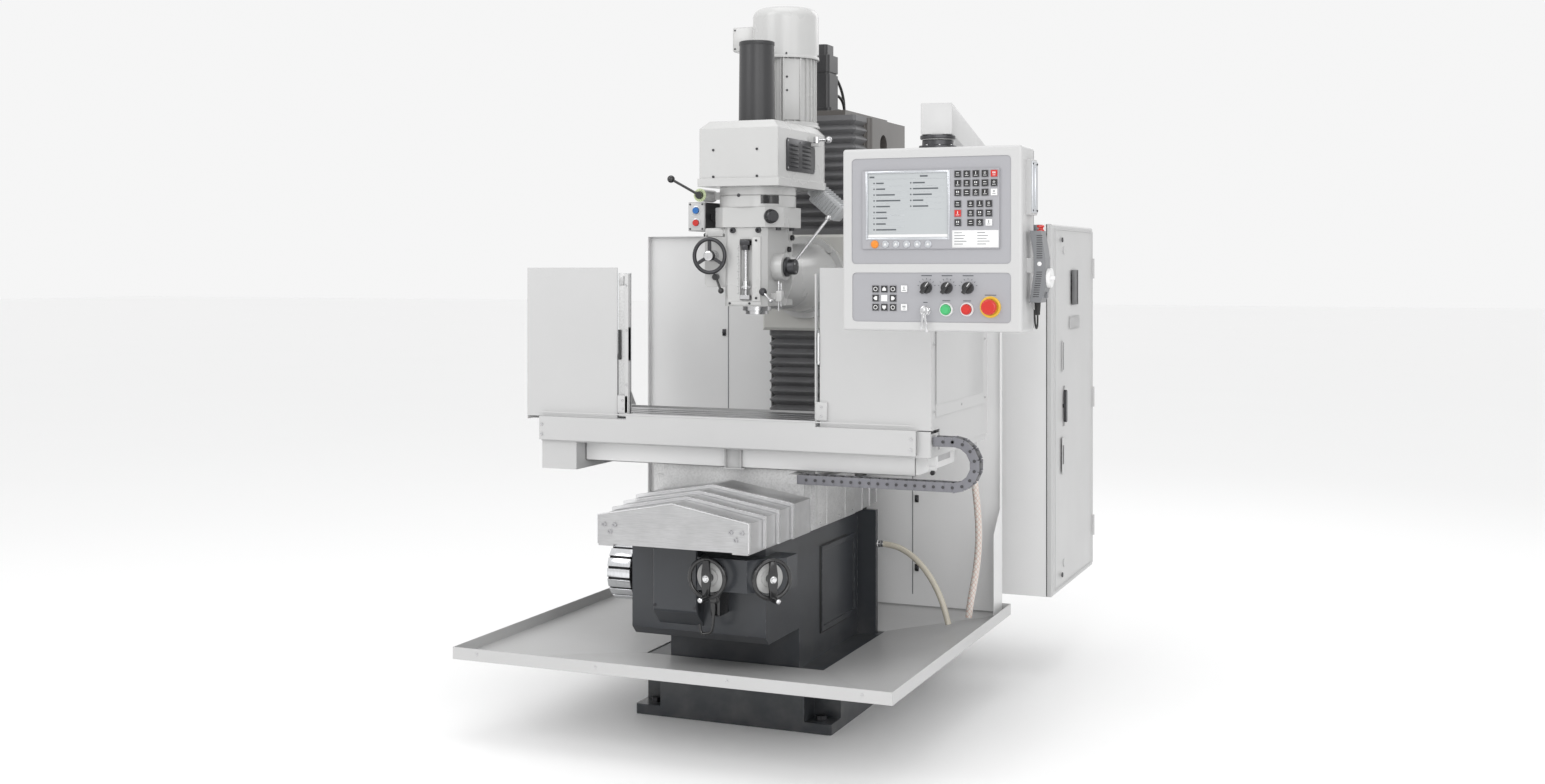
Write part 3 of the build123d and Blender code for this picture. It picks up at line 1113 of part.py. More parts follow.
def belt_outline(grow):
    """The plan outline of the belt housing: straight sides run into a half-round rear."""
    half = BELT_HALF + grow
    turn = BELT_REAR - BELT_HALF
    with BuildSketch() as outline:
        with Locations((0, turn)):
            Circle(half)
        with Locations((0, middle((BELT_FRONT - grow, turn)))):
            Rectangle(2 * half, turn - BELT_FRONT + grow)
    return outline.sketch


with BuildPart() as belt_housing:
    extrude(Plane.XY.offset(NECK_TOP) * belt_outline(0), amount=BELT_TOP - NECK_TOP)
    chamfer(belt_housing.faces().sort_by(Axis.Z)[-1].edges(), BELT_SHOULDER)
    extrude(Plane.XY.offset(NECK_TOP) * belt_outline(BELT_LIP), amount=BELT_LIP_TOP - NECK_TOP)
    block((BELT_HALF - OVERRUN, BRAKE_X + BRAKE_HALF), (BRAKE_Y - BRAKE_HALF, BRAKE_Y + BRAKE_HALF),
          (BRAKE_Z - BRAKE_SHELF, BRAKE_Z))
    rod((BRAKE_X, BRAKE_Y, BRAKE_Z), (0, 0, 1), BRAKE_PIN_HEIGHT, BRAKE_PIN_RADIUS)
save(belt_housing, "belt_housing")

# Spindle motor: foot flange, finned frame, smooth domed cowl and a terminal box
SPINDLE_MOTOR_Y = 262.0
SPINDLE_MOTOR_RADIUS = 117.0
SPINDLE_MOTOR_TOP = NOSE_HEIGHT + 1071.0
COWL_BOTTOM = NOSE_HEIGHT + 894.0
COWL_DOME = 32.0
DOME_TURN = math.radians(45.0)
FRAME_RADIUS = 106.0
FRAME_FLANGE_RADIUS = 116.0
FRAME_FLANGE = 20.0
FIN_COUNT = 28
FIN_THICK = 4.0
FIN_RUN = 16.0
TERMINAL_X = (-186.0, -90.0)
TERMINAL_Z = (NOSE_HEIGHT + 926.0, NOSE_HEIGHT + 1012.0)
TERMINAL_WIDTH = 84.0
TERMINAL_EDGE = 6.0
with BuildPart() as spindle_motor:
    rod((0, SPINDLE_MOTOR_Y, BELT_TOP), (0, 0, 1), FRAME_FLANGE, FRAME_FLANGE_RADIUS)
    rod((0, SPINDLE_MOTOR_Y, BELT_TOP), (0, 0, 1), COWL_BOTTOM - BELT_TOP, FRAME_RADIUS - FIN_THICK)
    with Locations((0, SPINDLE_MOTOR_Y, BELT_TOP)):
        with PolarLocations(FRAME_RADIUS - FIN_THICK, FIN_COUNT):
            Box(FIN_RUN, FIN_THICK, COWL_BOTTOM - BELT_TOP, align=(Align.CENTER, Align.CENTER, Align.MIN))
    with BuildSketch(Plane.YZ):
        with BuildLine():
            Polyline((SPINDLE_MOTOR_Y, COWL_BOTTOM), (SPINDLE_MOTOR_Y + SPINDLE_MOTOR_RADIUS, COWL_BOTTOM),
                     (SPINDLE_MOTOR_Y + SPINDLE_MOTOR_RADIUS, SPINDLE_MOTOR_TOP - COWL_DOME))
            ThreePointArc(
                (SPINDLE_MOTOR_Y + SPINDLE_MOTOR_RADIUS, SPINDLE_MOTOR_TOP - COWL_DOME),
                (SPINDLE_MOTOR_Y + SPINDLE_MOTOR_RADIUS - COWL_DOME * (1 - math.cos(DOME_TURN)),
                 SPINDLE_MOTOR_TOP - COWL_DOME * (1 - math.sin(DOME_TURN))),
                (SPINDLE_MOTOR_Y + SPINDLE_MOTOR_RADIUS - COWL_DOME, SPINDLE_MOTOR_TOP),
            )
            Polyline((SPINDLE_MOTOR_Y + SPINDLE_MOTOR_RADIUS - COWL_DOME, SPINDLE_MOTOR_TOP),
                     (SPINDLE_MOTOR_Y, SPINDLE_MOTOR_TOP), (SPINDLE_MOTOR_Y, COWL_BOTTOM))
        make_face()
    revolve(axis=Axis((0, SPINDLE_MOTOR_Y, 0), (0, 0, 1)))
    with BuildSketch(Plane.XY.offset(TERMINAL_Z[0])):
        with Locations((middle(TERMINAL_X), SPINDLE_MOTOR_Y)):
            RectangleRounded(span(TERMINAL_X), TERMINAL_WIDTH, TERMINAL_EDGE)
    extrude(amount=span(TERMINAL_Z))
save(spindle_motor, "spindle_motor")

# Drawbar cover: a slightly tapered can over the spindle's top
DRAWBAR_FOOT_RADIUS = 65.0
DRAWBAR_TOP_RADIUS = 59.0
DRAWBAR_TOP = NOSE_HEIGHT + 924.0
DRAWBAR_FOOT = 8.0
DRAWBAR_WALL = 3.0
with BuildPart() as drawbar_cover:
    rod((0, 0, BELT_TOP), (0, 0, 1), DRAWBAR_FOOT, DRAWBAR_FOOT_RADIUS)
    taper((0, 0, BELT_TOP), (0, 0, 1), DRAWBAR_TOP - BELT_TOP,
          DRAWBAR_FOOT_RADIUS - DRAWBAR_WALL, DRAWBAR_TOP_RADIUS)
save(drawbar_cover, "drawbar_cover")

# Push-button box on the left of the neck, with its two buttons
BUTTON_BOX_X = (-226.0, -166.0)
BUTTON_BOX_Y = (-64.0, 66.0)
BUTTON_BOX_Z = (NOSE_HEIGHT + 282.0, NOSE_HEIGHT + 380.0)
BUTTON_BOX_EDGE = 5.0
BUTTON_X = -196.0
BUTTON_HIGH = NOSE_HEIGHT + 352.0
BUTTON_LOW = NOSE_HEIGHT + 310.0
BUTTON_STEM_RADIUS = 7.0
BUTTON_STEM_LENGTH = 16.0
BUTTON_CAP_RADIUS = 11.0
BUTTON_CAP_THICK = 6.0
BUTTON_TRAVEL = 4.0
BUTTON_ARM_Y = (-12.0, 22.0)
BUTTON_ARM_THICK = 24.0
with BuildPart() as button_box:
    block(BUTTON_BOX_X, BUTTON_BOX_Y, BUTTON_BOX_Z)
    chamfer(button_box.edges().filter_by(Axis.Z), BUTTON_BOX_EDGE)
    block((BUTTON_BOX_X[1] - OVERRUN, -OCTAGON_HALF), BUTTON_ARM_Y,
          (middle(BUTTON_BOX_Z) - BUTTON_ARM_THICK / 2, middle(BUTTON_BOX_Z) + BUTTON_ARM_THICK / 2))
    for z in (BUTTON_HIGH, BUTTON_LOW):
        rod((BUTTON_X, BUTTON_BOX_Y[0] - OVERRUN, z), (0, 1, 0),
            BUTTON_STEM_LENGTH + BUTTON_TRAVEL + OVERRUN, BUTTON_STEM_RADIUS + RUNNING_CLEARANCE,
            mode=Mode.SUBTRACT)
save(button_box, "button_box")


def push_button(x, face_y, z, stem_radius, stem_length, cap_radius, cap_thick, travel):
    """A button on a front-facing panel: its cap stands off the face by its travel and some room."""
    cap_back = face_y - travel - SLIDE_CLEARANCE
    rod((x, cap_back, z), (0, 1, 0), face_y + stem_length - cap_back, stem_radius)
    rod((x, cap_back, z), (0, -1, 0), cap_thick, cap_radius)


for label, z in (("blue_button", BUTTON_HIGH), ("red_button", BUTTON_LOW)):
    with BuildPart() as button:
        push_button(BUTTON_X, BUTTON_BOX_Y[0], z, BUTTON_STEM_RADIUS, BUTTON_STEM_LENGTH,
                    BUTTON_CAP_RADIUS, BUTTON_CAP_THICK, BUTTON_TRAVEL)
    save(button, label)

# Depth stop in the quill housing's front pocket: two brackets, a screw and its graduated nut
STOP_SCREW_RADIUS = 7.0
STOP_NUT_RADIUS = 12.0
STOP_NUT_HEIGHT = 26.0
STOP_NUT_SHARE = 0.1
with BuildPart() as depth_stop:
    stop_y = (stop_pocket_floor - STOP_BRACKET_DEPTH, stop_pocket_floor)
    stop_x = (STOP_X - STOP_BRACKET_HALF, STOP_X + STOP_BRACKET_HALF)
    for low in (STOP_LOW, STOP_HIGH - STOP_BRACKET_THICK):
        block(stop_x, stop_y, (low, low + STOP_BRACKET_THICK))
    screw_y = middle(stop_y)
    rod((STOP_X, screw_y, STOP_LOW), (0, 0, 1), STOP_HIGH - STOP_LOW, STOP_SCREW_RADIUS)
    nut_low = STOP_LOW + STOP_BRACKET_THICK + (STOP_HIGH - STOP_LOW) * STOP_NUT_SHARE
    rod((STOP_X, screw_y, nut_low), (0, 0, 1), STOP_NUT_HEIGHT, STOP_NUT_RADIUS)
save(depth_stop, "depth_stop")

# Quill and the spindle inside it: collet bore with a tapered mouth
SPINDLE_RADIUS = 26.0
SPINDLE_NOSE_RADIUS = 40.0
COLLET_RADIUS = 12.05
COLLET_MOUTH_RADIUS = 15.9
COLLET_MOUTH = 22.0
COLLET_DEPTH = 110.0
with BuildPart() as quill:
    rod((0, 0, QUILL_BOTTOM), (0, 0, 1), QUILL_TOP - QUILL_BOTTOM, QUILL_RADIUS)
    rod((0, 0, QUILL_BOTTOM - OVERRUN), (0, 0, 1), QUILL_TOP - QUILL_BOTTOM + 2 * OVERRUN,
        SPINDLE_RADIUS + RUNNING_CLEARANCE, mode=Mode.SUBTRACT)
save(quill, "quill")
with BuildPart() as spindle:
    rod((0, 0, NOSE_HEIGHT), (0, 0, 1), QUILL_TOP - NOSE_HEIGHT, SPINDLE_RADIUS)
    rod((0, 0, NOSE_HEIGHT), (0, 0, 1), QUILL_BOTTOM - SLIDE_CLEARANCE - NOSE_HEIGHT, SPINDLE_NOSE_RADIUS)
    rod((0, 0, NOSE_HEIGHT - OVERRUN), (0, 0, 1), COLLET_DEPTH + OVERRUN, COLLET_RADIUS, mode=Mode.SUBTRACT)
    taper((0, 0, NOSE_HEIGHT), (0, 0, 1), COLLET_MOUTH, COLLET_MOUTH_RADIUS, COLLET_RADIUS,
          mode=Mode.SUBTRACT)
save(spindle, "spindle")

# Quill lever: hub on the right boss and a handle that leans outward and up
LEVER_HUB_RADIUS = 25.0
LEVER_HUB_LENGTH = 34.0
LEVER_REACH = (100.0, 88.0, 165.0)
LEVER_ROD_RADIUS = 5.0
LEVER_BALL_RADIUS = 10.0
with BuildPart() as quill_lever:
    hub_start = LEVER_BOSS_RIGHT + SLIDE_CLEARANCE
    rod((LEVER_BOSS_RIGHT - LEVER_SHAFT_DEPTH, LEVER_Y, LEVER_Z), (1, 0, 0),
        LEVER_SHAFT_DEPTH + LEVER_HUB_LENGTH, LEVER_SHAFT_RADIUS)
    rod((hub_start, LEVER_Y, LEVER_Z), (1, 0, 0), LEVER_HUB_LENGTH, LEVER_HUB_RADIUS)
    lever_root = (hub_start + LEVER_HUB_LENGTH / 2, LEVER_Y, LEVER_Z)
    ball_lever(lever_root, LEVER_REACH, LEVER_ROD_RADIUS, LEVER_BALL_RADIUS)
save(quill_lever, "quill_lever")

# Feed handwheel with three spokes, and the feed trip lever under it
FEED_RING = 56.0
FEED_RIM = 6.5
FEED_PLANE = 34.0
FEED_HUB_RADIUS = 17.0
FEED_HUB_LENGTH = 44.0
FEED_SPOKE_WIDTH = 11.0
FEED_SPOKE_THICK = 7.0
with BuildPart() as feed_handwheel:
    feed_face = GEAR_CASE_Y[0]
    rod((FEED_WHEEL_X, feed_face + FEED_SHAFT_DEPTH, FEED_WHEEL_Z), (0, -1, 0),
        FEED_SHAFT_DEPTH + FEED_HUB_LENGTH, FEED_SHAFT_RADIUS)
    rod((FEED_WHEEL_X, feed_face - SLIDE_CLEARANCE, FEED_WHEEL_Z), (0, -1, 0), FEED_HUB_LENGTH,
        FEED_HUB_RADIUS)
    wheel_place = (FEED_WHEEL_X, feed_face - FEED_PLANE, FEED_WHEEL_Z)
    wheel_plane = Plane(wheel_place, x_dir=(1, 0, 0), z_dir=(0, -1, 0))
    with Locations(wheel_plane):
        Torus(FEED_RING, FEED_RIM)
        with PolarLocations(FEED_RING / 2, 3, 90):
            Box(FEED_RING, FEED_SPOKE_WIDTH, FEED_SPOKE_THICK)
save(feed_handwheel, "feed_handwheel")

FEED_LEVER_REACH = (26.0, -16.0, -46.0)
FEED_LEVER_HUB_RADIUS = 11.0
FEED_LEVER_HUB_LENGTH = 14.0
FEED_LEVER_ROD = 4.0
FEED_LEVER_BALL = 10.0
with BuildPart() as feed_lever:
    rod((FEED_LEVER_X, feed_face + FEED_SHAFT_DEPTH, FEED_LEVER_Z), (0, -1, 0),
        FEED_SHAFT_DEPTH + FEED_LEVER_HUB_LENGTH, FEED_LEVER_SHAFT)
    rod((FEED_LEVER_X, feed_face - SLIDE_CLEARANCE, FEED_LEVER_Z), (0, -1, 0),
        FEED_LEVER_HUB_LENGTH, FEED_LEVER_HUB_RADIUS)
    feed_root = (FEED_LEVER_X, feed_face - FEED_LEVER_HUB_LENGTH / 2, FEED_LEVER_Z)
    ball_lever(feed_root, FEED_LEVER_REACH, FEED_LEVER_ROD, FEED_LEVER_BALL)
save(feed_lever, "feed_lever")

# Speed range lever on the dial's boss, and the spindle brake lever on the belt housing's side
RANGE_REACH = (-104.0, -4.0, 56.0)
RANGE_HUB_RADIUS = 12.0
RANGE_HUB_LENGTH = 14.0
RANGE_ROD = 4.5
RANGE_BALL = 13.0
with BuildPart() as range_lever:
    rod((DIAL_X, DIAL_FRONT + RANGE_SHAFT_DEPTH, DIAL_Z), (0, -1, 0),
        RANGE_SHAFT_DEPTH + RANGE_HUB_LENGTH, RANGE_SHAFT_RADIUS)
    rod((DIAL_X, DIAL_FRONT - SLIDE_CLEARANCE, DIAL_Z), (0, -1, 0), RANGE_HUB_LENGTH, RANGE_HUB_RADIUS)
    range_root = (DIAL_X, DIAL_FRONT - RANGE_HUB_LENGTH / 2, DIAL_Z)
    ball_lever(range_root, RANGE_REACH, RANGE_ROD, RANGE_BALL)
save(range_lever, "range_lever")

BRAKE_HUB_RADIUS = 11.0
BRAKE_HUB_HEIGHT = 22.0
BRAKE_LENGTH = 44.0
BRAKE_ROD = 5.0
BRAKE_BALL = 12.0
with BuildPart() as brake_lever:
    hub_low = BRAKE_Z + SLIDE_CLEARANCE
    rod((BRAKE_X, BRAKE_Y, hub_low), (0, 0, 1), BRAKE_HUB_HEIGHT, BRAKE_HUB_RADIUS)
    brake_root = (BRAKE_X, BRAKE_Y, hub_low + BRAKE_HUB_HEIGHT / 2)
    ball_lever(brake_root, (BRAKE_LENGTH, 0, 0), BRAKE_ROD, BRAKE_BALL)
    rod((BRAKE_X, BRAKE_Y, BRAKE_Z), (0, 0, 1), BRAKE_PIN_HEIGHT + SLIDE_CLEARANCE,
        BRAKE_PIN_RADIUS + RUNNING_CLEARANCE, mode=Mode.SUBTRACT)
save(brake_lever, "brake_lever")

# Swing arm: square tube between the post's hub and the hub over the pendant
ARM_EDGE = 8.0
ARM_HUB_RADIUS = 52.0
ARM_COLLAR_RADIUS = 44.0
ARM_COLLAR_BOTTOM = 1850.0
PENDANT_SPIGOT_RADIUS = 22.0
PENDANT_SPIGOT_LENGTH = 60.0
arm_run = Vector(PENDANT_X - ARM_POST_X, PENDANT_Y - ARM_POST_Y, 0)
with BuildPart() as pendant_arm:
    arm_start = Plane((ARM_POST_X, ARM_POST_Y, ARM_BOTTOM + ARM_SIDE / 2), x_dir=(0, 0, 1), z_dir=arm_run)
    with BuildSketch(arm_start):
        RectangleRounded(ARM_SIDE, ARM_SIDE, ARM_EDGE)
    extrude(amount=arm_run.length)
    rod((ARM_POST_X, ARM_POST_Y, ARM_BOTTOM), (0, 0, 1), ARM_SIDE, ARM_HUB_RADIUS)
    rod((PENDANT_X, PENDANT_Y, ARM_BOTTOM), (0, 0, 1), ARM_SIDE, ARM_HUB_RADIUS)
    rod((PENDANT_X, PENDANT_Y, ARM_COLLAR_BOTTOM), (0, 0, 1), ARM_BOTTOM - ARM_COLLAR_BOTTOM + OVERRUN,
        ARM_COLLAR_RADIUS)
    rod((ARM_POST_X, ARM_POST_Y, ARM_BOTTOM - OVERRUN), (0, 0, 1), SPIGOT_LENGTH + OVERRUN + SLIDE_CLEARANCE,
        SPIGOT_RADIUS + RUNNING_CLEARANCE, mode=Mode.SUBTRACT)
    rod((PENDANT_X, PENDANT_Y, ARM_COLLAR_BOTTOM - OVERRUN), (0, 0, 1),
        PENDANT_SPIGOT_LENGTH + OVERRUN + SLIDE_CLEARANCE,
        PENDANT_SPIGOT_RADIUS + RUNNING_CLEARANCE, mode=Mode.SUBTRACT)
save(pendant_arm, "pendant_arm")

# Pendant case: rounded box with two recessed panels, a swivel collar, a port box and the handset's holder
CASE_X = (621.0, 1130.0)
CASE_Y = (-846.0, -709.0)
CASE_Z = (1324.0, 1826.0)
CASE_EDGE = 8.0
UPPER_PANEL_X = (648.0, 1100.0)
UPPER_PANEL_Z = (1508.0, 1799.0)
LOWER_PANEL_X = (650.0, 1100.0)
LOWER_PANEL_Z = (1349.0, 1484.0)
PANEL_CORNER = 12.0
PANEL_RECESS = 5.0
PANEL_SHEET = 3.0
START_PLACE = (920.0, 1384.0)
STOP_PLACE = (978.0, 1385.0)
ESTOP_PLACE = (1043.0, 1392.0)
PANEL_STEM_RADIUS = 8.0
PANEL_STEM_LENGTH = 20.0
PANEL_BUTTON_TRAVEL = 4.0
ESTOP_TRAVEL = 6.0
PORT_X = 14.0
PORT_Y = (-800.0, -735.0)
PORT_Z = (1640.0, 1790.0)
HANDSET_Y = (-806.0, -748.0)
HANDSET_BEND = 22.0
HOLDER_Z = (1484.0, 1524.0)
HOLDER_Y = (-796.0, -758.0)
CORD_BOSS_Y = (-736.0, -720.0)
CORD_BOSS_X = 12.0
CORD_BOSS_Z = (1384.0, 1402.0)
COLLAR_RADIUS = 40.0
case_right = CASE_X[1]
panel_front = CASE_Y[0] + PANEL_RECESS - PANEL_SHEET


def panel_sketch(x, z):
    """A round-cornered panel outline on the case's front, drawn on the recess floor."""
    with BuildSketch(Plane.XZ.offset(-(CASE_Y[0] + PANEL_RECESS))) as panel:
        with Locations((middle(x), middle(z))):
            RectangleRounded(span(x), span(z), PANEL_CORNER)
    return panel.sketch


with BuildPart() as pendant_case:
    block(CASE_X, CASE_Y, CASE_Z)
    fillet(pendant_case.edges(), CASE_EDGE)
    for x, z in ((UPPER_PANEL_X, UPPER_PANEL_Z), (LOWER_PANEL_X, LOWER_PANEL_Z)):
        extrude(panel_sketch(x, z), amount=PANEL_RECESS + OVERRUN, mode=Mode.SUBTRACT)
    rod((PENDANT_X, PENDANT_Y, CASE_Z[1] - OVERRUN), (0, 0, 1),
        ARM_COLLAR_BOTTOM - SLIDE_CLEARANCE - CASE_Z[1] + OVERRUN, COLLAR_RADIUS)
    rod((PENDANT_X, PENDANT_Y, CASE_Z[1]), (0, 0, 1),
        ARM_COLLAR_BOTTOM + PENDANT_SPIGOT_LENGTH - CASE_Z[1], PENDANT_SPIGOT_RADIUS)
    block((case_right - OVERRUN, case_right + PORT_X), PORT_Y, PORT_Z)
    block((case_right - OVERRUN, case_right + HANDSET_BEND), HOLDER_Y, HOLDER_Z)
    block((case_right - OVERRUN, case_right + CORD_BOSS_X), CORD_BOSS_Y, CORD_BOSS_Z)
    for (x, z), travel in ((START_PLACE, PANEL_BUTTON_TRAVEL), (STOP_PLACE, PANEL_BUTTON_TRAVEL),
                           (ESTOP_PLACE, ESTOP_TRAVEL)):
        rod((x, CASE_Y[0] - OVERRUN, z), (0, 1, 0), PANEL_RECESS + PANEL_STEM_LENGTH + travel + OVERRUN,
            PANEL_STEM_RADIUS + RUNNING_CLEARANCE, mode=Mode.SUBTRACT)
save(pendant_case, "pendant_case")

# Control panel: both panel sheets, the display unit with its screen, keys, selector knobs and key switch
DISPLAY_X = (680.0, 1069.0)
DISPLAY_Z = (1549.0, 1765.0)
DISPLAY_RISE = 5.0
SCREEN_X = (696.0, 925.0)
SCREEN_Z = (1580.0, 1757.0)
SCREEN_DEPTH = 2.5
KEY_SIDE = 19.0
KEY_RISE = 2.5
KEY_PITCH = 25.2
KEY_GRIDS = (                # first key's X, top row's Z, columns, rows
    (954.0, 1751.0, 5, 3),
    (954.0, 1670.0, 1, 3),
    (990.0, 1670.0, 3, 3),
)
PAD_GRIDS = ((718.0, 1439.0, 3, 3), (800.5, 1440.0, 1, 1), (800.5, 1389.0, 1, 1))
SOFT_KEYS_X = (717.0, 870.0)
SOFT_KEY_Z = 1562.0
SOFT_KEY_COUNT = 6
SOFT_KEY_RADIUS = 9.0
SELECTOR_X = (864.0, 922.0, 981.0)
SELECTOR_Z = 1443.0
SELECTOR_RADIUS = 14.0
SELECTOR_LENGTH = 10.0
POINTER_LENGTH = 34.0
POINTER_WIDTH = 9.0
POINTER_RISE = 12.0
POINTER_LEAN = 35.0
KEY_SWITCH_PLACE = (861.0, 1380.0)
KEY_SWITCH_RADIUS = 12.0
KEY_SWITCH_LENGTH = 12.0
BUTTON_RING_RADIUS = 17.5
BUTTON_RING_ROOM = 0.6
BUTTON_RING_RISE = 4.0
PANEL_CAP_RADIUS = 14.0
PANEL_CAP_THICK = 8.0
ESTOP_CAP_RADIUS = 21.0
ESTOP_CAP_THICK = 16.0
ESTOP_CAP_ROUND = 5.3
ESTOP_PLATE_RADIUS = 26.0
ESTOP_PLATE_RISE = 2.0


def key_grid(grid, face):
    """A grid of square keys that stand on a face."""
    first_x, top_z, columns, rows = grid
    with BuildSketch(Plane.XZ.offset(-face)) as keys:
        with Locations((first_x + (columns - 1) * KEY_PITCH / 2, top_z - (rows - 1) * KEY_PITCH / 2)):
            with GridLocations(KEY_PITCH, KEY_PITCH, columns, rows):
                Rectangle(KEY_SIDE, KEY_SIDE)
    extrude(keys.sketch, amount=KEY_RISE)


with BuildPart() as control_panel:
    for x, z in ((UPPER_PANEL_X, UPPER_PANEL_Z), (LOWER_PANEL_X, LOWER_PANEL_Z)):
        extrude(panel_sketch(x, z), amount=PANEL_SHEET)
    display_front = panel_front - DISPLAY_RISE
    block(DISPLAY_X, (display_front, panel_front), DISPLAY_Z)
    block(SCREEN_X, (display_front - OVERRUN, display_front + SCREEN_DEPTH), SCREEN_Z, mode=Mode.SUBTRACT)
    for grid in KEY_GRIDS:
        key_grid(grid, display_front)
    for grid in PAD_GRIDS:
        key_grid(grid, panel_front)
    for i in range(SOFT_KEY_COUNT):
        x = SOFT_KEYS_X[0] + span(SOFT_KEYS_X) * i / (SOFT_KEY_COUNT - 1)
        rod((x, display_front, SOFT_KEY_Z), (0, -1, 0), KEY_RISE, SOFT_KEY_RADIUS)
    for x in SELECTOR_X:
        rod((x, panel_front, SELECTOR_Z), (0, -1, 0), SELECTOR_LENGTH, SELECTOR_RADIUS)
        with Locations(Location((x, panel_front - SELECTOR_LENGTH, SELECTOR_Z), (0, POINTER_LEAN, 0))):
            Box(POINTER_WIDTH, POINTER_RISE, POINTER_LENGTH, align=(Align.CENTER, Align.MAX, Align.CENTER))
    rod((KEY_SWITCH_PLACE[0], panel_front, KEY_SWITCH_PLACE[1]), (0, -1, 0), KEY_SWITCH_LENGTH,
        KEY_SWITCH_RADIUS)
    for x, z in (START_PLACE, STOP_PLACE):
        rod((x, panel_front, z), (0, -1, 0), BUTTON_RING_RISE, BUTTON_RING_RADIUS)
        rod((x, panel_front, z), (0, -1, 0), BUTTON_RING_RISE + OVERRUN, PANEL_CAP_RADIUS + BUTTON_RING_ROOM,
            mode=Mode.SUBTRACT)
    rod((ESTOP_PLACE[0], panel_front, ESTOP_PLACE[1]), (0, -1, 0), ESTOP_PLATE_RISE, ESTOP_PLATE_RADIUS)
    for x, z in (START_PLACE, STOP_PLACE, ESTOP_PLACE):
        rod((x, panel_front - ESTOP_PLATE_RISE - OVERRUN, z), (0, 1, 0),
            PANEL_SHEET + ESTOP_PLATE_RISE + 2 * OVERRUN, PANEL_STEM_RADIUS + RUNNING_CLEARANCE,
            mode=Mode.SUBTRACT)
save(control_panel, "control_panel")

for label, place in (("start_button", START_PLACE), ("stop_button", STOP_PLACE)):
    with BuildPart() as button:
        push_button(place[0], panel_front, place[1], PANEL_STEM_RADIUS, PANEL_STEM_LENGTH,
                    PANEL_CAP_RADIUS, PANEL_CAP_THICK, PANEL_BUTTON_TRAVEL)
    save(button, label)
with BuildPart() as estop_button:
    push_button(ESTOP_PLACE[0], panel_front - ESTOP_PLATE_RISE, ESTOP_PLACE[1], PANEL_STEM_RADIUS,
                PANEL_STEM_LENGTH, ESTOP_CAP_RADIUS, ESTOP_CAP_THICK, ESTOP_TRAVEL)
    fillet(estop_button.faces().sort_by(Axis.Y)[0].edges(), ESTOP_CAP_ROUND)
save(estop_button, "estop_button")

# Handset on the case's right side: bent body, stop knob on top, strain relief below and its pulse dial
HANDSET_WIDTH = 31.0
HANDSET_TOP = 1597.0
HANDSET_BOTTOM = 1404.0
HANDSET_LEAN = 12.0
HANDSET_STOP_RADIUS = 11.0
HANDSET_STOP_HEIGHT = 16.0
RELIEF_LENGTH = 34.0
RELIEF_TOP_RADIUS = 8.0
RELIEF_END_RADIUS = 4.5
PULSE_Z = 1470.0
PULSE_RADIUS = 26.0
PULSE_THICK = 11.0
PULSE_SHAFT_RADIUS = 6.0
PULSE_SHAFT_DEPTH = 14.0
PULSE_KNOB_RADIUS = 5.0
PULSE_KNOB_OFFSET = 17.0
PULSE_KNOB_LENGTH = 13.0
SIDE_KNOB_Z = 1424.0
SIDE_KNOB_RADIUS = 8.0
SIDE_KNOB_LENGTH = 12.0
handset_left = case_right + HANDSET_BEND
handset_right = handset_left + HANDSET_WIDTH
handset_y = middle(HANDSET_Y)
handset_foot_x = handset_left - HANDSET_LEAN + HANDSET_WIDTH / 2
with BuildPart() as handset:
    profile(
        Plane.XZ.offset(-HANDSET_Y[1]),
        [
            (handset_left - HANDSET_LEAN, HANDSET_BOTTOM),
            (handset_left, HOLDER_Z[0]),
            (handset_left, HOLDER_Z[1]),
            (handset_left - HANDSET_LEAN, HANDSET_TOP),
            (handset_right - HANDSET_LEAN, HANDSET_TOP),
            (handset_right, HOLDER_Z[1]),
            (handset_right, PULSE_Z - PULSE_RADIUS),
            (handset_right - HANDSET_LEAN, HANDSET_BOTTOM),
        ],
        span(HANDSET_Y),
    )
    rod((handset_foot_x, handset_y, HANDSET_TOP), (0, 0, 1), HANDSET_STOP_HEIGHT, HANDSET_STOP_RADIUS)
    taper((handset_foot_x, handset_y, HANDSET_BOTTOM), (0, 0, -1), RELIEF_LENGTH, RELIEF_TOP_RADIUS,
          RELIEF_END_RADIUS)
    rod((handset_right - HANDSET_LEAN, handset_y, SIDE_KNOB_Z), (1, 0, 0), SIDE_KNOB_LENGTH, SIDE_KNOB_RADIUS)
    rod((handset_right + OVERRUN, handset_y, PULSE_Z), (-1, 0, 0),
        PULSE_SHAFT_DEPTH + OVERRUN + SLIDE_CLEARANCE,
        PULSE_SHAFT_RADIUS + RUNNING_CLEARANCE, mode=Mode.SUBTRACT)
save(handset, "handset")

with BuildPart() as handset_dial:
    rod((handset_right - PULSE_SHAFT_DEPTH, handset_y, PULSE_Z), (1, 0, 0),
        PULSE_SHAFT_DEPTH + PULSE_THICK, PULSE_SHAFT_RADIUS)
    rod((handset_right + SLIDE_CLEARANCE, handset_y, PULSE_Z), (1, 0, 0), PULSE_THICK, PULSE_RADIUS)
    rod((handset_right + PULSE_THICK, handset_y - PULSE_KNOB_OFFSET, PULSE_Z), (1, 0, 0),
        PULSE_KNOB_LENGTH, PULSE_KNOB_RADIUS)
save(handset_dial, "handset_dial")

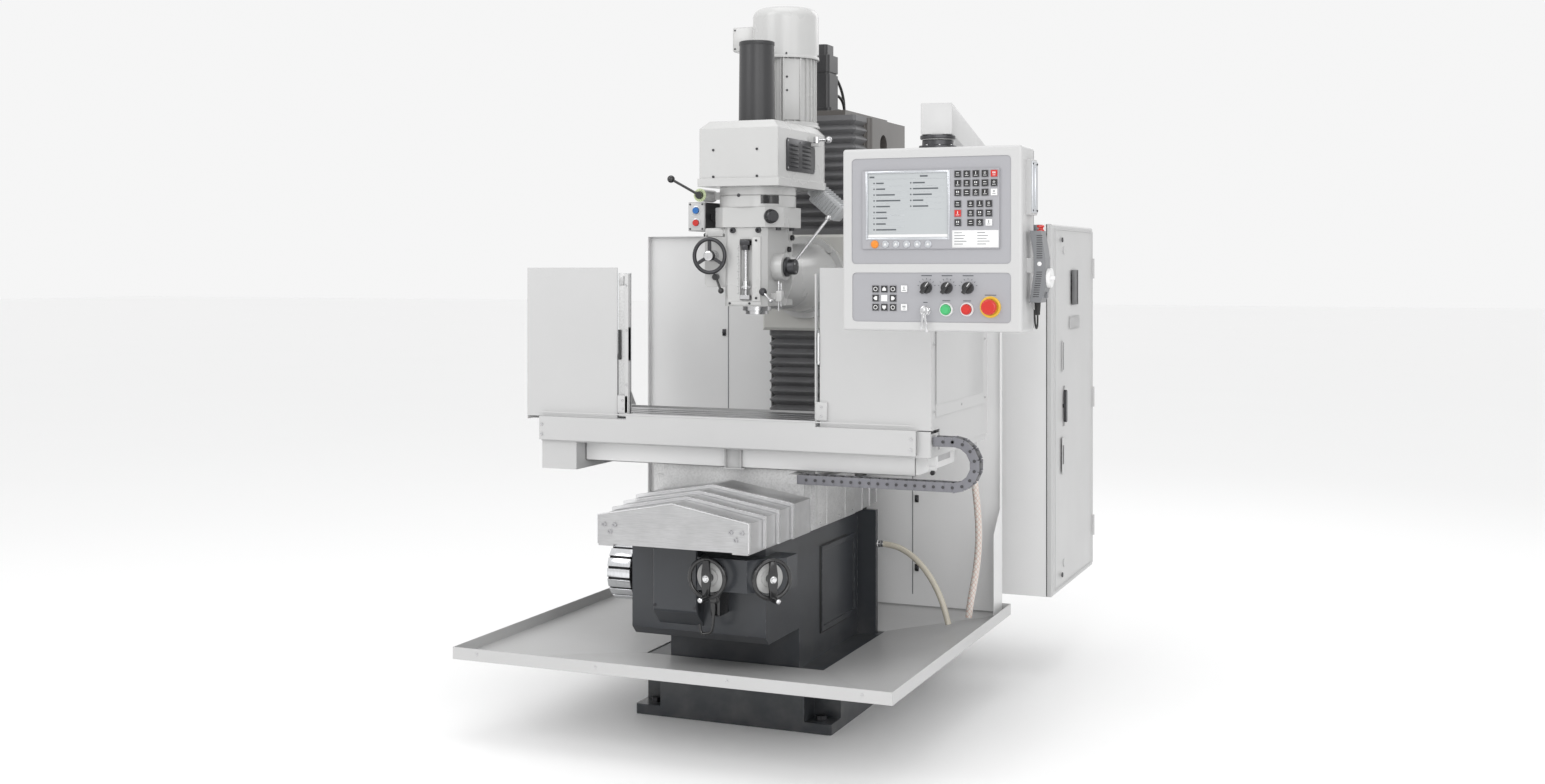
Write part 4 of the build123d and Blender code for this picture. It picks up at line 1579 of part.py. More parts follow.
# Handset cord: down out of the strain relief and back up into the boss on the case's side
HANDSET_ROUTE = [(1155.5, -777.0, 1369.2), (1155.3, -776.0, 1355.0), (1153.6, -771.0, 1342.0),
                 (1150.0, -762.0, 1334.0), (1145.6, -751.0, 1333.0), (1141.0, -741.0, 1340.0),
                 (1137.6, -734.0, 1352.0), (1136.2, -729.5, 1367.0),
                 (1136.0, -728.0, 1383.2)]
HANDSET_CORD_RADIUS = 2.6
with BuildPart() as handset_cord:
    cord(HANDSET_ROUTE, HANDSET_CORD_RADIUS, "handset_cord")
save(handset_cord, "handset_cord")
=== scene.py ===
import math

import bmesh
import bpy
from bpy.props import FloatProperty, FloatVectorProperty, PointerProperty
from mathutils import Matrix, Vector


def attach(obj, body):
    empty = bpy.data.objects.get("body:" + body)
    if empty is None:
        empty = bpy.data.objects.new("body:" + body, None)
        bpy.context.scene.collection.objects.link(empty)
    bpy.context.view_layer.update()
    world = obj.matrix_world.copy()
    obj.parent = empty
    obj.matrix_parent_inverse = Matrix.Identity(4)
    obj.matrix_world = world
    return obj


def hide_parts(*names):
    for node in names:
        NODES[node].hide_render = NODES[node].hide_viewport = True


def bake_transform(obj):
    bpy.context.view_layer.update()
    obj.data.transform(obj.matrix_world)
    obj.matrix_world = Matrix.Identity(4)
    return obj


bl_info = {
    "name": "Bed Mill Dressing",
    "version": (1, 0, 0),
    "blender": (4, 5, 0),
    "location": "View3D > Sidebar > Bed Mill",
    "description": "Finishes and fittings for the packed bed mill, with its studio stage",
    "category": "Object",
}

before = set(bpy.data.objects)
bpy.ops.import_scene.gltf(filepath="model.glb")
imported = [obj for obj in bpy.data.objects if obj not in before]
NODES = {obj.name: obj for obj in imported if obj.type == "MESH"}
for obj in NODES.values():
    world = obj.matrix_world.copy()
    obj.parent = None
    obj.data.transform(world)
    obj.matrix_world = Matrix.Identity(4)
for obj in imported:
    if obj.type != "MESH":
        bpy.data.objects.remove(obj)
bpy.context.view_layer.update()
MM = 0.001


# Node trees


class Wiring:
    """Adds nodes to a tree and joins or sets their sockets."""

    def __init__(self, tree):
        self.tree = tree

    def add(self, kind, inputs=None, **settings):
        made = self.tree.nodes.new(kind)
        for name, value in settings.items():
            setattr(made, name, value)
        for key, value in (inputs or {}).items():
            self.put(made.inputs[key], value)
        return made

    def put(self, socket, value):
        if isinstance(value, bpy.types.NodeSocket):
            self.tree.links.new(value, socket)
        else:
            socket.default_value = value

    def math(self, operation, first, second=0.0):
        return self.add("ShaderNodeMath", {0: first, 1: second}, operation=operation).outputs[0]

    def mix(self, factor, first, second):
        made = self.add("ShaderNodeMix", {0: factor, 6: first, 7: second}, data_type="RGBA")
        return made.outputs[2]

    def ramp(self, value, low, high, to_low=0.0, to_high=1.0):
        inputs = {"Value": value, "From Min": low, "From Max": high, "To Min": to_low, "To Max": to_high}
        return self.add("ShaderNodeMapRange", inputs).outputs["Result"]

    def noise(self, vector, scale, detail=3.0):
        inputs = {"Vector": vector, "Scale": scale, "Detail": detail}
        return self.add("ShaderNodeTexNoise", inputs).outputs[0]


def new_group(name, inputs, outputs, kind="ShaderNodeTree"):
    """An empty node group with named sockets: its wiring, its inputs and its output node."""
    tree = bpy.data.node_groups.new(name, kind)
    for label, socket_kind, default in inputs:
        socket = tree.interface.new_socket(label, in_out="INPUT", socket_type=socket_kind)
        if default is not None:
            socket.default_value = default
    for label, socket_kind in outputs:
        tree.interface.new_socket(label, in_out="OUTPUT", socket_type=socket_kind)
    wiring = Wiring(tree)
    return wiring, wiring.add("NodeGroupInput").outputs, wiring.add("NodeGroupOutput").inputs


NUMBER, COLOUR, VECTOR = "NodeSocketFloat", "NodeSocketColor", "NodeSocketVector"


def mottle_group():
    """Slow colour drift and fine orange peel, as sprayed enamel and powder coat have."""
    wiring, given, result = new_group(
        "Sprayed Mottle",
        [("Color", COLOUR, None), ("Shade", COLOUR, None), ("Patches per Metre", NUMBER, 3.0),
         ("Peel per Metre", NUMBER, 350.0), ("Roughness", NUMBER, 0.4), ("Spread", NUMBER, 0.08)],
        [("Color", COLOUR), ("Roughness", NUMBER), ("Height", NUMBER)],
    )
    place = wiring.add("ShaderNodeTexCoord").outputs["Object"]
    patches = wiring.noise(place, given["Patches per Metre"], 5.0)
    peel = wiring.noise(place, given["Peel per Metre"], 2.0)
    wiring.put(result["Color"], wiring.mix(wiring.ramp(patches, 0.35, 0.7), given["Color"], given["Shade"]))
    drift = wiring.math("MULTIPLY", wiring.math("SUBTRACT", patches, 0.5), given["Spread"])
    swing = wiring.math("MULTIPLY", drift, 2.0)
    wiring.put(result["Roughness"], wiring.math("ADD", given["Roughness"], swing))
    wiring.put(result["Height"], peel)
    return wiring.tree


def edge_wear_group():
    """A broken mask along the convex edges, and the softened edge's normal."""
    wiring, given, result = new_group(
        "Edge Wear",
        [("Width", NUMBER, 0.002), ("Break per Metre", NUMBER, 60.0)],
        [("Mask", NUMBER), ("Normal", VECTOR)],
    )
    place = wiring.add("ShaderNodeTexCoord").outputs["Object"]
    soft = wiring.add("ShaderNodeBevel", {"Radius": given["Width"]}, samples=4).outputs[0]
    flat = wiring.add("ShaderNodeNewGeometry").outputs["Normal"]
    turn = wiring.add("ShaderNodeVectorMath", {0: soft, 1: flat}, operation="DOT_PRODUCT").outputs["Value"]
    broken = wiring.ramp(wiring.noise(place, given["Break per Metre"], 4.0), 0.5, 0.62)
    edge = wiring.ramp(turn, 0.985, 0.9)
    wiring.put(result["Mask"], wiring.math("MULTIPLY", edge, broken))
    wiring.put(result["Normal"], soft)
    return wiring.tree


def dust_group():
    """Dust and old coolant that settles on what faces up and near the floor."""
    wiring, given, result = new_group(
        "Settled Dust",
        [("Reach", NUMBER, 0.5), ("Amount", NUMBER, 0.3)],
        [("Mask", NUMBER)],
    )
    place = wiring.add("ShaderNodeTexCoord").outputs["Object"]
    height = wiring.add("ShaderNodeSeparateXYZ", {0: place}).outputs["Z"]
    normal = wiring.add("ShaderNodeNewGeometry").outputs["Normal"]
    up = wiring.add("ShaderNodeSeparateXYZ", {0: normal}).outputs["Z"]
    low = wiring.ramp(height, given["Reach"], 0.0)
    shelf = wiring.ramp(up, 0.6, 1.0)
    patches = wiring.ramp(wiring.noise(place, 14.0, 6.0), 0.4, 0.75)
    laid = wiring.math("MAXIMUM", low, wiring.math("MULTIPLY", shelf, 0.6))
    settled = wiring.math("MULTIPLY", laid, patches)
    wiring.put(result["Mask"], wiring.math("MULTIPLY", settled, given["Amount"]))
    return wiring.tree


def streak_group():
    """Fine lines along one direction, as brushed and ground metal has."""
    wiring, given, result = new_group(
        "Brushed Streaks",
        [("Stretch", VECTOR, (1.0, 1.0, 1.0)), ("Lines per Metre", NUMBER, 900.0)],
        [("Lines", NUMBER), ("Clouds", NUMBER)],
    )
    place = wiring.add("ShaderNodeTexCoord").outputs["Object"]
    drawn = wiring.add("ShaderNodeVectorMath", {0: place, 1: given["Stretch"]},
                       operation="MULTIPLY").outputs[0]
    wiring.put(result["Lines"], wiring.noise(drawn, given["Lines per Metre"], 3.0))
    wiring.put(result["Clouds"], wiring.noise(place, 9.0, 6.0))
    return wiring.tree


GROUPS = {}


def shared(name):
    """One of the shared effects, built once."""
    makers = {"mottle": mottle_group, "wear": edge_wear_group, "dust": dust_group, "streaks": streak_group}
    if name not in GROUPS:
        GROUPS[name] = makers[name]()
    return GROUPS[name]


def place_group(wiring, name, inputs=None):
    """A shared effect placed in one material with its own values: its outputs."""
    made = wiring.add("ShaderNodeGroup", node_tree=shared(name))
    for key, value in (inputs or {}).items():
        wiring.put(made.inputs[key], value)
    return made.outputs


# Finishes

DUST_COLOUR = (0.42, 0.40, 0.36)
PEEL_DEPTH = 0.0006
LINE_DEPTH = 0.0004
BRAID_DEPTH = 0.0005
# How much lighter the sheet coat is made for sheets that sit in shade: painted light
PAINTED_LIGHT_LIFT = 1.45
FINISHES = {}


def rgba(colour, share=1.0):
    return tuple(channel * share for channel in colour[:3]) + (1.0,)


def blank_material(name):
    """A new material: itself, its wiring and its shader's inputs."""
    made = bpy.data.materials.new(name)
    made.use_nodes = True
    wiring = Wiring(made.node_tree)
    shader = made.node_tree.nodes["Principled BSDF"]
    return made, wiring, shader.inputs


def sprayed(name, colour, roughness, drift=0.9, peel=0.08, wear=None, dust=0.0, coat=0.0, edge=0.0015):
    """Paint or moulding: mottled colour, orange peel, softened edges, and wear or dust where given."""
    made, wiring, shader = blank_material(name)
    paint = place_group(wiring, "mottle", {"Color": rgba(colour), "Shade": rgba(colour, drift),
                                           "Roughness": roughness})
    edges = place_group(wiring, "wear", {"Width": edge})
    shown = paint["Color"]
    if wear is not None:
        shown = wiring.mix(edges["Mask"], shown, rgba(wear))
    if dust > 0:
        dirt = place_group(wiring, "dust", {"Amount": dust})
        shown = wiring.mix(dirt["Mask"], shown, rgba(DUST_COLOUR))
    wiring.put(shader["Base Color"], shown)
    wiring.put(shader["Roughness"], paint["Roughness"])
    bump = wiring.add("ShaderNodeBump", {"Strength": peel, "Distance": PEEL_DEPTH, "Height": paint["Height"],
                                         "Normal": edges["Normal"]})
    wiring.put(shader["Normal"], bump.outputs[0])
    shader["Coat Weight"].default_value = coat
    shader["Coat Roughness"].default_value = 0.15
    FINISHES[name] = made


def drawn_metal(name, colour, roughness, stretch, lines=900.0, bump=0.08, edge=0.001):
    """Bare metal with lines along one direction and cloudy handling marks."""
    made, wiring, shader = blank_material(name)
    streaks = place_group(wiring, "streaks", {"Stretch": stretch, "Lines per Metre": lines})
    edges = place_group(wiring, "wear", {"Width": edge})
    tone = wiring.mix(wiring.ramp(streaks["Clouds"], 0.3, 0.75), rgba(colour), rgba(colour, 0.8))
    wiring.put(shader["Base Color"], wiring.mix(wiring.ramp(streaks["Lines"], 0.4, 0.7, 0.0, 0.5), tone,
                                                rgba(colour, 0.62)))
    worn = wiring.ramp(streaks["Clouds"], 0.25, 0.8, roughness * 0.8, roughness * 1.25)
    wiring.put(shader["Roughness"], worn)
    lift = wiring.add("ShaderNodeBump", {"Strength": bump, "Distance": LINE_DEPTH, "Height": streaks["Lines"],
                                         "Normal": edges["Normal"]})
    wiring.put(shader["Normal"], lift.outputs[0])
    shader["Metallic"].default_value = 1.0
    FINISHES[name] = made


def clear_plastic(name, colour, roughness):
    """Clear sheet with faint wiping marks."""
    made, wiring, shader = blank_material(name)
    place = wiring.add("ShaderNodeTexCoord").outputs["Object"]
    marks = wiring.noise(place, 22.0, 8.0)
    wiring.put(shader["Roughness"], wiring.ramp(marks, 0.4, 0.8, roughness, roughness * 4))
    shader["Base Color"].default_value = rgba(colour)
    shader["Transmission Weight"].default_value = 1.0
    shader["IOR"].default_value = 1.15
    FINISHES[name] = made


def braided_hose(name, colour, thread, pitch):
    """A hose jacket with threads that cross under its skin."""
    made, wiring, shader = blank_material(name)
    place = wiring.add("ShaderNodeTexCoord").outputs["Object"]
    parts = wiring.add("ShaderNodeSeparateXYZ", {0: place}).outputs
    across = wiring.math("ADD", parts["X"], parts["Y"])
    masks = []
    for lean in (1.0, -1.0):
        slope = wiring.math("ADD", parts["Z"], wiring.math("MULTIPLY", across, lean))
        wave = wiring.math("SINE", wiring.math("MULTIPLY", slope, math.tau / pitch))
        masks.append(wiring.ramp(wave, 0.75, 0.98))
    braid = wiring.math("MAXIMUM", *masks)
    wiring.put(shader["Base Color"], wiring.mix(braid, rgba(colour), rgba(thread)))
    wiring.put(shader["Roughness"], wiring.ramp(braid, 0.0, 1.0, 0.22, 0.42))
    lift = wiring.add("ShaderNodeBump", {"Strength": 0.25, "Distance": BRAID_DEPTH, "Height": braid})
    wiring.put(shader["Normal"], lift.outputs[0])
    shader["Coat Weight"].default_value = 0.4
    FINISHES[name] = made


def make_finishes(colours):
    """Every finish of the machine."""
    slate, brown, white = colours.slate, colours.brown, colours.white
    sheet, tray, cream = colours.sheet, colours.tray, colours.cream
    sprayed("slate_enamel", slate, 0.34, 0.75, 0.12, wear=(0.22, 0.23, 0.24), dust=0.1, coat=0.25)
    sprayed("brown_enamel", brown, 0.38, 0.75, 0.12, wear=(0.32, 0.31, 0.3), coat=0.2)
    sprayed("head_enamel", white, 0.28, 0.95, 0.07, wear=(0.6, 0.6, 0.58), coat=0.35, edge=0.003)
    sprayed("cream_enamel", cream, 0.32, 0.92, 0.08, coat=0.25, edge=0.003)
    sprayed("white_coat", sheet, 0.36, 0.97, 0.05, edge=0.0012)
    # The sheet coat made lighter for the splash sheets, cabinet shell and pan skirt, which sit in shade:
    # painted light
    sprayed("painted_light_sheet_coat", [min(1.0, PAINTED_LIGHT_LIFT * part) for part in sheet], 0.4, 0.97, 0.05, edge=0.0012)
    sprayed("tray_coat", tray, 0.34, 0.95, 0.05, dust=0.12, edge=0.002)
    drawn_metal("cover_steel", (0.58, 0.58, 0.585), 0.42, (0.03, 1.0, 1.0))
    # A lighter copy of the cover steel: painted highlights along the covers' lips and the saddle's seams
    drawn_metal("painted_highlight_steel", (0.86, 0.86, 0.87), 0.2, (0.03, 1.0, 1.0))
    drawn_metal("ground_iron", (0.52, 0.52, 0.53), 0.33, (0.02, 1.0, 1.0))
    drawn_metal("turned_steel", (0.72, 0.72, 0.73), 0.2, (0.05, 0.05, 1.0), 1500.0, 0.05)
    drawn_metal("polished_steel", (0.78, 0.78, 0.79), 0.1, (1.0, 1.0, 0.05), 400.0, 0.02)
    drawn_metal("dark_steel", (0.09, 0.09, 0.095), 0.36, (1.0, 1.0, 0.1), 700.0, 0.06)
    sprayed("motor_black", (0.034, 0.034, 0.036), 0.36, 0.8, 0.1, wear=(0.12, 0.12, 0.12))
    sprayed("black_plastic", (0.02, 0.02, 0.021), 0.42, 0.8, 0.15)
    sprayed("gloss_black", (0.012, 0.012, 0.013), 0.16, 0.85, 0.03, coat=0.5)
    sprayed("chain_plastic", (0.19, 0.19, 0.21), 0.34, 0.7, 0.12)
    sprayed("bellows_cloth", (0.16, 0.16, 0.165), 0.46, 0.7, 0.3)
    sprayed("cable_jacket", (0.02, 0.02, 0.02), 0.5, 0.8, 0.12)
    clear_plastic("clear_sheet", (0.95, 0.97, 0.98), 0.03)
    braided_hose("clear_hose", (0.66, 0.63, 0.59), (0.54, 0.36, 0.30), 0.018)
    braided_hose("beige_hose", (0.62, 0.58, 0.49), (0.52, 0.48, 0.39), 0.012)
    sprayed("panel_film", colours.panel, 0.4, 0.96, 0.06)
    sprayed("blue_plastic", (0.01, 0.14, 0.45), 0.22, 0.85, 0.02, coat=0.4)
    sprayed("red_plastic", (0.56, 0.016, 0.01), 0.25, 0.85, 0.02, coat=0.4)
    sprayed("green_plastic", (0.06, 0.46, 0.16), 0.25, 0.85, 0.02, coat=0.4)
    sprayed("orange_plastic", (0.85, 0.27, 0.02), 0.3, 0.85, 0.02)
    sprayed("yellow_plastic", (0.72, 0.44, 0.03), 0.32, 0.9, 0.02)
    sprayed("white_plastic", (0.78, 0.78, 0.78), 0.3, 0.96, 0.03)
    sprayed("grey_plastic", (0.20, 0.205, 0.215), 0.42, 0.85, 0.15)
    sprayed("screen_grey", (0.44, 0.46, 0.47), 0.2, 0.97, 0.01)
    sprayed("screen_dark", (0.10, 0.11, 0.12), 0.25, 0.95, 0.01)
    drawn_metal("zinc_sheet", (0.66, 0.66, 0.66), 0.45, (1.0, 1.0, 1.0), 160.0, 0.05)
    drawn_metal("chain_steel", (0.82, 0.83, 0.85), 0.16, (1.0, 0.05, 0.05))
    sprayed("chain_side", (0.05, 0.05, 0.053), 0.42, 0.7, 0.12)
    sprayed("dial_green", (0.52, 0.60, 0.36), 0.3, 0.9, 0.02)
    sprayed("grey_casting", (0.52, 0.53, 0.54), 0.38, 0.85, 0.12)
    drawn_metal("bezel_silver", (0.70, 0.72, 0.75), 0.3, (0.05, 1.0, 1.0))


NODE_FINISHES = {
    "slate_enamel": ("bed_base", "front_motor_cover"),
    "zinc_sheet": ("saddle",),
    "brown_enamel": ("column",),
    "head_enamel": ("head_body", "gear_housing", "belt_housing", "spindle_motor"),
    "cream_enamel": ("z_carriage",),
    # The lighter copy of the sheet coat: painted light over the shade these sheets sit in
    "painted_light_sheet_coat": ("cabinet_shell", "rear_splash_left", "rear_splash_right"),
    "white_coat": ("cabinet_door", "arm_post", "coolant_pan", "front_fascia", "left_wing",
                   "right_wing", "pendant_arm", "pendant_case"),
    "tray_coat": ("chip_tray",),
    "cover_steel": ("way_cover_front", "way_cover_second", "way_cover_third", "way_cover_rear"),
    "ground_iron": ("table",),
    "turned_steel": ("quill", "spindle", "brake_lever", "quill_lever", "depth_stop"),
    "dark_steel": ("levelling_bolts", "feed_handwheel", "door_handle"),
    "motor_black": ("z_motor", "drawbar_cover", "button_box"),
    "chain_plastic": ("x_chain", "y_chain"),
    "gloss_black": ("feed_lever", "range_lever", "y_handwheel", "x_handwheel"),
    "bellows_cloth": ("upper_bellows", "lower_bellows"),
    "cable_jacket": ("z_motor_power_cable", "z_motor_encoder_cable", "handset_cord"),
    "clear_sheet": ("left_door", "right_door"),
    "clear_hose": ("drain_hose",),
    "beige_hose": ("return_hose",),
    "panel_film": ("control_panel",),
    "blue_plastic": ("blue_button",),
    "red_plastic": ("red_button", "stop_button", "estop_button"),
    "green_plastic": ("start_button",),
    "grey_plastic": ("handset",),
    "white_plastic": ("handset_dial",),
}


# Pieces


def add_piece(name, mesh, finish, body, smooth=True):
    """Links a finished mesh as a piece that rides on a body."""
    piece = bpy.data.objects.new(name, mesh)
    bpy.context.scene.collection.objects.link(piece)
    if finish is not None:
        mesh.materials.clear()
        mesh.materials.append(FINISHES[finish])
    if smooth and isinstance(mesh, bpy.types.Mesh):
        mesh.shade_smooth()
        mesh.set_sharp_from_angle(angle=math.radians(35))
    if body is not None:
        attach(piece, body)
    return piece


# Cords: control points in millimetres, as the solids' routes have them

CORDS = (
    # name, node, body, radius, length in metres, far end, finish, slot, lay, route
    ("power_cable", "z_motor_power_cable", "base", 5.5, 0.145, "object", "cable_jacket", "cable_black",
     "loose", ((24.0, 671.8, 2148.0), (24.5, 700.0, 2150.0), (26.0, 733.0, 2148.0), (29.0, 761.0, 2135.0),
      (31.0, 778.0, 2111.0), (31.5, 781.0, 2085.8))),
    ("encoder_cable", "z_motor_encoder_cable", "base", 5.5, 0.28, "object", "cable_jacket", "cable_black",
     "loose", ((-18.0, 671.8, 2242.0), (-17.0, 710.0, 2246.0), (-14.0, 760.0, 2242.0), (-9.0, 806.0, 2222.0),
      (-4.0, 840.0, 2188.0), (-1.0, 858.0, 2150.0), (0.0, 863.0, 2118.0), (0.0, 864.0, 2085.8))),
    ("drain_hose_run", "drain_hose", "table", 12.0, 0.58, "bare", "clear_hose", "clear_hose", "hanging",
     ((680.0, 275.0, 883.2), (680.5, 276.0, 835.0), (684.0, 279.0, 778.0), (690.0, 284.0, 715.0),
      (695.0, 289.0, 648.0), (696.0, 293.0, 580.0), (692.0, 295.0, 515.0), (684.0, 294.0, 452.0),
      (674.0, 291.0, 395.0), (666.0, 288.0, 345.0), (662.0, 287.0, 306.0))),
    ("return_hose_run", "return_hose", "base", 10.8, 0.38, "bare", "beige_hose", "beige_hose", "hanging",
     ((318.8, 383.0, 520.0), (350.0, 382.0, 519.0), (395.0, 378.0, 508.0), (440.0, 370.0, 484.0),
      (482.0, 360.0, 448.0), (518.0, 350.0, 404.0), (546.0, 341.0, 356.0), (566.0, 334.0, 308.0),
      (578.0, 330.0, 266.0))),
    ("handset_lead", "handset_cord", "pendant", 2.6, 0.11, "object", "cable_jacket", "cable_black", "hanging",
     ((1155.5, -777.0, 1369.2), (1155.3, -776.0, 1355.0), (1153.6, -771.0, 1342.0), (1150.0, -762.0, 1334.0),
      (1145.6, -751.0, 1333.0), (1141.0, -741.0, 1340.0), (1137.6, -734.0, 1352.0), (1136.2, -729.5, 1367.0),
      (1136.0, -728.0, 1383.2))),
)


def lay_cord(name, node, body, radius, length, far_end, finish, slot, lay, route):
    """One cable or hose as a smooth curve along its route, in place of its node."""
    curve = bpy.data.curves.new(name, "CURVE")
    curve.dimensions = "3D"
    spline = curve.splines.new("NURBS")
    spline.points.add(len(route) - 1)
    for point, place in zip(spline.points, route):
        point.co = (*(Vector(place) * MM), 1.0)
    spline.order_u = 3
    spline.use_endpoint_u = True
    spline.resolution_u = 8
    curve.bevel_depth = radius * MM
    curve.bevel_resolution = 4
    curve.use_fill_caps = True
    curve.materials.append(FINISHES[finish])
    piece = add_piece(name, curve, None, body)
    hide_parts(node)


# Mesh tools: sizes in millimetres, in the machine's own frame


class Solids:
    """Collects small solids into one mesh."""

    def __init__(self):
        self.bm = bmesh.new()

    def _soften(self, verts, width, keep=None):
        edges = {edge for vert in verts for edge in vert.link_edges if keep is None or keep(edge)}
        if width > 0:
            bmesh.ops.bevel(self.bm, geom=list(edges), offset=width, segments=2, profile=0.5, affect="EDGES")

    def skin(self, rings):
        """Faces between closed rings of as many points each, with both ends shut."""
        faces = []
        for low, high in zip(rings, rings[1:]):
            for k in range(len(low)):
                j = (k + 1) % len(low)
                faces.append(self.bm.faces.new((low[k], low[j], high[j], high[k])))
        faces += [self.bm.faces.new(rings[0][::-1]), self.bm.faces.new(rings[-1])]
        bmesh.ops.recalc_face_normals(self.bm, faces=faces)

    def block(self, x, y, z, soft=0.6, turn=None):
        """A block between pairs of X, Y and Z, with softened edges, turned about its middle."""
        middle = Vector([(pair[0] + pair[1]) / 2 for pair in (x, y, z)])
        size = [abs(pair[1] - pair[0]) for pair in (x, y, z)]
        spot = Matrix.Translation(middle) @ (turn.to_4x4() if turn else Matrix.Identity(4))
        made = bmesh.ops.create_cube(self.bm, size=1.0, matrix=spot @ Matrix.Diagonal((*size, 1.0)))
        self._soften(made["verts"], min(soft, min(size) * 0.3))

    def rod(self, start, direction, length, radius, end_radius=None, sides=24, soft=0.5):
        """A round bar or cone from a start along a direction, with softened rims."""
        direction = Vector(direction).normalized()
        spot = Matrix.Translation(Vector(start) + direction * length / 2)
        spot = spot @ direction.to_track_quat("Z", "Y").to_matrix().to_4x4()
        end_radius = radius if end_radius is None else end_radius
        made = bmesh.ops.create_cone(self.bm, cap_ends=True, segments=sides, radius1=radius,
                                     radius2=end_radius, depth=length, matrix=spot)
        rim = min(soft, length * 0.3, min(radius, end_radius) * 0.3)
        self._soften(made["verts"], rim,
                     lambda edge: any(len(face.verts) == sides for face in edge.link_faces))

    def lathe(self, start, direction, outline, sides=32):
        """A turned shape: pairs of radius and distance along a direction; a radius of 0 closes it."""
        direction = Vector(direction).normalized()
        turn = direction.to_track_quat("Z", "Y").to_matrix()
        rings = []
        for radius, along in outline:
            middle = Vector(start) + direction * along
            if radius <= 0:
                rings.append([self.bm.verts.new(middle)])
                continue
            angles = [math.tau * i / sides for i in range(sides)]
            rings.append([self.bm.verts.new(middle + turn @ Vector((math.cos(a), math.sin(a), 0)) * radius)
                          for a in angles])
        faces = []
        for low, high in zip(rings, rings[1:]):
            for i in range(sides):
                j = (i + 1) % sides
                corners = [low[i % len(low)], low[j % len(low)], high[j % len(high)], high[i % len(high)]]
                faces.append(self.bm.faces.new(list(dict.fromkeys(corners))))
        for ring, flip in ((rings[0], True), (rings[-1], False)):
            if len(ring) > 1:
                faces.append(self.bm.faces.new(ring[::-1] if flip else ring))
        bmesh.ops.recalc_face_normals(self.bm, faces=faces)

    def plate(self, corners, thickness, soft=0.4):
        """A flat outline of 3D corners, carried along a thickness vector."""
        low = [self.bm.verts.new(Vector(corner)) for corner in corners]
        base = self.bm.faces.new(low)
        made = bmesh.ops.extrude_face_region(self.bm, geom=[base])["geom"]
        high = [item for item in made if isinstance(item, bmesh.types.BMVert)]
        bmesh.ops.translate(self.bm, verts=high, vec=Vector(thickness))
        faces = {face for vert in low + high for face in vert.link_faces}
        bmesh.ops.recalc_face_normals(self.bm, faces=list(faces))
        self._soften(low + high, min(soft, Vector(thickness).length * 0.3))

    def ball(self, place, radius):
        spot = Matrix.Translation(Vector(place))
        bmesh.ops.create_uvsphere(self.bm, u_segments=24, v_segments=14, radius=radius, matrix=spot)

    def tube(self, route, radius, sides=12):
        """A bent bar along a short route of points, with mitred corners and closed ends."""
        route = [Vector(point) for point in route]
        rings = []
        side = None
        for i, point in enumerate(route):
            ahead = (route[min(i + 1, len(route) - 1)] - route[max(i - 1, 0)]).normalized()
            side = (side - ahead * side.dot(ahead)).normalized() if side else ahead.orthogonal().normalized()
            up = ahead.cross(side)
            rings.append([self.bm.verts.new(point + (side * math.cos(a) + up * math.sin(a)) * radius)
                          for a in (math.tau * k / sides for k in range(sides))])
        self.skin(rings)

    def arc_plate(self, centre, radius, thickness, start, end, low, high, steps=10):
        """A plate wrapped on an upright cylinder, between two angles from the front."""
        rows = []
        for i in range(steps + 1):
            angle = start + (end - start) * i / steps
            aim = Vector((math.sin(angle), -math.cos(angle), 0))
            middle = Vector((*centre, 0))
            rows.append([self.bm.verts.new(middle + aim * reach + Vector((0, 0, z)))
                         for reach, z in ((radius - 0.5, low), (radius + thickness, low),
                                          (radius + thickness, high), (radius - 0.5, high))])
        self.skin(rows)

    def band(self, outer, inner, near, far):
        """A strip between two open outlines of X and Z corners, from one Y to another."""
        rows = [[self.bm.verts.new((x, y, z)) for (x, z), y in ((a, near), (a, far), (b, far), (b, near))]
                for a, b in zip(outer, inner)]
        self.skin(rows)

    def piece(self, name, finish, body, slot, smooth=True):
        """Ends the collection as one piece of the scene."""
        bmesh.ops.scale(self.bm, vec=(MM, MM, MM), verts=self.bm.verts)
        mesh = bpy.data.meshes.new(name)
        self.bm.to_mesh(mesh)
        self.bm.free()
        return add_piece(name, mesh, finish, body, smooth)


def blocks(name, finish, body, slot, *rows):
    """One piece of blocks: each row is its X, Y and Z pairs and how soft its edges are."""
    made = Solids()
    for row in rows:
        made.block(*row)
    return made.piece(name, finish, body, slot)


def turned(name, finish, body, slot, start, direction, outline, sides=32):
    """One piece that is a single turned shape."""
    made = Solids()
    made.lathe(start, direction, outline, sides)
    return made.piece(name, finish, body, slot)


def circle(first, second, count):
    """Directions all round, from the first of two square ones towards the second."""
    angles = [math.tau * i / count for i in range(count)]
    return [first * math.cos(a) + second * math.sin(a) for a in angles]


def bent(corners, steps=5, share=0.35):
    """A route with its corners rounded by short curves, for a rigid bent bar."""
    corners = [Vector(corner) for corner in corners]
    route = [corners[0]]
    for before, corner, after in zip(corners, corners[1:], corners[2:]):
        first, last = corner.lerp(before, share), corner.lerp(after, share)
        for i in range(steps + 1):
            t = i / steps
            route.append(first.lerp(corner, t).lerp(corner.lerp(last, t), t))
    return route + [corners[-1]]


# Geometry Nodes: what repeats

GEOMETRY = "NodeSocketGeometry"
TREES = {}


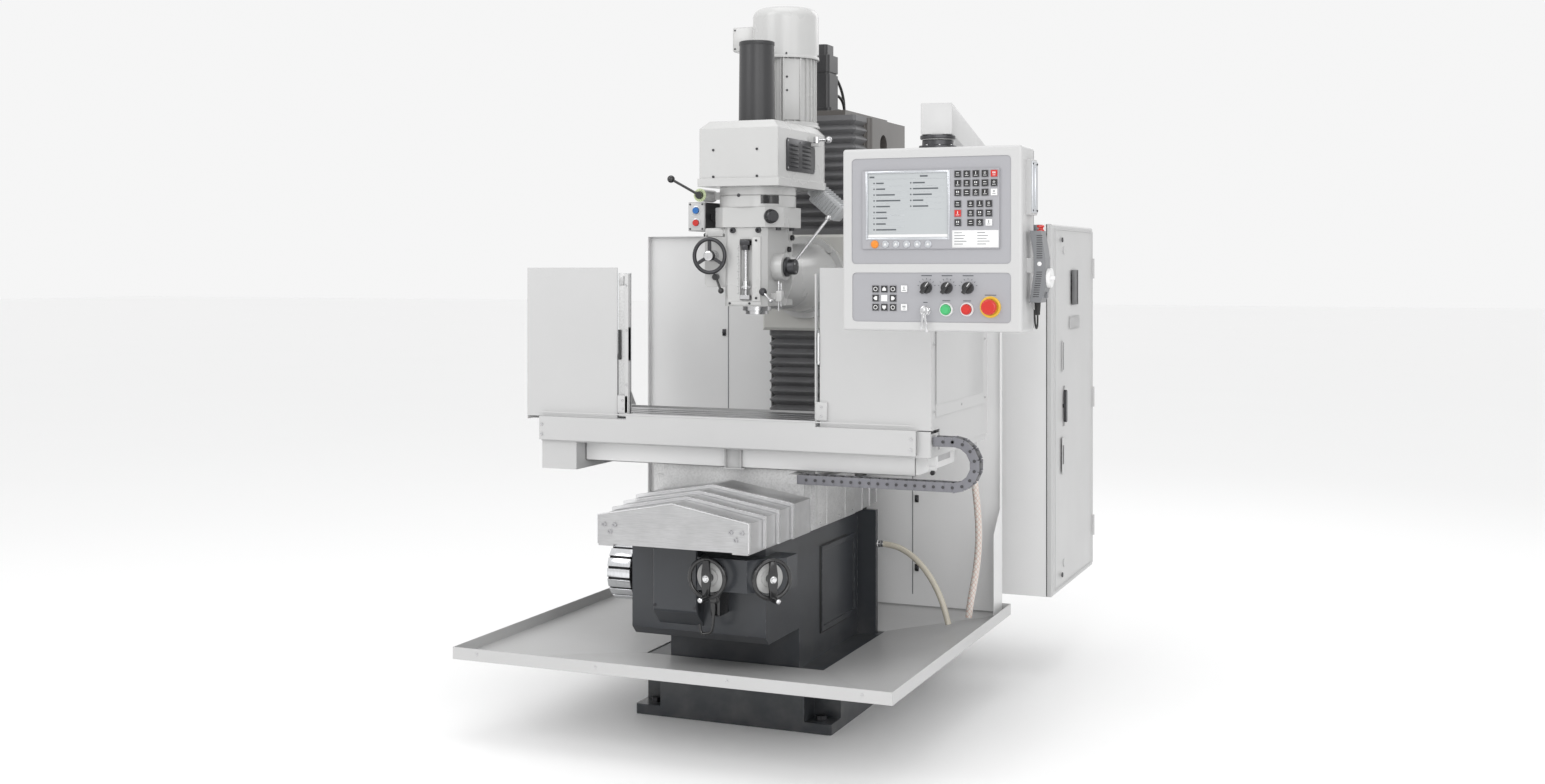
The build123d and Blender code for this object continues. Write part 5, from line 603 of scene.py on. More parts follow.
def screw_tree():
    """Socket-head screws at points: each faces along the point's own direction and has its own size."""
    wiring, given, result = new_group(
        "Screw Heads",
        [("Points", GEOMETRY, None), ("Height Share", NUMBER, 0.6), ("Socket Share", NUMBER, 0.5),
         ("Finish", "NodeSocketMaterial", None)],
        [("Geometry", GEOMETRY)], "GeometryNodeTree",
    )
    disc = wiring.add("GeometryNodeMeshCircle", {"Vertices": 18, "Radius": 1.0}, fill_type="NGON").outputs[0]
    lift = wiring.add("ShaderNodeCombineXYZ", {"Z": given["Height Share"]}).outputs[0]
    head = wiring.add("GeometryNodeExtrudeMesh", {"Mesh": disc, "Offset": lift, "Individual": False})
    rim = wiring.add("GeometryNodeExtrudeMesh", {"Mesh": head.outputs[0], "Selection": head.outputs[1],
                                                 "Offset Scale": 0.0, "Individual": False})
    inset = wiring.add("GeometryNodeScaleElements", {"Geometry": rim.outputs[0], "Selection": rim.outputs[1],
                                                     "Scale": given["Socket Share"]})
    sink = wiring.add("ShaderNodeCombineXYZ",
                      {"Z": wiring.math("MULTIPLY", given["Height Share"], -0.7)}).outputs[0]
    socket = wiring.add("GeometryNodeExtrudeMesh", {"Mesh": inset.outputs[0], "Selection": rim.outputs[1],
                                                    "Offset": sink, "Individual": False}).outputs[0]
    end_spread(wiring, given, result, socket)
    return wiring.tree


def bar_tree():
    """Small blocks at points, such as keys, louvres, scale marks and ribs; the top may be drawn in."""
    wiring, given, result = new_group(
        "Bars",
        [("Points", GEOMETRY, None), ("Top Share", NUMBER, 1.0), ("Finish", "NodeSocketMaterial", None)],
        [("Geometry", GEOMETRY)], "GeometryNodeTree",
    )
    cube = wiring.add("GeometryNodeMeshCube", {"Size": (1.0, 1.0, 1.0)}).outputs[0]
    place = wiring.add("GeometryNodeInputPosition").outputs[0]
    height = wiring.add("ShaderNodeSeparateXYZ", {0: place}).outputs["Z"]
    share = wiring.ramp(height, -0.5, 0.5, 1.0, given["Top Share"])
    drawn = wiring.add("ShaderNodeCombineXYZ", {"X": share, "Y": share, "Z": 1.0}).outputs[0]
    shaped = wiring.add("ShaderNodeVectorMath", {0: place, 1: drawn}, operation="MULTIPLY").outputs[0]
    raised = wiring.add("ShaderNodeVectorMath", {0: shaped, 1: (0.0, 0.0, 0.5)}, operation="ADD").outputs[0]
    bar = wiring.add("GeometryNodeSetPosition", {"Geometry": cube, "Position": raised}).outputs[0]
    end_spread(wiring, given, result, bar)
    return wiring.tree


def end_spread(wiring, given, result, shape):
    """Puts a shape at every point by the point's facing, along and size, as real geometry with its finish."""
    def stored(name):
        made = wiring.add("GeometryNodeInputNamedAttribute", {"Name": name}, data_type="FLOAT_VECTOR")
        return made.outputs["Attribute"]

    turn = wiring.add("FunctionNodeAxesToRotation", {"Primary Axis": stored("facing"),
                                                     "Secondary Axis": stored("along")},
                      primary_axis="Z", secondary_axis="X").outputs[0]
    inputs = {"Points": given["Points"], "Instance": shape, "Rotation": turn, "Scale": stored("size")}
    placed = wiring.add("GeometryNodeInstanceOnPoints", inputs).outputs[0]
    real = wiring.add("GeometryNodeRealizeInstances", {"Geometry": placed}).outputs[0]
    finished = wiring.add("GeometryNodeSetMaterial", {"Geometry": real, "Material": given["Finish"]})
    wiring.put(result["Geometry"], finished.outputs[0])


def spread(kind, name, spots, finish, body, slot, **sizes):
    """One piece of repeated shapes: spots are place, facing, along and size, in millimetres."""
    if kind not in TREES:
        TREES[kind] = {"screws": screw_tree, "bars": bar_tree}[kind]()
    tree = TREES[kind]
    points = bpy.data.meshes.new(name + "_points")
    points.from_pydata([Vector(spot[0]) * MM for spot in spots], [], [])
    for column, label in ((1, "facing"), (2, "along"), (3, "size")):
        stored = points.attributes.new(label, "FLOAT_VECTOR", "POINT")
        scale = MM if label == "size" else 1.0
        for item, spot in zip(stored.data, spots):
            item.vector = Vector(spot[column]) * scale
    carrier = bpy.data.objects.new(name + "_points", points)
    bpy.context.scene.collection.objects.link(carrier)
    modifier = carrier.modifiers.new("Spread", "NODES")
    modifier.node_group = tree
    sockets = {item.name: item.identifier for item in tree.interface.items_tree
               if item.item_type == "SOCKET" and item.in_out == "INPUT"}
    modifier[sockets["Finish"]] = FINISHES[finish]
    for label, value in sizes.items():
        modifier[sockets[label.replace("_", " ").title()]] = value
    graph = bpy.context.evaluated_depsgraph_get()
    mesh = bpy.data.meshes.new_from_object(carrier.evaluated_get(graph))
    bpy.data.objects.remove(carrier)
    mesh.name = name
    return add_piece(name, mesh, finish, body)


FRONT, BACK, UP, DOWN = (0, -1, 0), (0, 1, 0), (0, 0, 1), (0, 0, -1)
RIGHT, LEFT = (1, 0, 0), (-1, 0, 0)
BRIGHT = ("bright_steel", "turned_steel")    # slot and finish of bright screws


def screws(name, spots, radius, body, slot="dark_steel", finish="dark_steel", height=0.6):
    """Screw heads: spots are place and facing."""
    rows = [(place, facing, UP if abs(facing[2]) < 0.5 else RIGHT, (radius,) * 3) for place, facing in spots]
    return spread("screws", name, rows, finish, body, slot, height_share=height)


# Control pendant and its arm

PANEL_FACE = -844.0
DISPLAY_FACE = -849.0
KEY_PITCH = 25.2
KEY_SIDE = 19.6
KEY_RISE = 3.1
JOG_KEYS = (718.0, 1439.0)
PRINT = 0.25    # thickness of printed marks
SUNK = 0.1      # depth that a mark or a collar goes into its face
KEY_BANKS = (
    # first key's X and Z, columns, rows, face, odd-coloured keys by column and row
    (954.0, 1751.0, 5, 3, DISPLAY_FACE, {(4, 0): "red", (4, 2): "white"}),
    (954.0, 1670.0, 1, 3, DISPLAY_FACE, {(0, 1): "red"}),
    (990.0, 1670.0, 3, 3, DISPLAY_FACE, {(2, 2): "white"}),
    (*JOG_KEYS, 3, 3, PANEL_FACE, {(1, 1): "white"}),
    (800.5, 1440.0, 1, 1, PANEL_FACE, {(0, 0): "white"}),
    (800.5, 1389.0, 1, 1, PANEL_FACE, {(0, 0): "white"}),
)
KEY_FINISHES = {"black": ("gloss_black", "black_plastic"), "red": ("red_plastic", "button_red"),
                "white": ("white_plastic", "dial_white")}
GLYPHS = (
    # bars on a key: across, up, width, height
    ((0, 3, 8, 2), (0, -3, 10, 1.4)),
    ((0, 2, 2, 8), (0, -4.5, 10, 1.4)),
    ((-2.5, 2, 3, 5), (2.5, 2, 3, 5), (0, -4.5, 8, 1.4)),
    ((0, 2, 7, 2), (0, 2, 2, 7), (0, -4.5, 10, 1.4)),
    ((0, 3.5, 6, 1.6), (0, 0.5, 6, 1.6), (0, -4.5, 9, 1.4)),
)


def lay_keys():
    """Key caps of every bank by colour, with plain strokes in place of their legends."""
    caps = {colour: [] for colour in KEY_FINISHES}
    marks = {"white": [], "dark": []}
    count = 0
    for first_x, first_z, columns, rows, face, odd in KEY_BANKS:
        for column in range(columns):
            for row in range(rows):
                x, z = first_x + column * KEY_PITCH, first_z - row * KEY_PITCH
                colour = odd.get((column, row), "black")
                caps[colour].append(((x, face, z), FRONT, RIGHT, (KEY_SIDE, KEY_SIDE, KEY_RISE)))
                arrow = face == PANEL_FACE and columns == 3
                for across, up, width, height in () if arrow else GLYPHS[count % len(GLYPHS)]:
                    spot = (x + across, face - KEY_RISE + SUNK, z + up)
                    rows_of_marks = marks["dark" if colour == "white" else "white"]
                    rows_of_marks.append((spot, FRONT, RIGHT, (width, height, PRINT)))
                count += 1
    for colour, spots in caps.items():
        finish, slot = KEY_FINISHES[colour]
        spread("bars", colour + "_keys", spots, finish, "pendant", slot, top_share=0.9)
    spread("bars", "key_marks", marks["white"], "white_plastic", "pendant", "dial_white")
    spread("bars", "white_key_marks", marks["dark"], "screen_dark", "pendant", "panel_grey")
    lay_arrow_marks()


def lay_arrow_marks():
    """Arrow and ring marks on the jog keys."""
    arrows = Solids()
    (first_x, first_z), y = JOG_KEYS, PANEL_FACE - KEY_RISE + SUNK
    for column in range(3):
        for row in range(3):
            x, z = first_x + column * KEY_PITCH, first_z - row * KEY_PITCH
            if column == 1 and row == 1:
                continue
            if column != 1 and row != 1:
                arrows.lathe((x, y, z), FRONT, ((6.0, 0.0), (6.0, PRINT), (4.0, PRINT), (4.0, 0.0)), 20)
                continue
            aim = Vector((column - 1, 0, 1 - row))
            side = Vector((aim.z, 0, -aim.x))
            middle = Vector((x, y, z))
            outline = ((6.5, 0), (1.0, 5.5), (-5.0, 5.5), (-5.0, -5.5), (1.0, -5.5))
            arrows.plate([middle + aim * a + side * b for a, b in outline], Vector(FRONT) * PRINT, soft=0)
    arrows.piece("jog_marks", "white_plastic", "pendant", "dial_white")


SCREEN_X, SCREEN_Z = (696.0, 925.0), (1580.0, 1757.0)
SCREEN_FACE = DISPLAY_FACE + 2.4
SCREEN_GLASS = 0.6
SCREEN_FRAME = 6.0
SCREEN_LISTS = (
    # start from the left, length of the lines between, widths of the rows
    (10.0, 96.0, (22, 26, 54, 70, 40, 30, 32, 28, 58)),
    (116.0, 100.0, (34, 72, 54, 30, 44)),
)
SOFT_KEYS_X, SOFT_KEYS_Z = (717.0, 870.0), 1562.0


def make_screen():
    """Glass and frame, with plain strokes in place of the rows on the screen and on the card beside it."""
    left, right, bottom, top = *SCREEN_X, *SCREEN_Z
    face = SCREEN_FACE - SCREEN_GLASS
    blocks("screen", "screen_grey", "pendant", "panel_grey",
           (SCREEN_X, (SCREEN_FACE, face), SCREEN_Z, 0),
           *((SCREEN_X, (SCREEN_FACE, SCREEN_FACE - 1.4), (z - 1.5, z + 1.5), 0.4) for z in SCREEN_Z))
    depth = (DISPLAY_FACE - 1.6, DISPLAY_FACE + 2.0)
    upright = (bottom - SCREEN_FRAME, top + SCREEN_FRAME)
    blocks("screen_frame", "bezel_silver", "pendant", "panel_grey",
           ((left - SCREEN_FRAME, left), depth, upright, 1.0),
           ((right, right + SCREEN_FRAME), depth, upright, 1.0),
           (SCREEN_X, depth, (top, top + SCREEN_FRAME), 1.0),
           (SCREEN_X, depth, (bottom - SCREEN_FRAME, bottom), 1.0))
    words, lines = [], []

    def row(rows, x, z, width, height):
        rows.append(((x + width / 2, face, z), FRONT, RIGHT, (width, height, 0.15)))

    for start, line, widths in SCREEN_LISTS:
        for i, width in enumerate(widths):
            z = top - 27.0 - i * 16.0
            row(words, left + start + 6.0, z, 4.0, 4.0)
            row(words, left + start + 14.0, z, width, 4.0)
            row(lines, left + start, z - 8.0, line, 0.7)
    row(words, left + 150.0, top - 9.0, 22.0, 4.5)
    row(words, left + 5.0, top - 10.0, 14.0, 4.5)
    row(lines, left, top - 16.0, right - left, 1.2)
    spread("bars", "screen_rows", words, "screen_dark", "pendant", "panel_grey")
    spread("bars", "screen_lines", lines, "bezel_silver", "pendant", "panel_grey")
    blocks("screen_band", "white_plastic", "pendant", "dial_white",
           (SCREEN_X, (face, face - 0.2), (bottom, bottom + 9.0), 0),
           ((938.0, 1067.0), (DISPLAY_FACE, DISPLAY_FACE - 0.5), (1552.0, 1599.0), 0.2))
    card = [((x + w / 2, DISPLAY_FACE - 0.5, 1592.0 - 7.6 * i), FRONT, RIGHT, (w, 1.6, 0.1))
            for x in (944.0, 1008.0) for i, w in enumerate((22, 30, 26, 34, 24))]
    spread("bars", "card_rows", card, "screen_dark", "pendant", "panel_grey")


def make_soft_keys():
    """The orange knob and the row of round keys under the screen."""
    first, last = SOFT_KEYS_X
    turned("menu_knob", "orange_plastic", "pendant", "button_red", (first, DISPLAY_FACE, SOFT_KEYS_Z), FRONT,
           ((11.0, 0), (11.0, 2.5), (9.0, 5.0), (5.0, 6.4), (0, 6.8)))
    keys, marks = Solids(), Solids()
    rise = 3.2
    for i in range(1, 6):
        x = first + (last - first) * i / 5
        keys.lathe((x, DISPLAY_FACE, SOFT_KEYS_Z), FRONT, ((9.8, 0), (9.8, 2.4), (8.8, rise), (0, rise)), 24)
        corners = [(x + a, DISPLAY_FACE - rise, SOFT_KEYS_Z + b)
                   for a, b in ((-5, -3.5), (5, -3.5), (0, 4.5))]
        marks.plate(corners, Vector(FRONT) * PRINT, soft=0)
    keys.piece("soft_keys", "bezel_silver", "pendant", "panel_grey")
    marks.piece("soft_key_marks", "white_plastic", "pendant", "dial_white")


SELECTORS_X, SELECTOR_Z = (864.0, 922.0, 981.0), 1443.0
SELECTOR_LEAN = math.radians(35)
CAPTIONS = (
    # X, Z and width
    (861.0, 1403.0, 12.0), (920.0, 1408.0, 22.0), (978.0, 1408.0, 22.0), (1043.0, 1424.0, 32.0),
)
PANEL_BUTTONS = (
    # name, X, Z, finish, slot
    ("start", 920.0, 1384.0, "green_plastic", "button_green"),
    ("stop", 978.0, 1385.0, "red_plastic", "button_red"),
)
LENS_FACE = -856.9
KEY_SWITCH = (861.0, 1380.0)
HANDSET_X, HANDSET_Y, HANDSET_FACE = 1167.5, -777.0, -806.0


def make_selectors():
    """The three rotary selectors with their pointers, ticks and blank captions."""
    knobs, lines, ticks = Solids(), Solids(), []
    lean = Matrix.Rotation(SELECTOR_LEAN, 3, "Y")
    for x in SELECTORS_X:
        knobs.lathe((x, PANEL_FACE, SELECTOR_Z), FRONT, ((16.5, 0), (16.5, 6), (15.0, 10.6), (0, 10.6)), 28)
        knobs.block((x - 5.2, x + 5.2), (PANEL_FACE - 22.6, PANEL_FACE - 8),
                    (SELECTOR_Z - 18, SELECTOR_Z + 18), soft=1.6, turn=lean)
        tip = Vector((x, PANEL_FACE - 22.7, SELECTOR_Z)) + lean @ Vector((0, 0, 11))
        lines.block((tip.x - 1, tip.x + 1), (tip.y - 0.3, tip.y), (tip.z - 6.5, tip.z + 6.5), 0, lean)
        for i in range(7):
            angle = math.radians(-75 + 25 * i)
            aim = Vector((math.sin(angle), 0, math.cos(angle)))
            spot = Vector((x, PANEL_FACE, SELECTOR_Z)) + aim * 24.5
            ticks.append((spot, FRONT, aim.cross(Vector(FRONT)), (1.4, 4.5, 0.2)))
        ticks.append(((x, PANEL_FACE, SELECTOR_Z + 33.0), FRONT, RIGHT, (30.0, 2.6, 0.2)))
    for x, z, width in CAPTIONS:
        ticks.append(((x, PANEL_FACE, z), FRONT, RIGHT, (width, 2.2, 0.2)))
    knobs.piece("selector_knobs", "gloss_black", "pendant", "black_plastic")
    lines.piece("selector_lines", "white_plastic", "pendant", "dial_white")
    spread("bars", "panel_marks", ticks, "screen_dark", "pendant", "panel_grey")


def make_panel_rings():
    """Rings round the start and stop buttons, their lenses, and the emergency stop's plate."""
    rings = Solids()
    for _, x, z, *_ in PANEL_BUTTONS:
        rings.lathe((x, PANEL_FACE, z), FRONT,
                    ((19.0, 0), (19.0, 2.2), (17.6, 6.2), (14.8, 6.2), (14.8, 0)), 36)
    rings.piece("button_rings", "white_plastic", "pendant", "dial_white")
    turned("stop_ring", "yellow_plastic", "pendant", "dial_white", (1043.0, PANEL_FACE, 1392.0), FRONT,
           ((29.0, 0), (29.0, 2.2), (27.5, 3.2), (22.4, 3.2), (22.0, 2.05), (9.0, 2.05), (9.0, 0)), 40)
    for name, x, z, finish, slot in PANEL_BUTTONS:
        turned(name + "_lens", finish, name + "_button", slot, (x, LENS_FACE, z), FRONT,
               ((10.5, 0), (10.0, 0.9), (6.0, 1.3), (0, 1.4)), 28)


def make_key_switch():
    """The key switch with its key and a second key that hangs beside it."""
    barrel = Solids()
    x, z = KEY_SWITCH
    barrel.lathe((x, PANEL_FACE, z), FRONT,
                 ((14.5, 0), (14.5, 2), (12.6, 3), (12.6, 12.6), (10.5, 13.4), (0, 13.4)))
    barrel.block((x - 1.2, x + 1.2), (-866.0, -857.0), (z - 9, z + 9), soft=0.5)
    for lean, length, shift in ((6, 44, -1.5), (-9, 52, 1.6)):
        turn = Matrix.Rotation(math.radians(lean), 3, "Y")
        middle = Vector((x + shift, -862.5 + shift * 0.6, z - 6)) + turn @ Vector((0, 0, -length / 2))
        barrel.block((middle.x - 3.2, middle.x + 3.2), (middle.y - 0.8, middle.y + 0.8),
                     (middle.z - length / 2, middle.z + length / 2), soft=0.3, turn=turn)
    barrel.piece("key_switch", "polished_steel", "pendant", "bright_steel")


ARM_POST = Vector((504.0, 964.0, 0.0))
ARM_TIP = Vector((876.0, -778.0, 0.0))
ARM_LEVELS = (1863.0, 1949.0)
ARM_HALF = 43.0


def make_arm():
    """The square tube of the arm with its flat end, the bush on the post and the collar over the swivel."""
    run = (ARM_TIP - ARM_POST).normalized()
    far = ARM_TIP + run * ARM_HALF
    middle, reach = (ARM_POST + far) / 2, (far - ARM_POST).length / 2
    tube = Solids()
    tube.block((middle.x - reach, middle.x + reach), (middle.y - ARM_HALF, middle.y + ARM_HALF), ARM_LEVELS,
               soft=3.0, turn=Matrix.Rotation(math.atan2(run.y, run.x), 3, "Z"))
    rise = ARM_LEVELS[1] - ARM_LEVELS[0]
    tube.lathe((ARM_POST.x, ARM_POST.y, ARM_LEVELS[0]), UP,
               ((50.0, 0), (52.0, 2), (52.0, rise - 3), (49.0, rise - 0.2)), 48)
    tube.lathe((ARM_TIP.x, ARM_TIP.y, 1850.0), UP, ((44.0, 0), (44.0, 13.5)), 48)
    piece = tube.piece("arm_tube", "white_coat", "arm", "sheet_white")
    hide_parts("pendant_arm")


def make_swivel():
    """Dark rings of the swivel between the arm's end and the case, with the flange's bolts."""
    place = (ARM_TIP.x, ARM_TIP.y)
    turned("swivel_ring", "dark_steel", "arm", "dark_steel", (*place, 1851.5), UP,
           ((46.0, 0), (48.5, 1.5), (48.5, 9), (47.0, 10.8)), 40)
    turned("swivel_flange", "dark_steel", "pendant", "dark_steel", (*place, 1826.2), UP,
           ((52.0, 0), (52.0, 6), (50.5, 7.5), (43.0, 8.5), (43.0, 21), (41.5, 22.5)), 40)
    spots = [((ARM_TIP.x + 47.0 * math.cos(a), ARM_TIP.y + 47.0 * math.sin(a), 1833.4), UP)
             for a in (math.tau * (i + 0.5) / 8 for i in range(8))]
    screws("swivel_bolts", spots, 3.2, "pendant", *BRIGHT)


def make_pendant_side():
    """The port hatch on the case's right side and the seam behind its front."""
    blocks("port_hatch", "bezel_silver", "pendant", "panel_grey",
           ((1143.0, 1147.0), (-797.0, -738.0), (1645.0, 1785.0), 1.2),
           ((1146.5, 1149.0), (-770.0, -764.0), (1658.0, 1772.0), 1.0))
    spots = [((1147.0, y, z), RIGHT) for y in (-791.0, -744.0) for z in (1652.0, 1778.0)]
    screws("hatch_screws", spots, 2.6, "pendant")
    seam = (-718.0, -716.0)
    blocks("case_seam", "grey_plastic", "pendant", "handset_grey",
           *((x, seam, (1333.0, 1817.0), 0.3) for x in ((620.4, 622.0), (1129.0, 1130.6))),
           *(((620.4, 1130.6), seam, z, 0.3) for z in ((1333.0, 1335.0), (1815.0, 1817.0))))


def dress_handset():
    """Stop cap, strain relief, enabling button and grip ribs of the handset."""
    turned("handset_stop", "red_plastic", "pendant", "button_red", (1161.5, HANDSET_Y, 1597.0), UP,
           ((12.2, -0.5), (12.2, 3.0), (9.5, 4.0), (9.5, 8.0), (12.4, 10.0), (12.0, 14.5), (8.0, 16.6),
            (0, 17.0)), 28)
    outline = [(8.6 - 0.1 * i + (0.5 if i % 2 else -0.3), 1.5 * i) for i in range(23)]
    turned("handset_relief", "cable_jacket", "pendant", "cable_black", (1155.5, HANDSET_Y, 1404.0), DOWN,
           outline + [(3.0, 34.4)], 20)
    turned("handset_button", "white_plastic", "pendant", "dial_white",
           (HANDSET_X, HANDSET_FACE, 1508.0), FRONT, ((6.0, 0), (6.0, 1.2), (4.5, 2.0), (0, 2.2)), 20)
    levels = [1420.0 + 6.0 * i for i in range(12)] + [1524.0 + 6.0 * i for i in range(11)]
    ribs = [((HANDSET_X - max(0.0, (1490.0 - z) * 0.14), HANDSET_FACE, z), FRONT, RIGHT, (16.0, 1.6, 0.7))
            for z in levels]
    spread("bars", "handset_ribs", ribs, "black_plastic", "pendant", "handset_grey", top_share=0.8)


# Head fittings

HOUSING_FACE = -105.0
POCKET_FLOOR = -93.0
STOP_AXIS = (5.0, HOUSING_FACE)
BELT_SIDE = 142.0
BELT_TOP = 1987
MOTOR_PLACE = (0.0, 262.0)
SIDE_PLATE_TURN = 0.58
SIDE_PLATE_Z = 2118
OCTAGON_KNOB = (91, -98, 1668)
RANGE_DIAL = (-162, 1742)
PINION = (-20, 1500)
FEED_WHEEL = (-119, 1537)
BUTTON_PLATE = -66.5
BUTTONS_X, BUTTONS_Z = -196, (1692.0, 1650.0)
TILT_PLACE = (150, 300, 1722)
TILT_HALF = (62, 38, 32)
TILT_LEAN = math.radians(40)


def dress_belt_housing():
    """Cover screws, the vent plate with its louvres, and the rims of the drawbar cover."""
    spots = [((x, -156.0, z), FRONT) for x in (-91.0, 67.0) for z in (1800.0, 1889.0)]
    screws("belt_cover_screws", spots, 4.2, "head")
    plate = Solids()
    corners = ((-80, 1820), (165, 1820), (175, 1830), (175, 1905), (160, 1930), (-76, 1930), (-86, 1920),
               (-86, 1826))
    plate.plate([(BELT_SIDE, y, z) for y, z in corners], Vector(RIGHT) * 3.0, soft=0.8)
    plate.piece("vent_plate", "dark_steel", "head", "dark_steel")
    louvres = [((BELT_SIDE + 2.5, y, 1838.0 + 14.0 * i), RIGHT, BACK, (86.0, 8.0, 6.0))
               for y in (-22.0, 96.0) for i in range(6)]
    spread("bars", "vent_louvres", louvres, "dark_steel", "head", "dark_steel", top_share=0.55)
    spots = [((BELT_SIDE + 3.0, y, z), RIGHT)
             for y, z in ((-76, 1830), (-76, 1920), (165, 1832), (156, 1922), (37, 1922))]
    screws("vent_screws", spots, 3.6, "head", *BRIGHT)
    rim = Solids()
    rim.lathe((0, 0, BELT_TOP), UP, ((68.5, 0), (68.5, 5), (66.6, 7.5), (60, 7.5), (60, 0)), 48)
    rim.lathe((0, 0, 2250), UP, ((59.6, 0), (60.6, 1.5), (60.6, 12), (59.0, 13.5), (52, 13.5), (52, 0)), 48)
    rim.piece("drawbar_rims", "motor_black", "head", "motor_black")
    aims = [(math.sin(a), -math.cos(a)) for a in (0.35, 1.6, -1.1)]
    screws("drawbar_screws", [((65.4 * x, 65.4 * y, 1992.0), (x, y, 0)) for x, y in aims], 3.4, "head")


def dress_spindle_motor():
    """Bands and screws of the cowl, the flat plate on the motor's side and the terminal box's lid."""
    x, y = MOTOR_PLACE
    bands = Solids()
    bands.lathe((x, y, 2229), UP,
                ((117.9, 0), (118.4, 1.5), (118.4, 8), (117.4, 10), (110, 10), (110, 0)), 64)
    bands.lathe((x, y, BELT_TOP), UP, ((121, 0), (121, 6), (118.5, 9), (108, 9), (108, 0)), 64)
    bands.piece("motor_bands", "head_enamel", "head", "head_white")
    around = [(x + 117.0 * math.sin(a), y - 117.0 * math.cos(a)) for a in (-0.9, 0.4, 1.7, 3.0, 4.3)]
    spots = [((px, py, 2243.0), (px - x, py - y, 0)) for px, py in around]
    screws("cowl_screws", spots, 3.6, "head")
    flat = Solids()
    turn = Matrix.Rotation(SIDE_PLATE_TURN, 3, "Z")
    middle = Vector((x, y, SIDE_PLATE_Z)) + turn @ Vector((0, -107, 0))
    flat.block((middle.x - 30, middle.x + 30), (middle.y - 3, middle.y + 3), (2012, 2226), 1.2, turn)
    for edge in (-30, 30):
        rib = middle + turn @ Vector((edge, -2, 0))
        flat.block((rib.x - 2.5, rib.x + 2.5), (rib.y - 4, rib.y + 4), (2008, 2228), 1.2, turn)
    flat.piece("motor_side_plate", "head_enamel", "head", "head_white")
    facing = turn @ Vector(FRONT)
    spots = [(middle + turn @ Vector((-18, -3, z - SIDE_PLATE_Z)), facing) for z in (2115.0, 2162.0)]
    screws("motor_plate_screws", spots, 4.0, "head")
    lid = Solids()
    lid.block((-188, -184), (222, 302), (2269, 2349), soft=1.5)
    lid.block((-184, -96), (218.5, 221), (2268, 2350), soft=1.0)
    lid.lathe((-140, 262, 2266), DOWN, ((15, 0), (15, 8), (11, 10), (11, 20), (7, 22), (0, 22)), 20)
    lid.piece("terminal_lid", "head_enamel", "head", "head_white")
    spots = [((x, 218.5, z), FRONT) for x in (-178, -104) for z in (2276.0, 2342.0)]
    screws("terminal_screws", spots, 3.2, "head")


def dress_neck():
    """Blank nameplate, knob and range dial on the neck and the octagon, and the clamp nuts below."""
    plate = Solids()
    plate.arc_plate((0, 10), 130.0, 1.4, math.radians(27), math.radians(55), 1711.0, 1739.0)
    plate.piece("blank_nameplate", "gloss_black", "head", "black_plastic")
    knob = Solids()
    knob.lathe(OCTAGON_KNOB, (1, -1, 0), ((24, 0), (24, 4), (21, 5), (21, 22), (18, 26), (0, 27)), 36)
    knob.lathe((-15, -119, 1739), FRONT, ((6, 0), (6, 2), (3, 3), (0, 3)), 18)
    knob.piece("octagon_knob", "dark_steel", "head", "dark_steel")
    along, side = Vector((1, -1, 0)).normalized(), Vector((1, 1, 0)).normalized()
    grips = []
    for out in circle(side, Vector(UP), 24):
        grips.append((Vector(OCTAGON_KNOB) + along * 14 + out * 20.6, out, along, (14, 2.4, 1.6)))
    spread("bars", "octagon_knob_grip", grips, "dark_steel", "head", "dark_steel", top_share=0.6)
    nuts = [((-41, HOUSING_FACE, 1622), FRONT), ((52, HOUSING_FACE, 1622), FRONT), ((100, -50, 1632), DOWN),
            ((100, 70, 1632), DOWN), ((78, 90, 1560), RIGHT), ((78, 118, 1600), RIGHT)]
    screws("clamp_nuts", nuts, 9.5, "head", height=1.0)
    dial_x, dial_z = RANGE_DIAL
    turned("range_dial", "dial_green", "head", "dial_white", (dial_x, -108, dial_z), FRONT,
           ((22.5, 0), (22.5, 3), (20.8, 4), (13.2, 4), (13.2, 0)), 36)
    ticks = []
    for i in range(16):
        a = math.tau * i / 16
        aim = Vector((math.sin(a), 0, math.cos(a)))
        spot = Vector((dial_x, -111.9, dial_z)) + aim * 17.5
        ticks.append((spot, FRONT, aim.cross(Vector(FRONT)), (1.2, 4.0, 0.18)))
    spread("bars", "range_marks", ticks, "screen_dark", "head", "black_plastic")


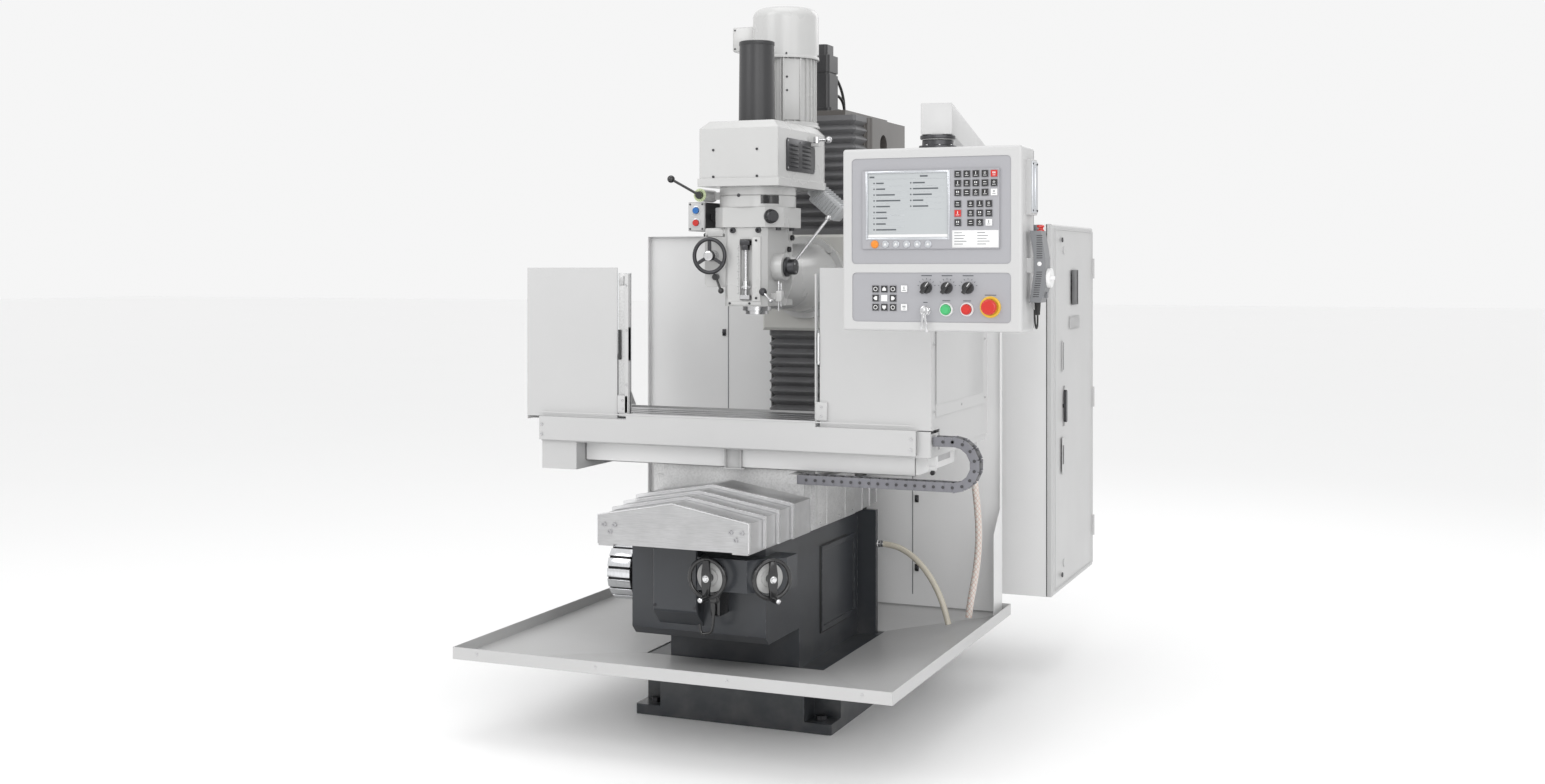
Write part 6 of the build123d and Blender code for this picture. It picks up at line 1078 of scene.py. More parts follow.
def dress_quill_housing():
    """The front strap, the depth stop's thread, nut and scale, the quill lock and the feed trip rods."""
    blocks("housing_strap", "head_enamel", "head", "head_white",
           ((30, 61), (-112, HOUSING_FACE + 1), (1384, 1600), 3.0),
           ((-62, 62), (-109, HOUSING_FACE + 1), (1372, 1384), 2.0))
    spots = [((45.5, -112, z), FRONT) for z in (1396.0, 1588.0)]
    spots += [((x, -109, 1378.0), FRONT) for x in (-52.0, 20.0)]
    screws("strap_screws", spots, 4.0, "head")
    outline = [(7.5 if i % 2 else 6.6, 1.4 * i) for i in range(121)]
    turned("stop_thread", "turned_steel", "head", "bright_steel", (*STOP_AXIS, 1406), UP, outline, 20)
    turned("stop_nut", "polished_steel", "head", "bright_steel", (*STOP_AXIS, 1425), UP,
           ((13.0, 0), (14.2, 1.5), (14.2, 12), (12.6, 13), (12.6, 27), (8, 27.5)), 40)
    knurl = [(Vector((*STOP_AXIS, 1432)) + out * 14.0, out, UP, (9, 1.2, 0.8))
             for out in circle(Vector(RIGHT), Vector(BACK), 36)]
    spread("bars", "stop_nut_knurl", knurl, "polished_steel", "head", "bright_steel", top_share=0.5)
    stop_x = STOP_AXIS[0]
    blocks("stop_top_bracket", "dark_steel", "head", "dark_steel",
           ((stop_x - 17.6, stop_x + 17.6), (-118, POCKET_FLOOR), (1573, 1589), 1.5),
           ((stop_x - 11, stop_x + 11), (-116, -96), (1556, 1573), 1.5))
    marks = []
    for i in range(33):
        long = 9.0 if i % 5 == 0 else 5.0
        spot = (-18.0 - long / 2, HOUSING_FACE, 1410.0 + 5.0 * i)
        marks.append((spot, FRONT, RIGHT, (long, 1.0, PRINT)))
    spread("bars", "stop_scale", marks, "screen_dark", "head", "black_plastic")
    turned("quill_lock_hub", "dark_steel", "head", "dark_steel", (66, -104, 1417), (0.5, -1, 0),
           ((13, 0), (13, 6), (10, 8), (10, 20), (7, 22), (0, 22)), 28)
    arm = Solids()
    arm.rod((72, -118, 1417), (0.72, -0.1, -0.7), 40, 3.6, 3.0)
    arm.ball((72 + 0.72 * 42, -118 - 4.2, 1417 - 0.7 * 42), 7.0)
    arm.piece("quill_lock_lever", "polished_steel", "head", "bright_steel")
    blocks("trip_clamp", "head_enamel", "head", "head_white",
           ((77, 122), (-68, -52), (1392, 1412), 2.5), ((98, 120), (-72, -48), (1384, 1420), 2.5))
    rods = Solids()
    rods.rod((105, -60, 1352), UP, 100, 3.0)
    rods.rod((114, -60, 1366), UP, 80, 2.4)
    rods.piece("trip_rods", "turned_steel", "head", "bright_steel")


def dress_side_levers():
    """Hubs of the quill lever and the feed wheel, the button box's plate, and the feed gear case."""
    turned("pinion_hub", "dark_steel", "quill_lever", "dark_steel", (117, *PINION), RIGHT,
           ((33, 0), (33, 7), (28.5, 10), (26.2, 12), (26.2, 30), (25.6, 34.4), (12, 35.5), (0, 35.5)), 40)
    y, z = PINION
    spots = [((150.8, y + 17 * math.cos(a), z + 17 * math.sin(a)), RIGHT) for a in (0.4, 2.5, 4.6)]
    screws("pinion_screws", spots, 3.4, "quill_lever", *BRIGHT)
    cap = Solids()
    x, z = FEED_WHEEL
    cap.lathe((x, -136.2, z), FRONT, ((16.5, -1), (16.5, 0.2), (13, 1.2), (8, 1.6), (0, 1.7)), 32)
    cap.lathe((x, -92.8, z), FRONT, ((20, 0), (20, 16), (18, 19), (17.2, 22), (17.2, 24), (12, 24)), 32)
    cap.piece("feed_wheel_hub", "polished_steel", "feed_handwheel", "bright_steel")
    blocks("button_plate", "white_coat", "head", "sheet_white",
           ((-225, -167), (BUTTON_PLATE, -63), (1623, 1719), 1.6),
           *((x, (-65.5, -56), (1622, 1720), 0.8) for x in ((-226.5, -224), (-168, -165.5))))
    spots = [((x, BUTTON_PLATE, z), FRONT) for x in (-219.0, -173.0) for z in (1629.0, 1713.0)]
    screws("button_plate_screws", spots, 3.2, "head")
    blocks("feed_gear_case", "head_enamel", "head", "head_white",
           ((-152, -74), (-92, -28), (1597, 1631), 4.0), ((-140, -84), (-95, -90), (1602, 1626), 1.5))
    shift = Solids()
    shift.rod((-152, -62, 1608), LEFT, 8, 4.0)
    shift.ball((-163, -62, 1608), 7.5)
    shift.piece("feed_shift_knob", "gloss_black", "head", "black_plastic")
    collars = Solids()
    for z in BUTTONS_Z:
        collars.lathe((BUTTONS_X, BUTTON_PLATE + SUNK, z), FRONT,
                      ((15.5, 0), (15.5, 1.6), (14.2, 2.2), (12.2, 2.2), (12.2, 0)), 32)
    collars.piece("button_collars", "bezel_silver", "head", "bright_steel")


def add_tilt_motor():
    """The small finned motor that leans behind the neck's right side."""
    turn = Matrix.Rotation(TILT_LEAN, 3, "Y")
    middle = Vector(TILT_PLACE)
    long, deep, tall = TILT_HALF
    body = Solids()
    body.block((middle.x - long, middle.x + long), (middle.y - deep, middle.y + deep),
               (middle.z - tall, middle.z + tall), soft=8, turn=turn)
    nose = middle + turn @ Vector((-long, 0, 0))
    body.rod(nose, turn @ Vector(LEFT), 22, 24)
    body.rod((nose.x + 6, middle.y, nose.z), UP, 1770 - nose.z, 18)
    body.piece("tilt_motor", "grey_casting", "head", "head_white")
    up, along = turn @ Vector(UP), turn @ Vector(RIGHT)
    fins = []
    for i in range(9):
        at = -48 + 12.0 * i
        fins.append((middle + turn @ Vector((at, 0, tall)), up, along, (3.0, 66.0, 6.0)))
        fins.append((middle + turn @ Vector((at, -deep, 0)), FRONT, along, (3.0, 52.0, 5.0)))
    spread("bars", "tilt_motor_fins", fins, "grey_casting", "head", "head_white", top_share=0.8)


# Way covers, bed, saddle and handwheels

COVER_FACE = -656.0
COVER_ROOF = (252.0, 733.0, 779.0)    # half width, shoulder and ridge of the innermost
COVER_STEP = 7.0
COVER_FOOT = 646.0
SADDLE_SIDE = 276.5
COVERS = (
    # name, body, front Y, steps outward
    ("front", "base", COVER_FACE, 0), ("second", "cover_second", -546.0, 1),
    ("third", "cover_third", -456.0, 2), ("rear", "saddle", -356.0, 3),
)


def gable(level, grow):
    """Corners of a cover section's roof, from its left foot over the ridge to its right foot."""
    half, shoulder, ridge = (size + COVER_STEP * level + grow for size in COVER_ROOF)
    return ((-half, COVER_FOOT), (-half, shoulder), (0.0, ridge), (half, shoulder), (half, COVER_FOOT))


def smooth_front_cover():
    """The front cover's sheet with the solid's bolts pressed flat, because the scene sets its own."""
    sheet = bmesh.new()
    sheet.from_mesh(NODES["way_cover_front"].data)
    for vert in sheet.verts:
        vert.co.y = max(vert.co.y, COVER_FACE * MM)
    bmesh.ops.remove_doubles(sheet, verts=sheet.verts, dist=1e-5)
    bmesh.ops.dissolve_degenerate(sheet, edges=sheet.edges, dist=1e-6)
    made = bpy.data.meshes.new("front_cover_sheet")
    sheet.to_mesh(made)
    sheet.free()
    piece = add_piece("front_cover_sheet", made, "cover_steel", "base", smooth=False)
    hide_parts("way_cover_front")


def dress_covers():
    """The front cover's plain sheet and bolts, and a lip on each cover in a lighter steel that paints the
    edge's highlight.
    """
    smooth_front_cover()
    for name, body, front, level in COVERS:
        lip = Solids()
        lip.band(gable(level, 3.2), gable(level, 0.6), front - 2.6, front + 10.0)
        if level:
            lip.band(gable(level, 0.6), gable(level, -6.2), front - 2.6, front - 0.2)
        # Lip bands in the lighter steel: painted highlight along each cover's front edge
        lip.piece(name + "_cover_lip_highlight", "painted_highlight_steel", body, "cover_steel")
    spots = [((side * x, COVER_FACE, z), FRONT)
             for side in (-1, 1) for x, z in ((232, 706), (196, 706), (212, 684))]
    screws("cover_bolts", spots, 7.4, "base", "bright_steel", "ground_iron", 0.72)


def add_rear_covers():
    """Stepped covers behind the saddle, which slide into each other; they are laid as fixed pieces."""
    sheet, lips = Solids(), Solids()
    for level, near, far in ((2, 218.0, 322.0), (1, 312.0, 420.0), (0, 410.0, 517.0)):
        sheet.band(gable(level, 0.0), gable(level, -2.5), near, far)
        # Lips in the lighter steel: painted highlight along each cover's front edge
        lips.band(gable(level, 2.0), gable(level, 0.2), far - 9.0, far)
    for made, name, finish in ((sheet, "rear_covers", "cover_steel"),
                               (lips, "rear_cover_lip_highlights", "painted_highlight_steel")):
        piece = made.piece(name, finish, None, "cover_steel")
        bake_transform(piece)


def dress_saddle():
    """Zinc sheets over the saddle's front and sides, under the coolant pan."""
    apron = Solids()
    apron.block((-252, 252), (-202.0, -198.0), (700, 869), soft=0.8)
    for side in (-1, 1):
        x = sorted((side * 271.0, side * SADDLE_SIDE))
        apron.plate([(x[0], y, z) for y, z in ((-200, 648), (214, 648), (214, 806), (-200, 806))],
                    (x[1] - x[0], 0, 0), soft=0.8)
        apron.block(sorted((side * 256.0, side * SADDLE_SIDE)), (-203.0, 214.0), (803.0, 806.5), soft=0.8)
    apron.piece("saddle_sheets", "zinc_sheet", "saddle", "cover_steel")
    spots = [((SADDLE_SIDE, y, z), RIGHT) for y in (-120.0, 60.0, 190.0) for z in (662.0, 792.0)]
    screws("saddle_sheet_screws", spots, 4.4, "saddle", *BRIGHT)
    # Bars in the lighter steel: painted highlights along the sheets' seams
    seams = [((SADDLE_SIDE, y, 727.0), RIGHT, BACK, (2.0, 158.0, 0.8)) for y in (-60.0, 118.0)]
    spread("bars", "saddle_seams", seams, "painted_highlight_steel", "saddle", "cover_steel")


def dress_handwheel(name, place, normal, body):
    """Collar with its marks, flat spoke, grip sleeve, centre bolt and grip end of one handwheel."""
    normal = Vector(normal).normalized()
    side = normal.cross(Vector(UP)).normalized()
    rim = 47.0
    grip = -58

    def spot(across, up, out):
        return Vector(place) + side * across + Vector(UP) * up + normal * out

    turned(name + "_collar", "head_enamel", body, "head_white", spot(0, 0, 1), normal,
           ((rim, 0), (rim, 11), (44, 14), (27, 16), (25.6, 24.6), (16, 24.6)), 48)
    marks = [(spot(0, 0, 9) + out * rim, out, normal, (6.0 if i % 5 else 9.0, 1.1, PRINT))
             for i, out in enumerate(circle(side, Vector(UP), 40))]
    spread("bars", name + "_marks", marks, "screen_dark", body, "black_plastic")
    spoke = Solids()
    half = ((9, -56), (15, -15), (15, 15), (9, 56))
    outline = half + tuple((-across, up) for across, up in reversed(half))
    spoke.plate([spot(across, up, 42) for across, up in outline], normal * 10.4, soft=1.5)
    spoke.lathe(spot(0, grip, 46), normal,
                ((8, 0), (10.4, 5), (10.8, 18), (9.8, 34), (9.4, 43), (6, 46), (0, 46)), 28)
    spoke.piece(name + "_spoke", "gloss_black", body, "black_plastic")
    bolt = Solids()
    bolt.lathe(spot(0, 0, 52.2), normal, ((11, 0), (11, 1.2), (8, 1.8), (8, 7.0), (6.4, 8.4), (0, 8.6)), 24)
    bolt.lathe(spot(0, grip, 90.5), normal, ((7.4, 0), (7.4, 2.4), (5.4, 4.2), (0, 5.0)), 24)
    bolt.piece(name + "_bolt", "polished_steel", body, "bright_steel")


def dress_handwheels():
    """The wheel on the bed's front and the one on its corner."""
    dress_handwheel("y_wheel", (92.0, -560.0, 552.0), FRONT, "y_handwheel")
    slant = Vector((1, -1, 0)).normalized()
    dress_handwheel("x_wheel", (253.0, -513.0, 552.0), slant, "x_handwheel")


def dress_bed():
    """Black strips painted as the shadow in the gap round the bed's side panel, cover screws, and the slide
    lock under the handwheel corner.
    """
    # Black strips painted as the shadow in the gap round the side panel
    gap = (230.0, 233.5)
    blocks("bed_panel_gap_shadow", "cable_jacket", "base", "black_plastic", (gap, (-5, 4), (274, 568), 0.4),
           *((gap, (4, 250), z, 0.4) for z in ((563, 569), (273, 279))))
    spots = [((x, -520.0, z), FRONT) for x in (-126.0, 13.0) for z in (440.0, 620.0)]
    screws("motor_cover_screws", spots, 4.6, "base")
    lock = Solids()
    lock.block((75, 107), (-540, -470), (424, 506), soft=4.0)
    lock.lathe((91, -538, 478), FRONT, ((15, 0), (15, 8), (12, 10), (12, 16), (9, 18), (0, 18)), 28)
    lever = ((91, -550, 478), (92, -552, 430), (86, -552, 376), (50, -552, 368), (44, -552, 400))
    lock.tube(bent(lever), 5.0)
    lock.piece("saddle_lock", "gloss_black", "base", "black_plastic")


# Guards, coolant pan, chip tray and cabinet

DOOR_FRONT = -309
DOOR_SHEET = -291.8
WING_SIDE = 714.0
SPOUT_BACK = -237.5
CABINET_FACE = 846.0


def dress_doors():
    """Edge bar, pull, runner block and screws of each clear door, with the left one's zinc strip."""
    for body, side in (("left_door", -1), ("right_door", 1)):
        left = side < 0

        def across(near, far):
            return sorted((side * near, side * far))

        blocks(body + "_edge", "white_coat", body, "sheet_white",
               (across(330, 344 if left else 335), (DOOR_FRONT, -291), (1003, 1478), 1.2),
               (across(332, 371), (DOOR_FRONT, DOOR_SHEET), (1016, 1074), 1.6))
        if left:
            blocks(body + "_strip", "zinc_sheet", body, "bright_steel",
                   (across(344.5, 371), (-300, DOOR_SHEET), (1004, 1479), 0.8),
                   (across(350, 369), (-304, -300), (1440, 1470), 1.2))
        pull = Solids()
        x = across(361, 370) if left else across(338, 344)
        pull.block(x, (-307, -301), (1192, 1292), soft=2.0)
        for z in (1200.0, 1284.0):
            pull.rod((sum(x) / 2, -291.5, z), FRONT, 12, 3.2)
        pull.piece(body + "_pull", "gloss_black" if left else "white_plastic", body, "black_plastic")
        spots = [((side * 337.0, DOOR_FRONT, z), FRONT) for z in (1110.0, 1290.0, 1440.0)] if left else []
        spots += [((side * 352.0, DOOR_FRONT, z), FRONT) for z in (1031.0, 1059.0)]
        screws(body + "_screws", spots, 3.8, body, *BRIGHT)


def dress_right_wing():
    """Cover sheet on the right wing's side, the fold along the fascia's top, and their screws."""
    trim = Solids()
    corners = ((-262, 1075), (276, 1075), (276, 1480), (-262, 1480))
    trim.plate([(WING_SIDE, y, z) for y, z in corners], Vector(RIGHT) * 2.0, soft=0.6)
    trim.block((-664, 664), (-317.2, -315.5), (1009, 1013), soft=0.5)
    trim.piece("guard_trim", "white_coat", "table", "sheet_white")
    spots = [((WING_SIDE, y, z), RIGHT)
             for y, z in ((-282, 1261), (-282, 1054), (18, 1055), (303, 1255), (303, 1056))]
    screws("right_wing_screws", spots, 3.8, "table", *BRIGHT)
    spots = [((x, -316, z), FRONT) for x in (-654.0, 650.0) for z in (937.0, 970.0)]
    screws("fascia_bolts", spots, 4.8, "table", *BRIGHT)


def hang_under_pan():
    """The pan's skirt, the drain spout over the covers and the end switch at the pan's right."""
    long, skirt = (-528, 640), (846, 914)
    # The skirt takes the lighter copy of the sheet coat: painted light over the shade under the fascia
    blocks("pan_skirt", "painted_light_sheet_coat", "table", "sheet_white",
           (long, (-238, -235), skirt, 0.8), (long, (-238, -214), (846, 849), 0.8),
           *((x, (-238, 190), skirt, 0.8) for x in ((-528, -525), (637, 640))))
    spout = (843, 914)
    blocks("pan_spout", "white_coat", "table", "sheet_white",
           ((-8, -4), (-252, SPOUT_BACK), spout, 0.6), ((46, 50), (-252, SPOUT_BACK), spout, 0.6),
           ((-8, 50), (-241, SPOUT_BACK), spout, 0.6), ((-18, 60), (-254, SPOUT_BACK), (842, 846), 0.8))
    screws("spout_screws", [((x, -254, 844), FRONT) for x in (-13.0, 55.0)], 1.8, "table", *BRIGHT)
    blocks("end_switch_body", "white_plastic", "table", "sheet_white",
           ((676, 706), (-234, -212), (880, 912), 2.0), ((680, 702), (-232, -214), (866, 881), 1.5))
    roller = Solids()
    roller.rod((691, -230, 858), BACK, 14, 7.0)
    roller.block((686, 696), (-226, -220), (856, 868), soft=1.0)
    roller.piece("end_switch_roller", "black_plastic", "table", "black_plastic")


def dress_splash():
    """Dark bars painted as the shade in the rear splash sheets' seams and along the right sheet's outer fold,
    and the sheets' latches.
    """
    seam, tall = (582.4, 584.6), (310, 1600)
    # Dark bars painted as the shade in the seams and along the right sheet's outer fold
    blocks("splash_seam_shade", "grey_plastic", "base", "sheet_grey",
           ((366, 369), seam, tall, 0.3), ((-369, -366), seam, tall, 0.3),
           ((693.5, 697.5), (580.5, 584.5), (604, 1600), 0.3))
    latch = Solids()
    for x in (-384, 384):
        for z in (407.0, 657.0, 1250.0, 1480.0):
            latch.block((x - 7, x + 7), (578, 584.4), (z - 13, z + 13), soft=2.0)
            latch.rod((x, 578, z), FRONT, 5, 5.0)
    latch.piece("splash_latches", "dark_steel", "base", "dark_steel")


def dress_cabinet():
    """The door's gasket, latch plates, locks, folds, louvres and blank plate."""
    gasket = (818.6, 821.4)
    blocks("cabinet_gasket", "cable_jacket", "base", "black_plastic",
           *((gasket, (y - 0.6, y + 0.6), (302, 1654), 0.2) for y in (761.0, 1471.0)),
           *((gasket, (763, 1470), (z - 0.6, z + 0.6), 0.2) for z in (300.4, 1655.6)))
    face = CABINET_FACE
    raised, sunk, folded = (face, face + 2.5), (face + 2.3, face + 3.2), (face - 0.5, face + 1.2)
    blocks("cabinet_latch_plate", "tray_coat", "cabinet_door", "sheet_grey",
           (raised, (893, 938), (731, 867), 1.2), (raised, (902, 918), (1112, 1226), 1.2))
    locks = Solids()
    locks.block(sunk, (899, 916), (768, 838), soft=0.6)
    locks.block(sunk, (907, 913), (1118, 1220), soft=0.4)
    for z in (360, 1600):
        locks.rod((face, 894, z), RIGHT, 4.5, 9.0)
    locks.piece("cabinet_locks", "dark_steel", "cabinet_door", "dark_steel")
    blocks("cabinet_door_fold", "white_coat", "cabinet_door", "sheet_white",
           *((folded, (y - 1.5, y + 1.5), (318, 1638), 0.4) for y in (790.0, 1444.0)),
           *((folded, (790, 1444), (z - 1.5, z + 1.5), 0.4) for z in (318.0, 1638.0)))
    bars = [((face, 1036.0 + 16.0 * i, 1288.0), RIGHT, BACK, (7.0, 50.0, 2.0)) for i in range(11)]
    spread("bars", "cabinet_louvres", bars, "tray_coat", "cabinet_door", "sheet_grey", top_share=0.5)
    tall = (1356, 1488)
    blocks("cabinet_blank_plate", "dark_steel", "cabinet_door", "dark_steel",
           ((face, face + 1.2), (1062, 1168), tall, 0.4),
           *(((face, face + 2.2), y, tall, 0.6) for y in ((1062, 1066), (1164, 1168))))


def dress_tray():
    """Screws of the tray's front, and the fittings that the two hoses come from."""
    spots = [((x, -736, 284.0), FRONT) for x in (-640.0, -220.0, 220.0, 640.0)]
    screws("tray_screws", spots, 3.6, "base", *BRIGHT)
    turned("hose_fitting", "polished_steel", "base", "bright_steel", (309, 383, 520), RIGHT,
           ((16, -9), (16, -4), (13, -2), (13, 6), (11.5, 7), (11.5, 15), (9.2, 16)), 24)
    turned("drain_clip", "turned_steel", "table", "bright_steel", (680, 275, 868), UP,
           ((13.6, 0), (13.6, 8), (12.4, 8), (12.4, 0)), 24)


# Drag chains and bellows, laid as fixed pieces between the parts they join

LINK_PITCH = 30.0


def chain_links(centre, out, bend, upper, lower):
    """Each link's middle, its direction and its outward side, in order round a U whose bend points out."""
    centre, out, up = Vector(centre), Vector(out), Vector(UP)

    def run(length, height):
        return [(centre - out * LINK_PITCH * (i + 0.5) + up * bend * height, out, up * height)
                for i in range(int(length // LINK_PITCH))]

    turns = round(math.pi * bend / LINK_PITCH)
    arc = []
    for i in range(turns):
        angle = math.pi * ((i + 0.5) / turns - 0.5)
        aim = out * math.cos(angle) + up * math.sin(angle)
        arc.append((centre + aim * bend, up * math.cos(angle) - out * math.sin(angle), aim))
    return run(lower, -1)[::-1] + arc + run(upper, 1)


def make_chain(node, links, width, finishes, slats):
    """Links of one chain: bright slats over dark sides, or lapped side plates over dark crossbars."""
    shown, dark = Solids(), Solids()
    for i, (middle, along, aim) in enumerate(links):
        across = aim.cross(along)
        turn = Matrix((along, across, aim)).transposed()

        def link_block(solids, length, wide, low, high, shift=0.0):
            spot = middle + aim * (low + high) / 2 + across * shift
            sizes = (length, wide, high - low)
            solids.block(*((at - size / 2, at + size / 2) for at, size in zip(spot, sizes)), 1.4, turn)

        lap = 0.0 if i % 2 else 1.2
        for side in (-1, 1):
            pin = middle + along * LINK_PITCH / 2 + across * side * (width / 2 - 1.2)
            dark.rod(pin, across * side, 2.0, 5.0, sides=14)
            if slats:
                link_block(dark, 28.0, 6.0, -12.0, 12.0, side * (width / 2 - 3.0))
                link_block(shown, 27.0, width, *sorted((side * 9.0, side * 15.2)))
            else:
                link_block(shown, 35.0, 4.0, -15.0, 15.0, side * (width / 2 - 2.4 - lap))
                link_block(dark, 17.0, width - 11.0, *sorted((side * 10.0, side * 14.6)))
        link_block(dark, 31.0, width - 16.0, -9.5, 9.5)
    for name, solids, look in ((node + "_links", shown, finishes[0]), (node + "_sides", dark, finishes[1])):
        piece = solids.piece(name, look, None, "black_plastic")
        if solids is shown:
            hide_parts(node)
        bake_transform(piece)


def make_chains():
    """The chain along the table's front and the chain beside the bed."""
    links = chain_links((773.5, -265.0, 893.5), RIGHT, 69.5, 65.5, 511.5)
    make_chain("x_chain", links, 49.0,
               ("chain_plastic", "chain_side"), False)
    links = chain_links((-303.5, -330.0, 510.0), FRONT, 85.0, 180.0, 390.0)
    make_chain("y_chain", links, 82.0,
               ("chain_steel", "black_plastic"), True)


def make_bellows(node, start, end, pitch=35.0):
    """Pleated cloth from its fixed height to the head's: rings that go in and out, with flat outer folds."""
    low, high = sorted((start, end))
    count = round((high - low) / pitch)
    step = (high - low) / count
    rows = []
    for i in range(count + 1):
        z = low + (high - low) * i / count
        rows.append((z, 0.0 if i in (0, count) else 18.0))
        if i < count:
            rows += [(z + step * 0.42, 0.0), (z + step * 0.58, 0.0)]
    pleats = Solids()
    rings = []
    for z, inward in rows:
        half, front, back, corner = 171.0 - inward, 512.0 + inward, 639.0, 10.0
        outline = ((-half, back), (-half, front + corner), (-half + corner, front), (half - corner, front),
                   (half, front + corner), (half, back))
        rings.append([pleats.bm.verts.new((x, y, z)) for x, y in outline])
    pleats.skin(rings)
    piece = pleats.piece(node + "_pleats", "bellows_cloth", None, "bellows_black", smooth=False)
    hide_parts(node)
    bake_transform(piece)


def add_bellows():
    """The bellows above and below the carriage."""
    make_bellows("upper_bellows", 2056.0, 1618.0)
    make_bellows("lower_bellows", 850.0, 1266.0)


# Operators


class BEDMILL_OT_finishes(bpy.types.Operator):
    """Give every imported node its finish"""

    bl_idname = "bedmill.finishes"
    bl_label = "Finishes"

    def execute(self, context):
        make_finishes(context.scene.bedmill_colours)
        for finish, names in NODE_FINISHES.items():
            for name in names:
                mesh = NODES[name].data
                mesh.materials.clear()
                mesh.materials.append(FINISHES[finish])
        return {"FINISHED"}


class BEDMILL_OT_cords(bpy.types.Operator):
    """Lay the cables and hoses along their routes"""

    bl_idname = "bedmill.cords"
    bl_label = "Cords"

    def execute(self, context):
        for row in CORDS:
            lay_cord(*row)
        return {"FINISHED"}


class BEDMILL_OT_pendant(bpy.types.Operator):
    """Fit the arm, and the pendant's keys, screen, knobs and handset parts"""

    bl_idname = "bedmill.pendant"
    bl_label = "Pendant"

    def execute(self, context):
        lay_keys()
        make_screen()
        make_soft_keys()
        make_selectors()
        make_panel_rings()
        make_key_switch()
        make_pendant_side()
        make_arm()
        make_swivel()
        dress_handset()
        return {"FINISHED"}


class BEDMILL_OT_head(bpy.types.Operator):
    """Fit the head's plates, knobs, depth stop and levers"""

    bl_idname = "bedmill.head"
    bl_label = "Head"

    def execute(self, context):
        dress_belt_housing()
        dress_spindle_motor()
        dress_neck()
        dress_quill_housing()
        dress_side_levers()
        add_tilt_motor()
        return {"FINISHED"}


class BEDMILL_OT_bed(bpy.types.Operator):
    """Fit the way covers, the saddle sheets, the handwheels and the slide lock"""

    bl_idname = "bedmill.bed"
    bl_label = "Bed"

    def execute(self, context):
        dress_covers()
        dress_saddle()
        add_rear_covers()
        dress_handwheels()
        dress_bed()
        return {"FINISHED"}


class BEDMILL_OT_guards(bpy.types.Operator):
    """Fit the doors, the wing, the pan's skirt, the splash sheets and the tray"""

    bl_idname = "bedmill.guards"
    bl_label = "Guards"

    def execute(self, context):
        dress_doors()
        dress_right_wing()
        hang_under_pan()
        dress_splash()
        dress_tray()
        return {"FINISHED"}


class BEDMILL_OT_cabinet(bpy.types.Operator):
    """Fit the cabinet's gasket, latches and louvres"""

    bl_idname = "bedmill.cabinet"
    bl_label = "Cabinet"

    def execute(self, context):
        dress_cabinet()
        return {"FINISHED"}


class BEDMILL_OT_chains(bpy.types.Operator):
    """Link the drag chains between the parts they join"""

    bl_idname = "bedmill.chains"
    bl_label = "Chains"

    def execute(self, context):
        make_chains()
        return {"FINISHED"}


class BEDMILL_OT_bellows(bpy.types.Operator):
    """Pleat the bellows between the carriage and the column"""

    bl_idname = "bedmill.bellows"
    bl_label = "Bellows"

    def execute(self, context):
        add_bellows()
        return {"FINISHED"}


class BEDMILL_OT_stage(bpy.types.Operator):
    """Set the floor, the soft lights and the camera"""

    bl_idname = "bedmill.stage"
    bl_label = "Stage"

    def execute(self, context):
        stage = context.scene.bedmill_stage
        lay_floor(stage)
        for name, place, width, share in SOFT_BOXES:
            hang_light(name, place, width, share * stage.light_power)
        set_world(stage)
        set_camera(stage)
        return {"FINISHED"}


# Stage

SOFT_BOXES = (
    ("key_box", (-2.6, -4.2, 4.2), 2.6, 1.0),
    ("fill_box", (4.6, -3.4, 2.6), 2.4, 0.5),
    ("back_box", (1.5, 4.5, 4.0), 2.4, 0.4),
    ("top_box", (0.3, -0.6, 5.0), 3.0, 0.6),
    ("front_box", (2.8, -6.2, 2.6), 3.2, 1.2),
)
AIM = Vector((0.1, 0.2, 1.1))
CAMERA_PLACE = (2.208, -5.166, 1.5)
CAMERA_TURN = math.radians(22.6)


def lay_floor(stage):
    """A wide pale floor with a faint drift of tone."""
    mesh = bpy.data.meshes.new("floor")
    half = stage.floor_half
    corners = [(-half, -half, 0), (half, -half, 0), (half, half, 0), (-half, half, 0)]
    mesh.from_pydata(corners, [], [(0, 1, 2, 3)])
    made, wiring, shader = blank_material("studio_floor")
    place = wiring.add("ShaderNodeTexCoord").outputs["Object"]
    cloud = wiring.noise(place, 0.6, 3.0)
    colour = tuple(stage.floor_colour)
    wiring.put(shader["Base Color"], wiring.mix(cloud, rgba(colour), rgba(colour, 0.985)))
    shader["Roughness"].default_value = 0.55
    mesh.materials.append(made)
    floor = bpy.data.objects.new("floor", mesh)
    bpy.context.scene.collection.objects.link(floor)


def hang_light(name, place, width, power):
    """A soft box aimed at the machine."""
    light = bpy.data.lights.new(name, "AREA")
    light.energy = power
    light.size = width
    lamp = bpy.data.objects.new(name, light)
    lamp.location = place
    lamp.rotation_euler = (AIM - Vector(place)).to_track_quat("-Z", "Y").to_euler()
    bpy.context.scene.collection.objects.link(lamp)


def set_world(stage):
    scene = bpy.context.scene
    world = bpy.data.worlds.new("studio")
    scene.world = world
    world.use_nodes = True
    sky = world.node_tree.nodes["Background"].inputs
    sky["Color"].default_value = rgba(stage.sky_colour)
    sky["Strength"].default_value = stage.sky_strength
    scene.view_settings.view_transform = "Standard"


def set_camera(stage):
    """A level camera with the photograph's view."""
    lens = bpy.data.cameras.new("photo_camera")
    lens.lens = stage.lens
    lens.sensor_width = 36.0
    lens.sensor_fit = "HORIZONTAL"
    lens.shift_y = stage.shift
    camera = bpy.data.objects.new("photo_camera", lens)
    camera.location = CAMERA_PLACE
    camera.rotation_euler = (math.radians(90), 0.0, CAMERA_TURN)
    bpy.context.scene.collection.objects.link(camera)
    bpy.context.scene.camera = camera


# Settings


def colour_setting(name, description, default):
    return FloatVectorProperty(name=name, description=description, default=default, subtype="COLOR",
                               min=0.0, max=1.0)


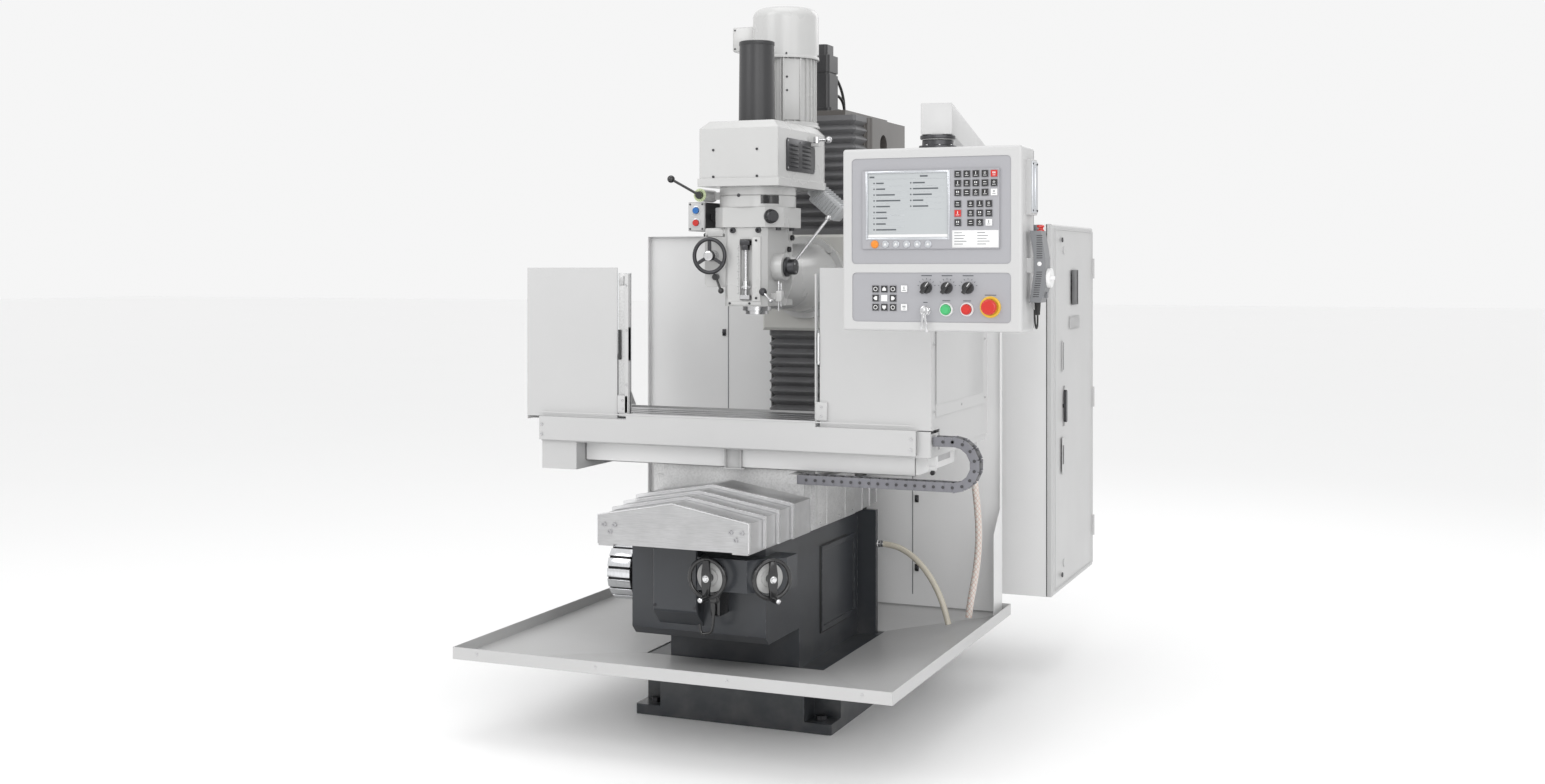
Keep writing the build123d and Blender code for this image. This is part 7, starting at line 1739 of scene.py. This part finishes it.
class BedMillColours(bpy.types.PropertyGroup):
    """Paint colours of the machine."""

    slate: colour_setting("Bed", "Enamel of the bed and its motor cover", (0.036, 0.040, 0.047))
    brown: colour_setting("Column", "Enamel of the column", (0.12, 0.112, 0.105))
    white: colour_setting("Head", "Enamel of the head castings", (0.53, 0.53, 0.525))
    cream: colour_setting("Carriage", "Enamel of the vertical carriage", (0.56, 0.555, 0.53))
    sheet: colour_setting("Sheet Metal", "Powder coat of the guards, pan and cabinet", (0.53, 0.53, 0.53))
    tray: colour_setting("Chip Tray", "Powder coat of the chip tray", (0.52, 0.52, 0.52))
    panel: colour_setting("Panel Film", "Printed film of the control panel", (0.355, 0.355, 0.375))


class BedMillStage(bpy.types.PropertyGroup):
    """Floor, light and camera."""

    floor_half: FloatProperty(name="Floor Half Width", description="Half the floor's side", default=60.0,
                              unit="LENGTH")
    floor_colour: colour_setting("Floor", "Colour of the floor", (0.97, 0.97, 0.97))
    sky_colour: colour_setting("Surround", "Colour of the light all round", (1.0, 1.0, 1.0))
    sky_strength: FloatProperty(name="Surround Strength", description="Strength of the light all round",
                                default=0.92)
    light_power: FloatProperty(name="Key Power", description="Power of the key light", default=60.0,
                               unit="POWER")
    lens: FloatProperty(name="Lens", description="Focal length", default=38.5, unit="CAMERA")
    shift: FloatProperty(name="Rise", description="Upright shift of the picture", default=-0.081)


class BEDMILL_PT_panel(bpy.types.Panel):
    """Shows the colour and stage settings and the buttons that fit the pieces"""

    bl_label = "Bed Mill"
    bl_idname = "BEDMILL_PT_panel"
    bl_space_type = "VIEW_3D"
    bl_region_type = "UI"
    bl_category = "Bed Mill"

    def draw(self, context):
        for settings in (context.scene.bedmill_colours, context.scene.bedmill_stage):
            box = self.layout.box()
            for name in settings.__annotations__:
                box.prop(settings, name)
        for operator in OPERATORS:
            self.layout.operator(operator.bl_idname)


OPERATORS = (BEDMILL_OT_finishes, BEDMILL_OT_cords, BEDMILL_OT_pendant, BEDMILL_OT_head, BEDMILL_OT_bed,
             BEDMILL_OT_guards, BEDMILL_OT_cabinet, BEDMILL_OT_chains, BEDMILL_OT_bellows, BEDMILL_OT_stage)
SETTINGS = (BedMillColours, BedMillStage)


def register():
    for cls in SETTINGS + OPERATORS + (BEDMILL_PT_panel,):
        bpy.utils.register_class(cls)
    bpy.types.Scene.bedmill_colours = PointerProperty(type=BedMillColours)
    bpy.types.Scene.bedmill_stage = PointerProperty(type=BedMillStage)


def unregister():
    del bpy.types.Scene.bedmill_stage
    del bpy.types.Scene.bedmill_colours
    for cls in reversed(SETTINGS + OPERATORS + (BEDMILL_PT_panel,)):
        bpy.utils.unregister_class(cls)


def main():
    register()
    for operator in OPERATORS:
        space, action = operator.bl_idname.split(".")
        getattr(getattr(bpy.ops, space), action)()


if __name__ == "__main__":
    main()
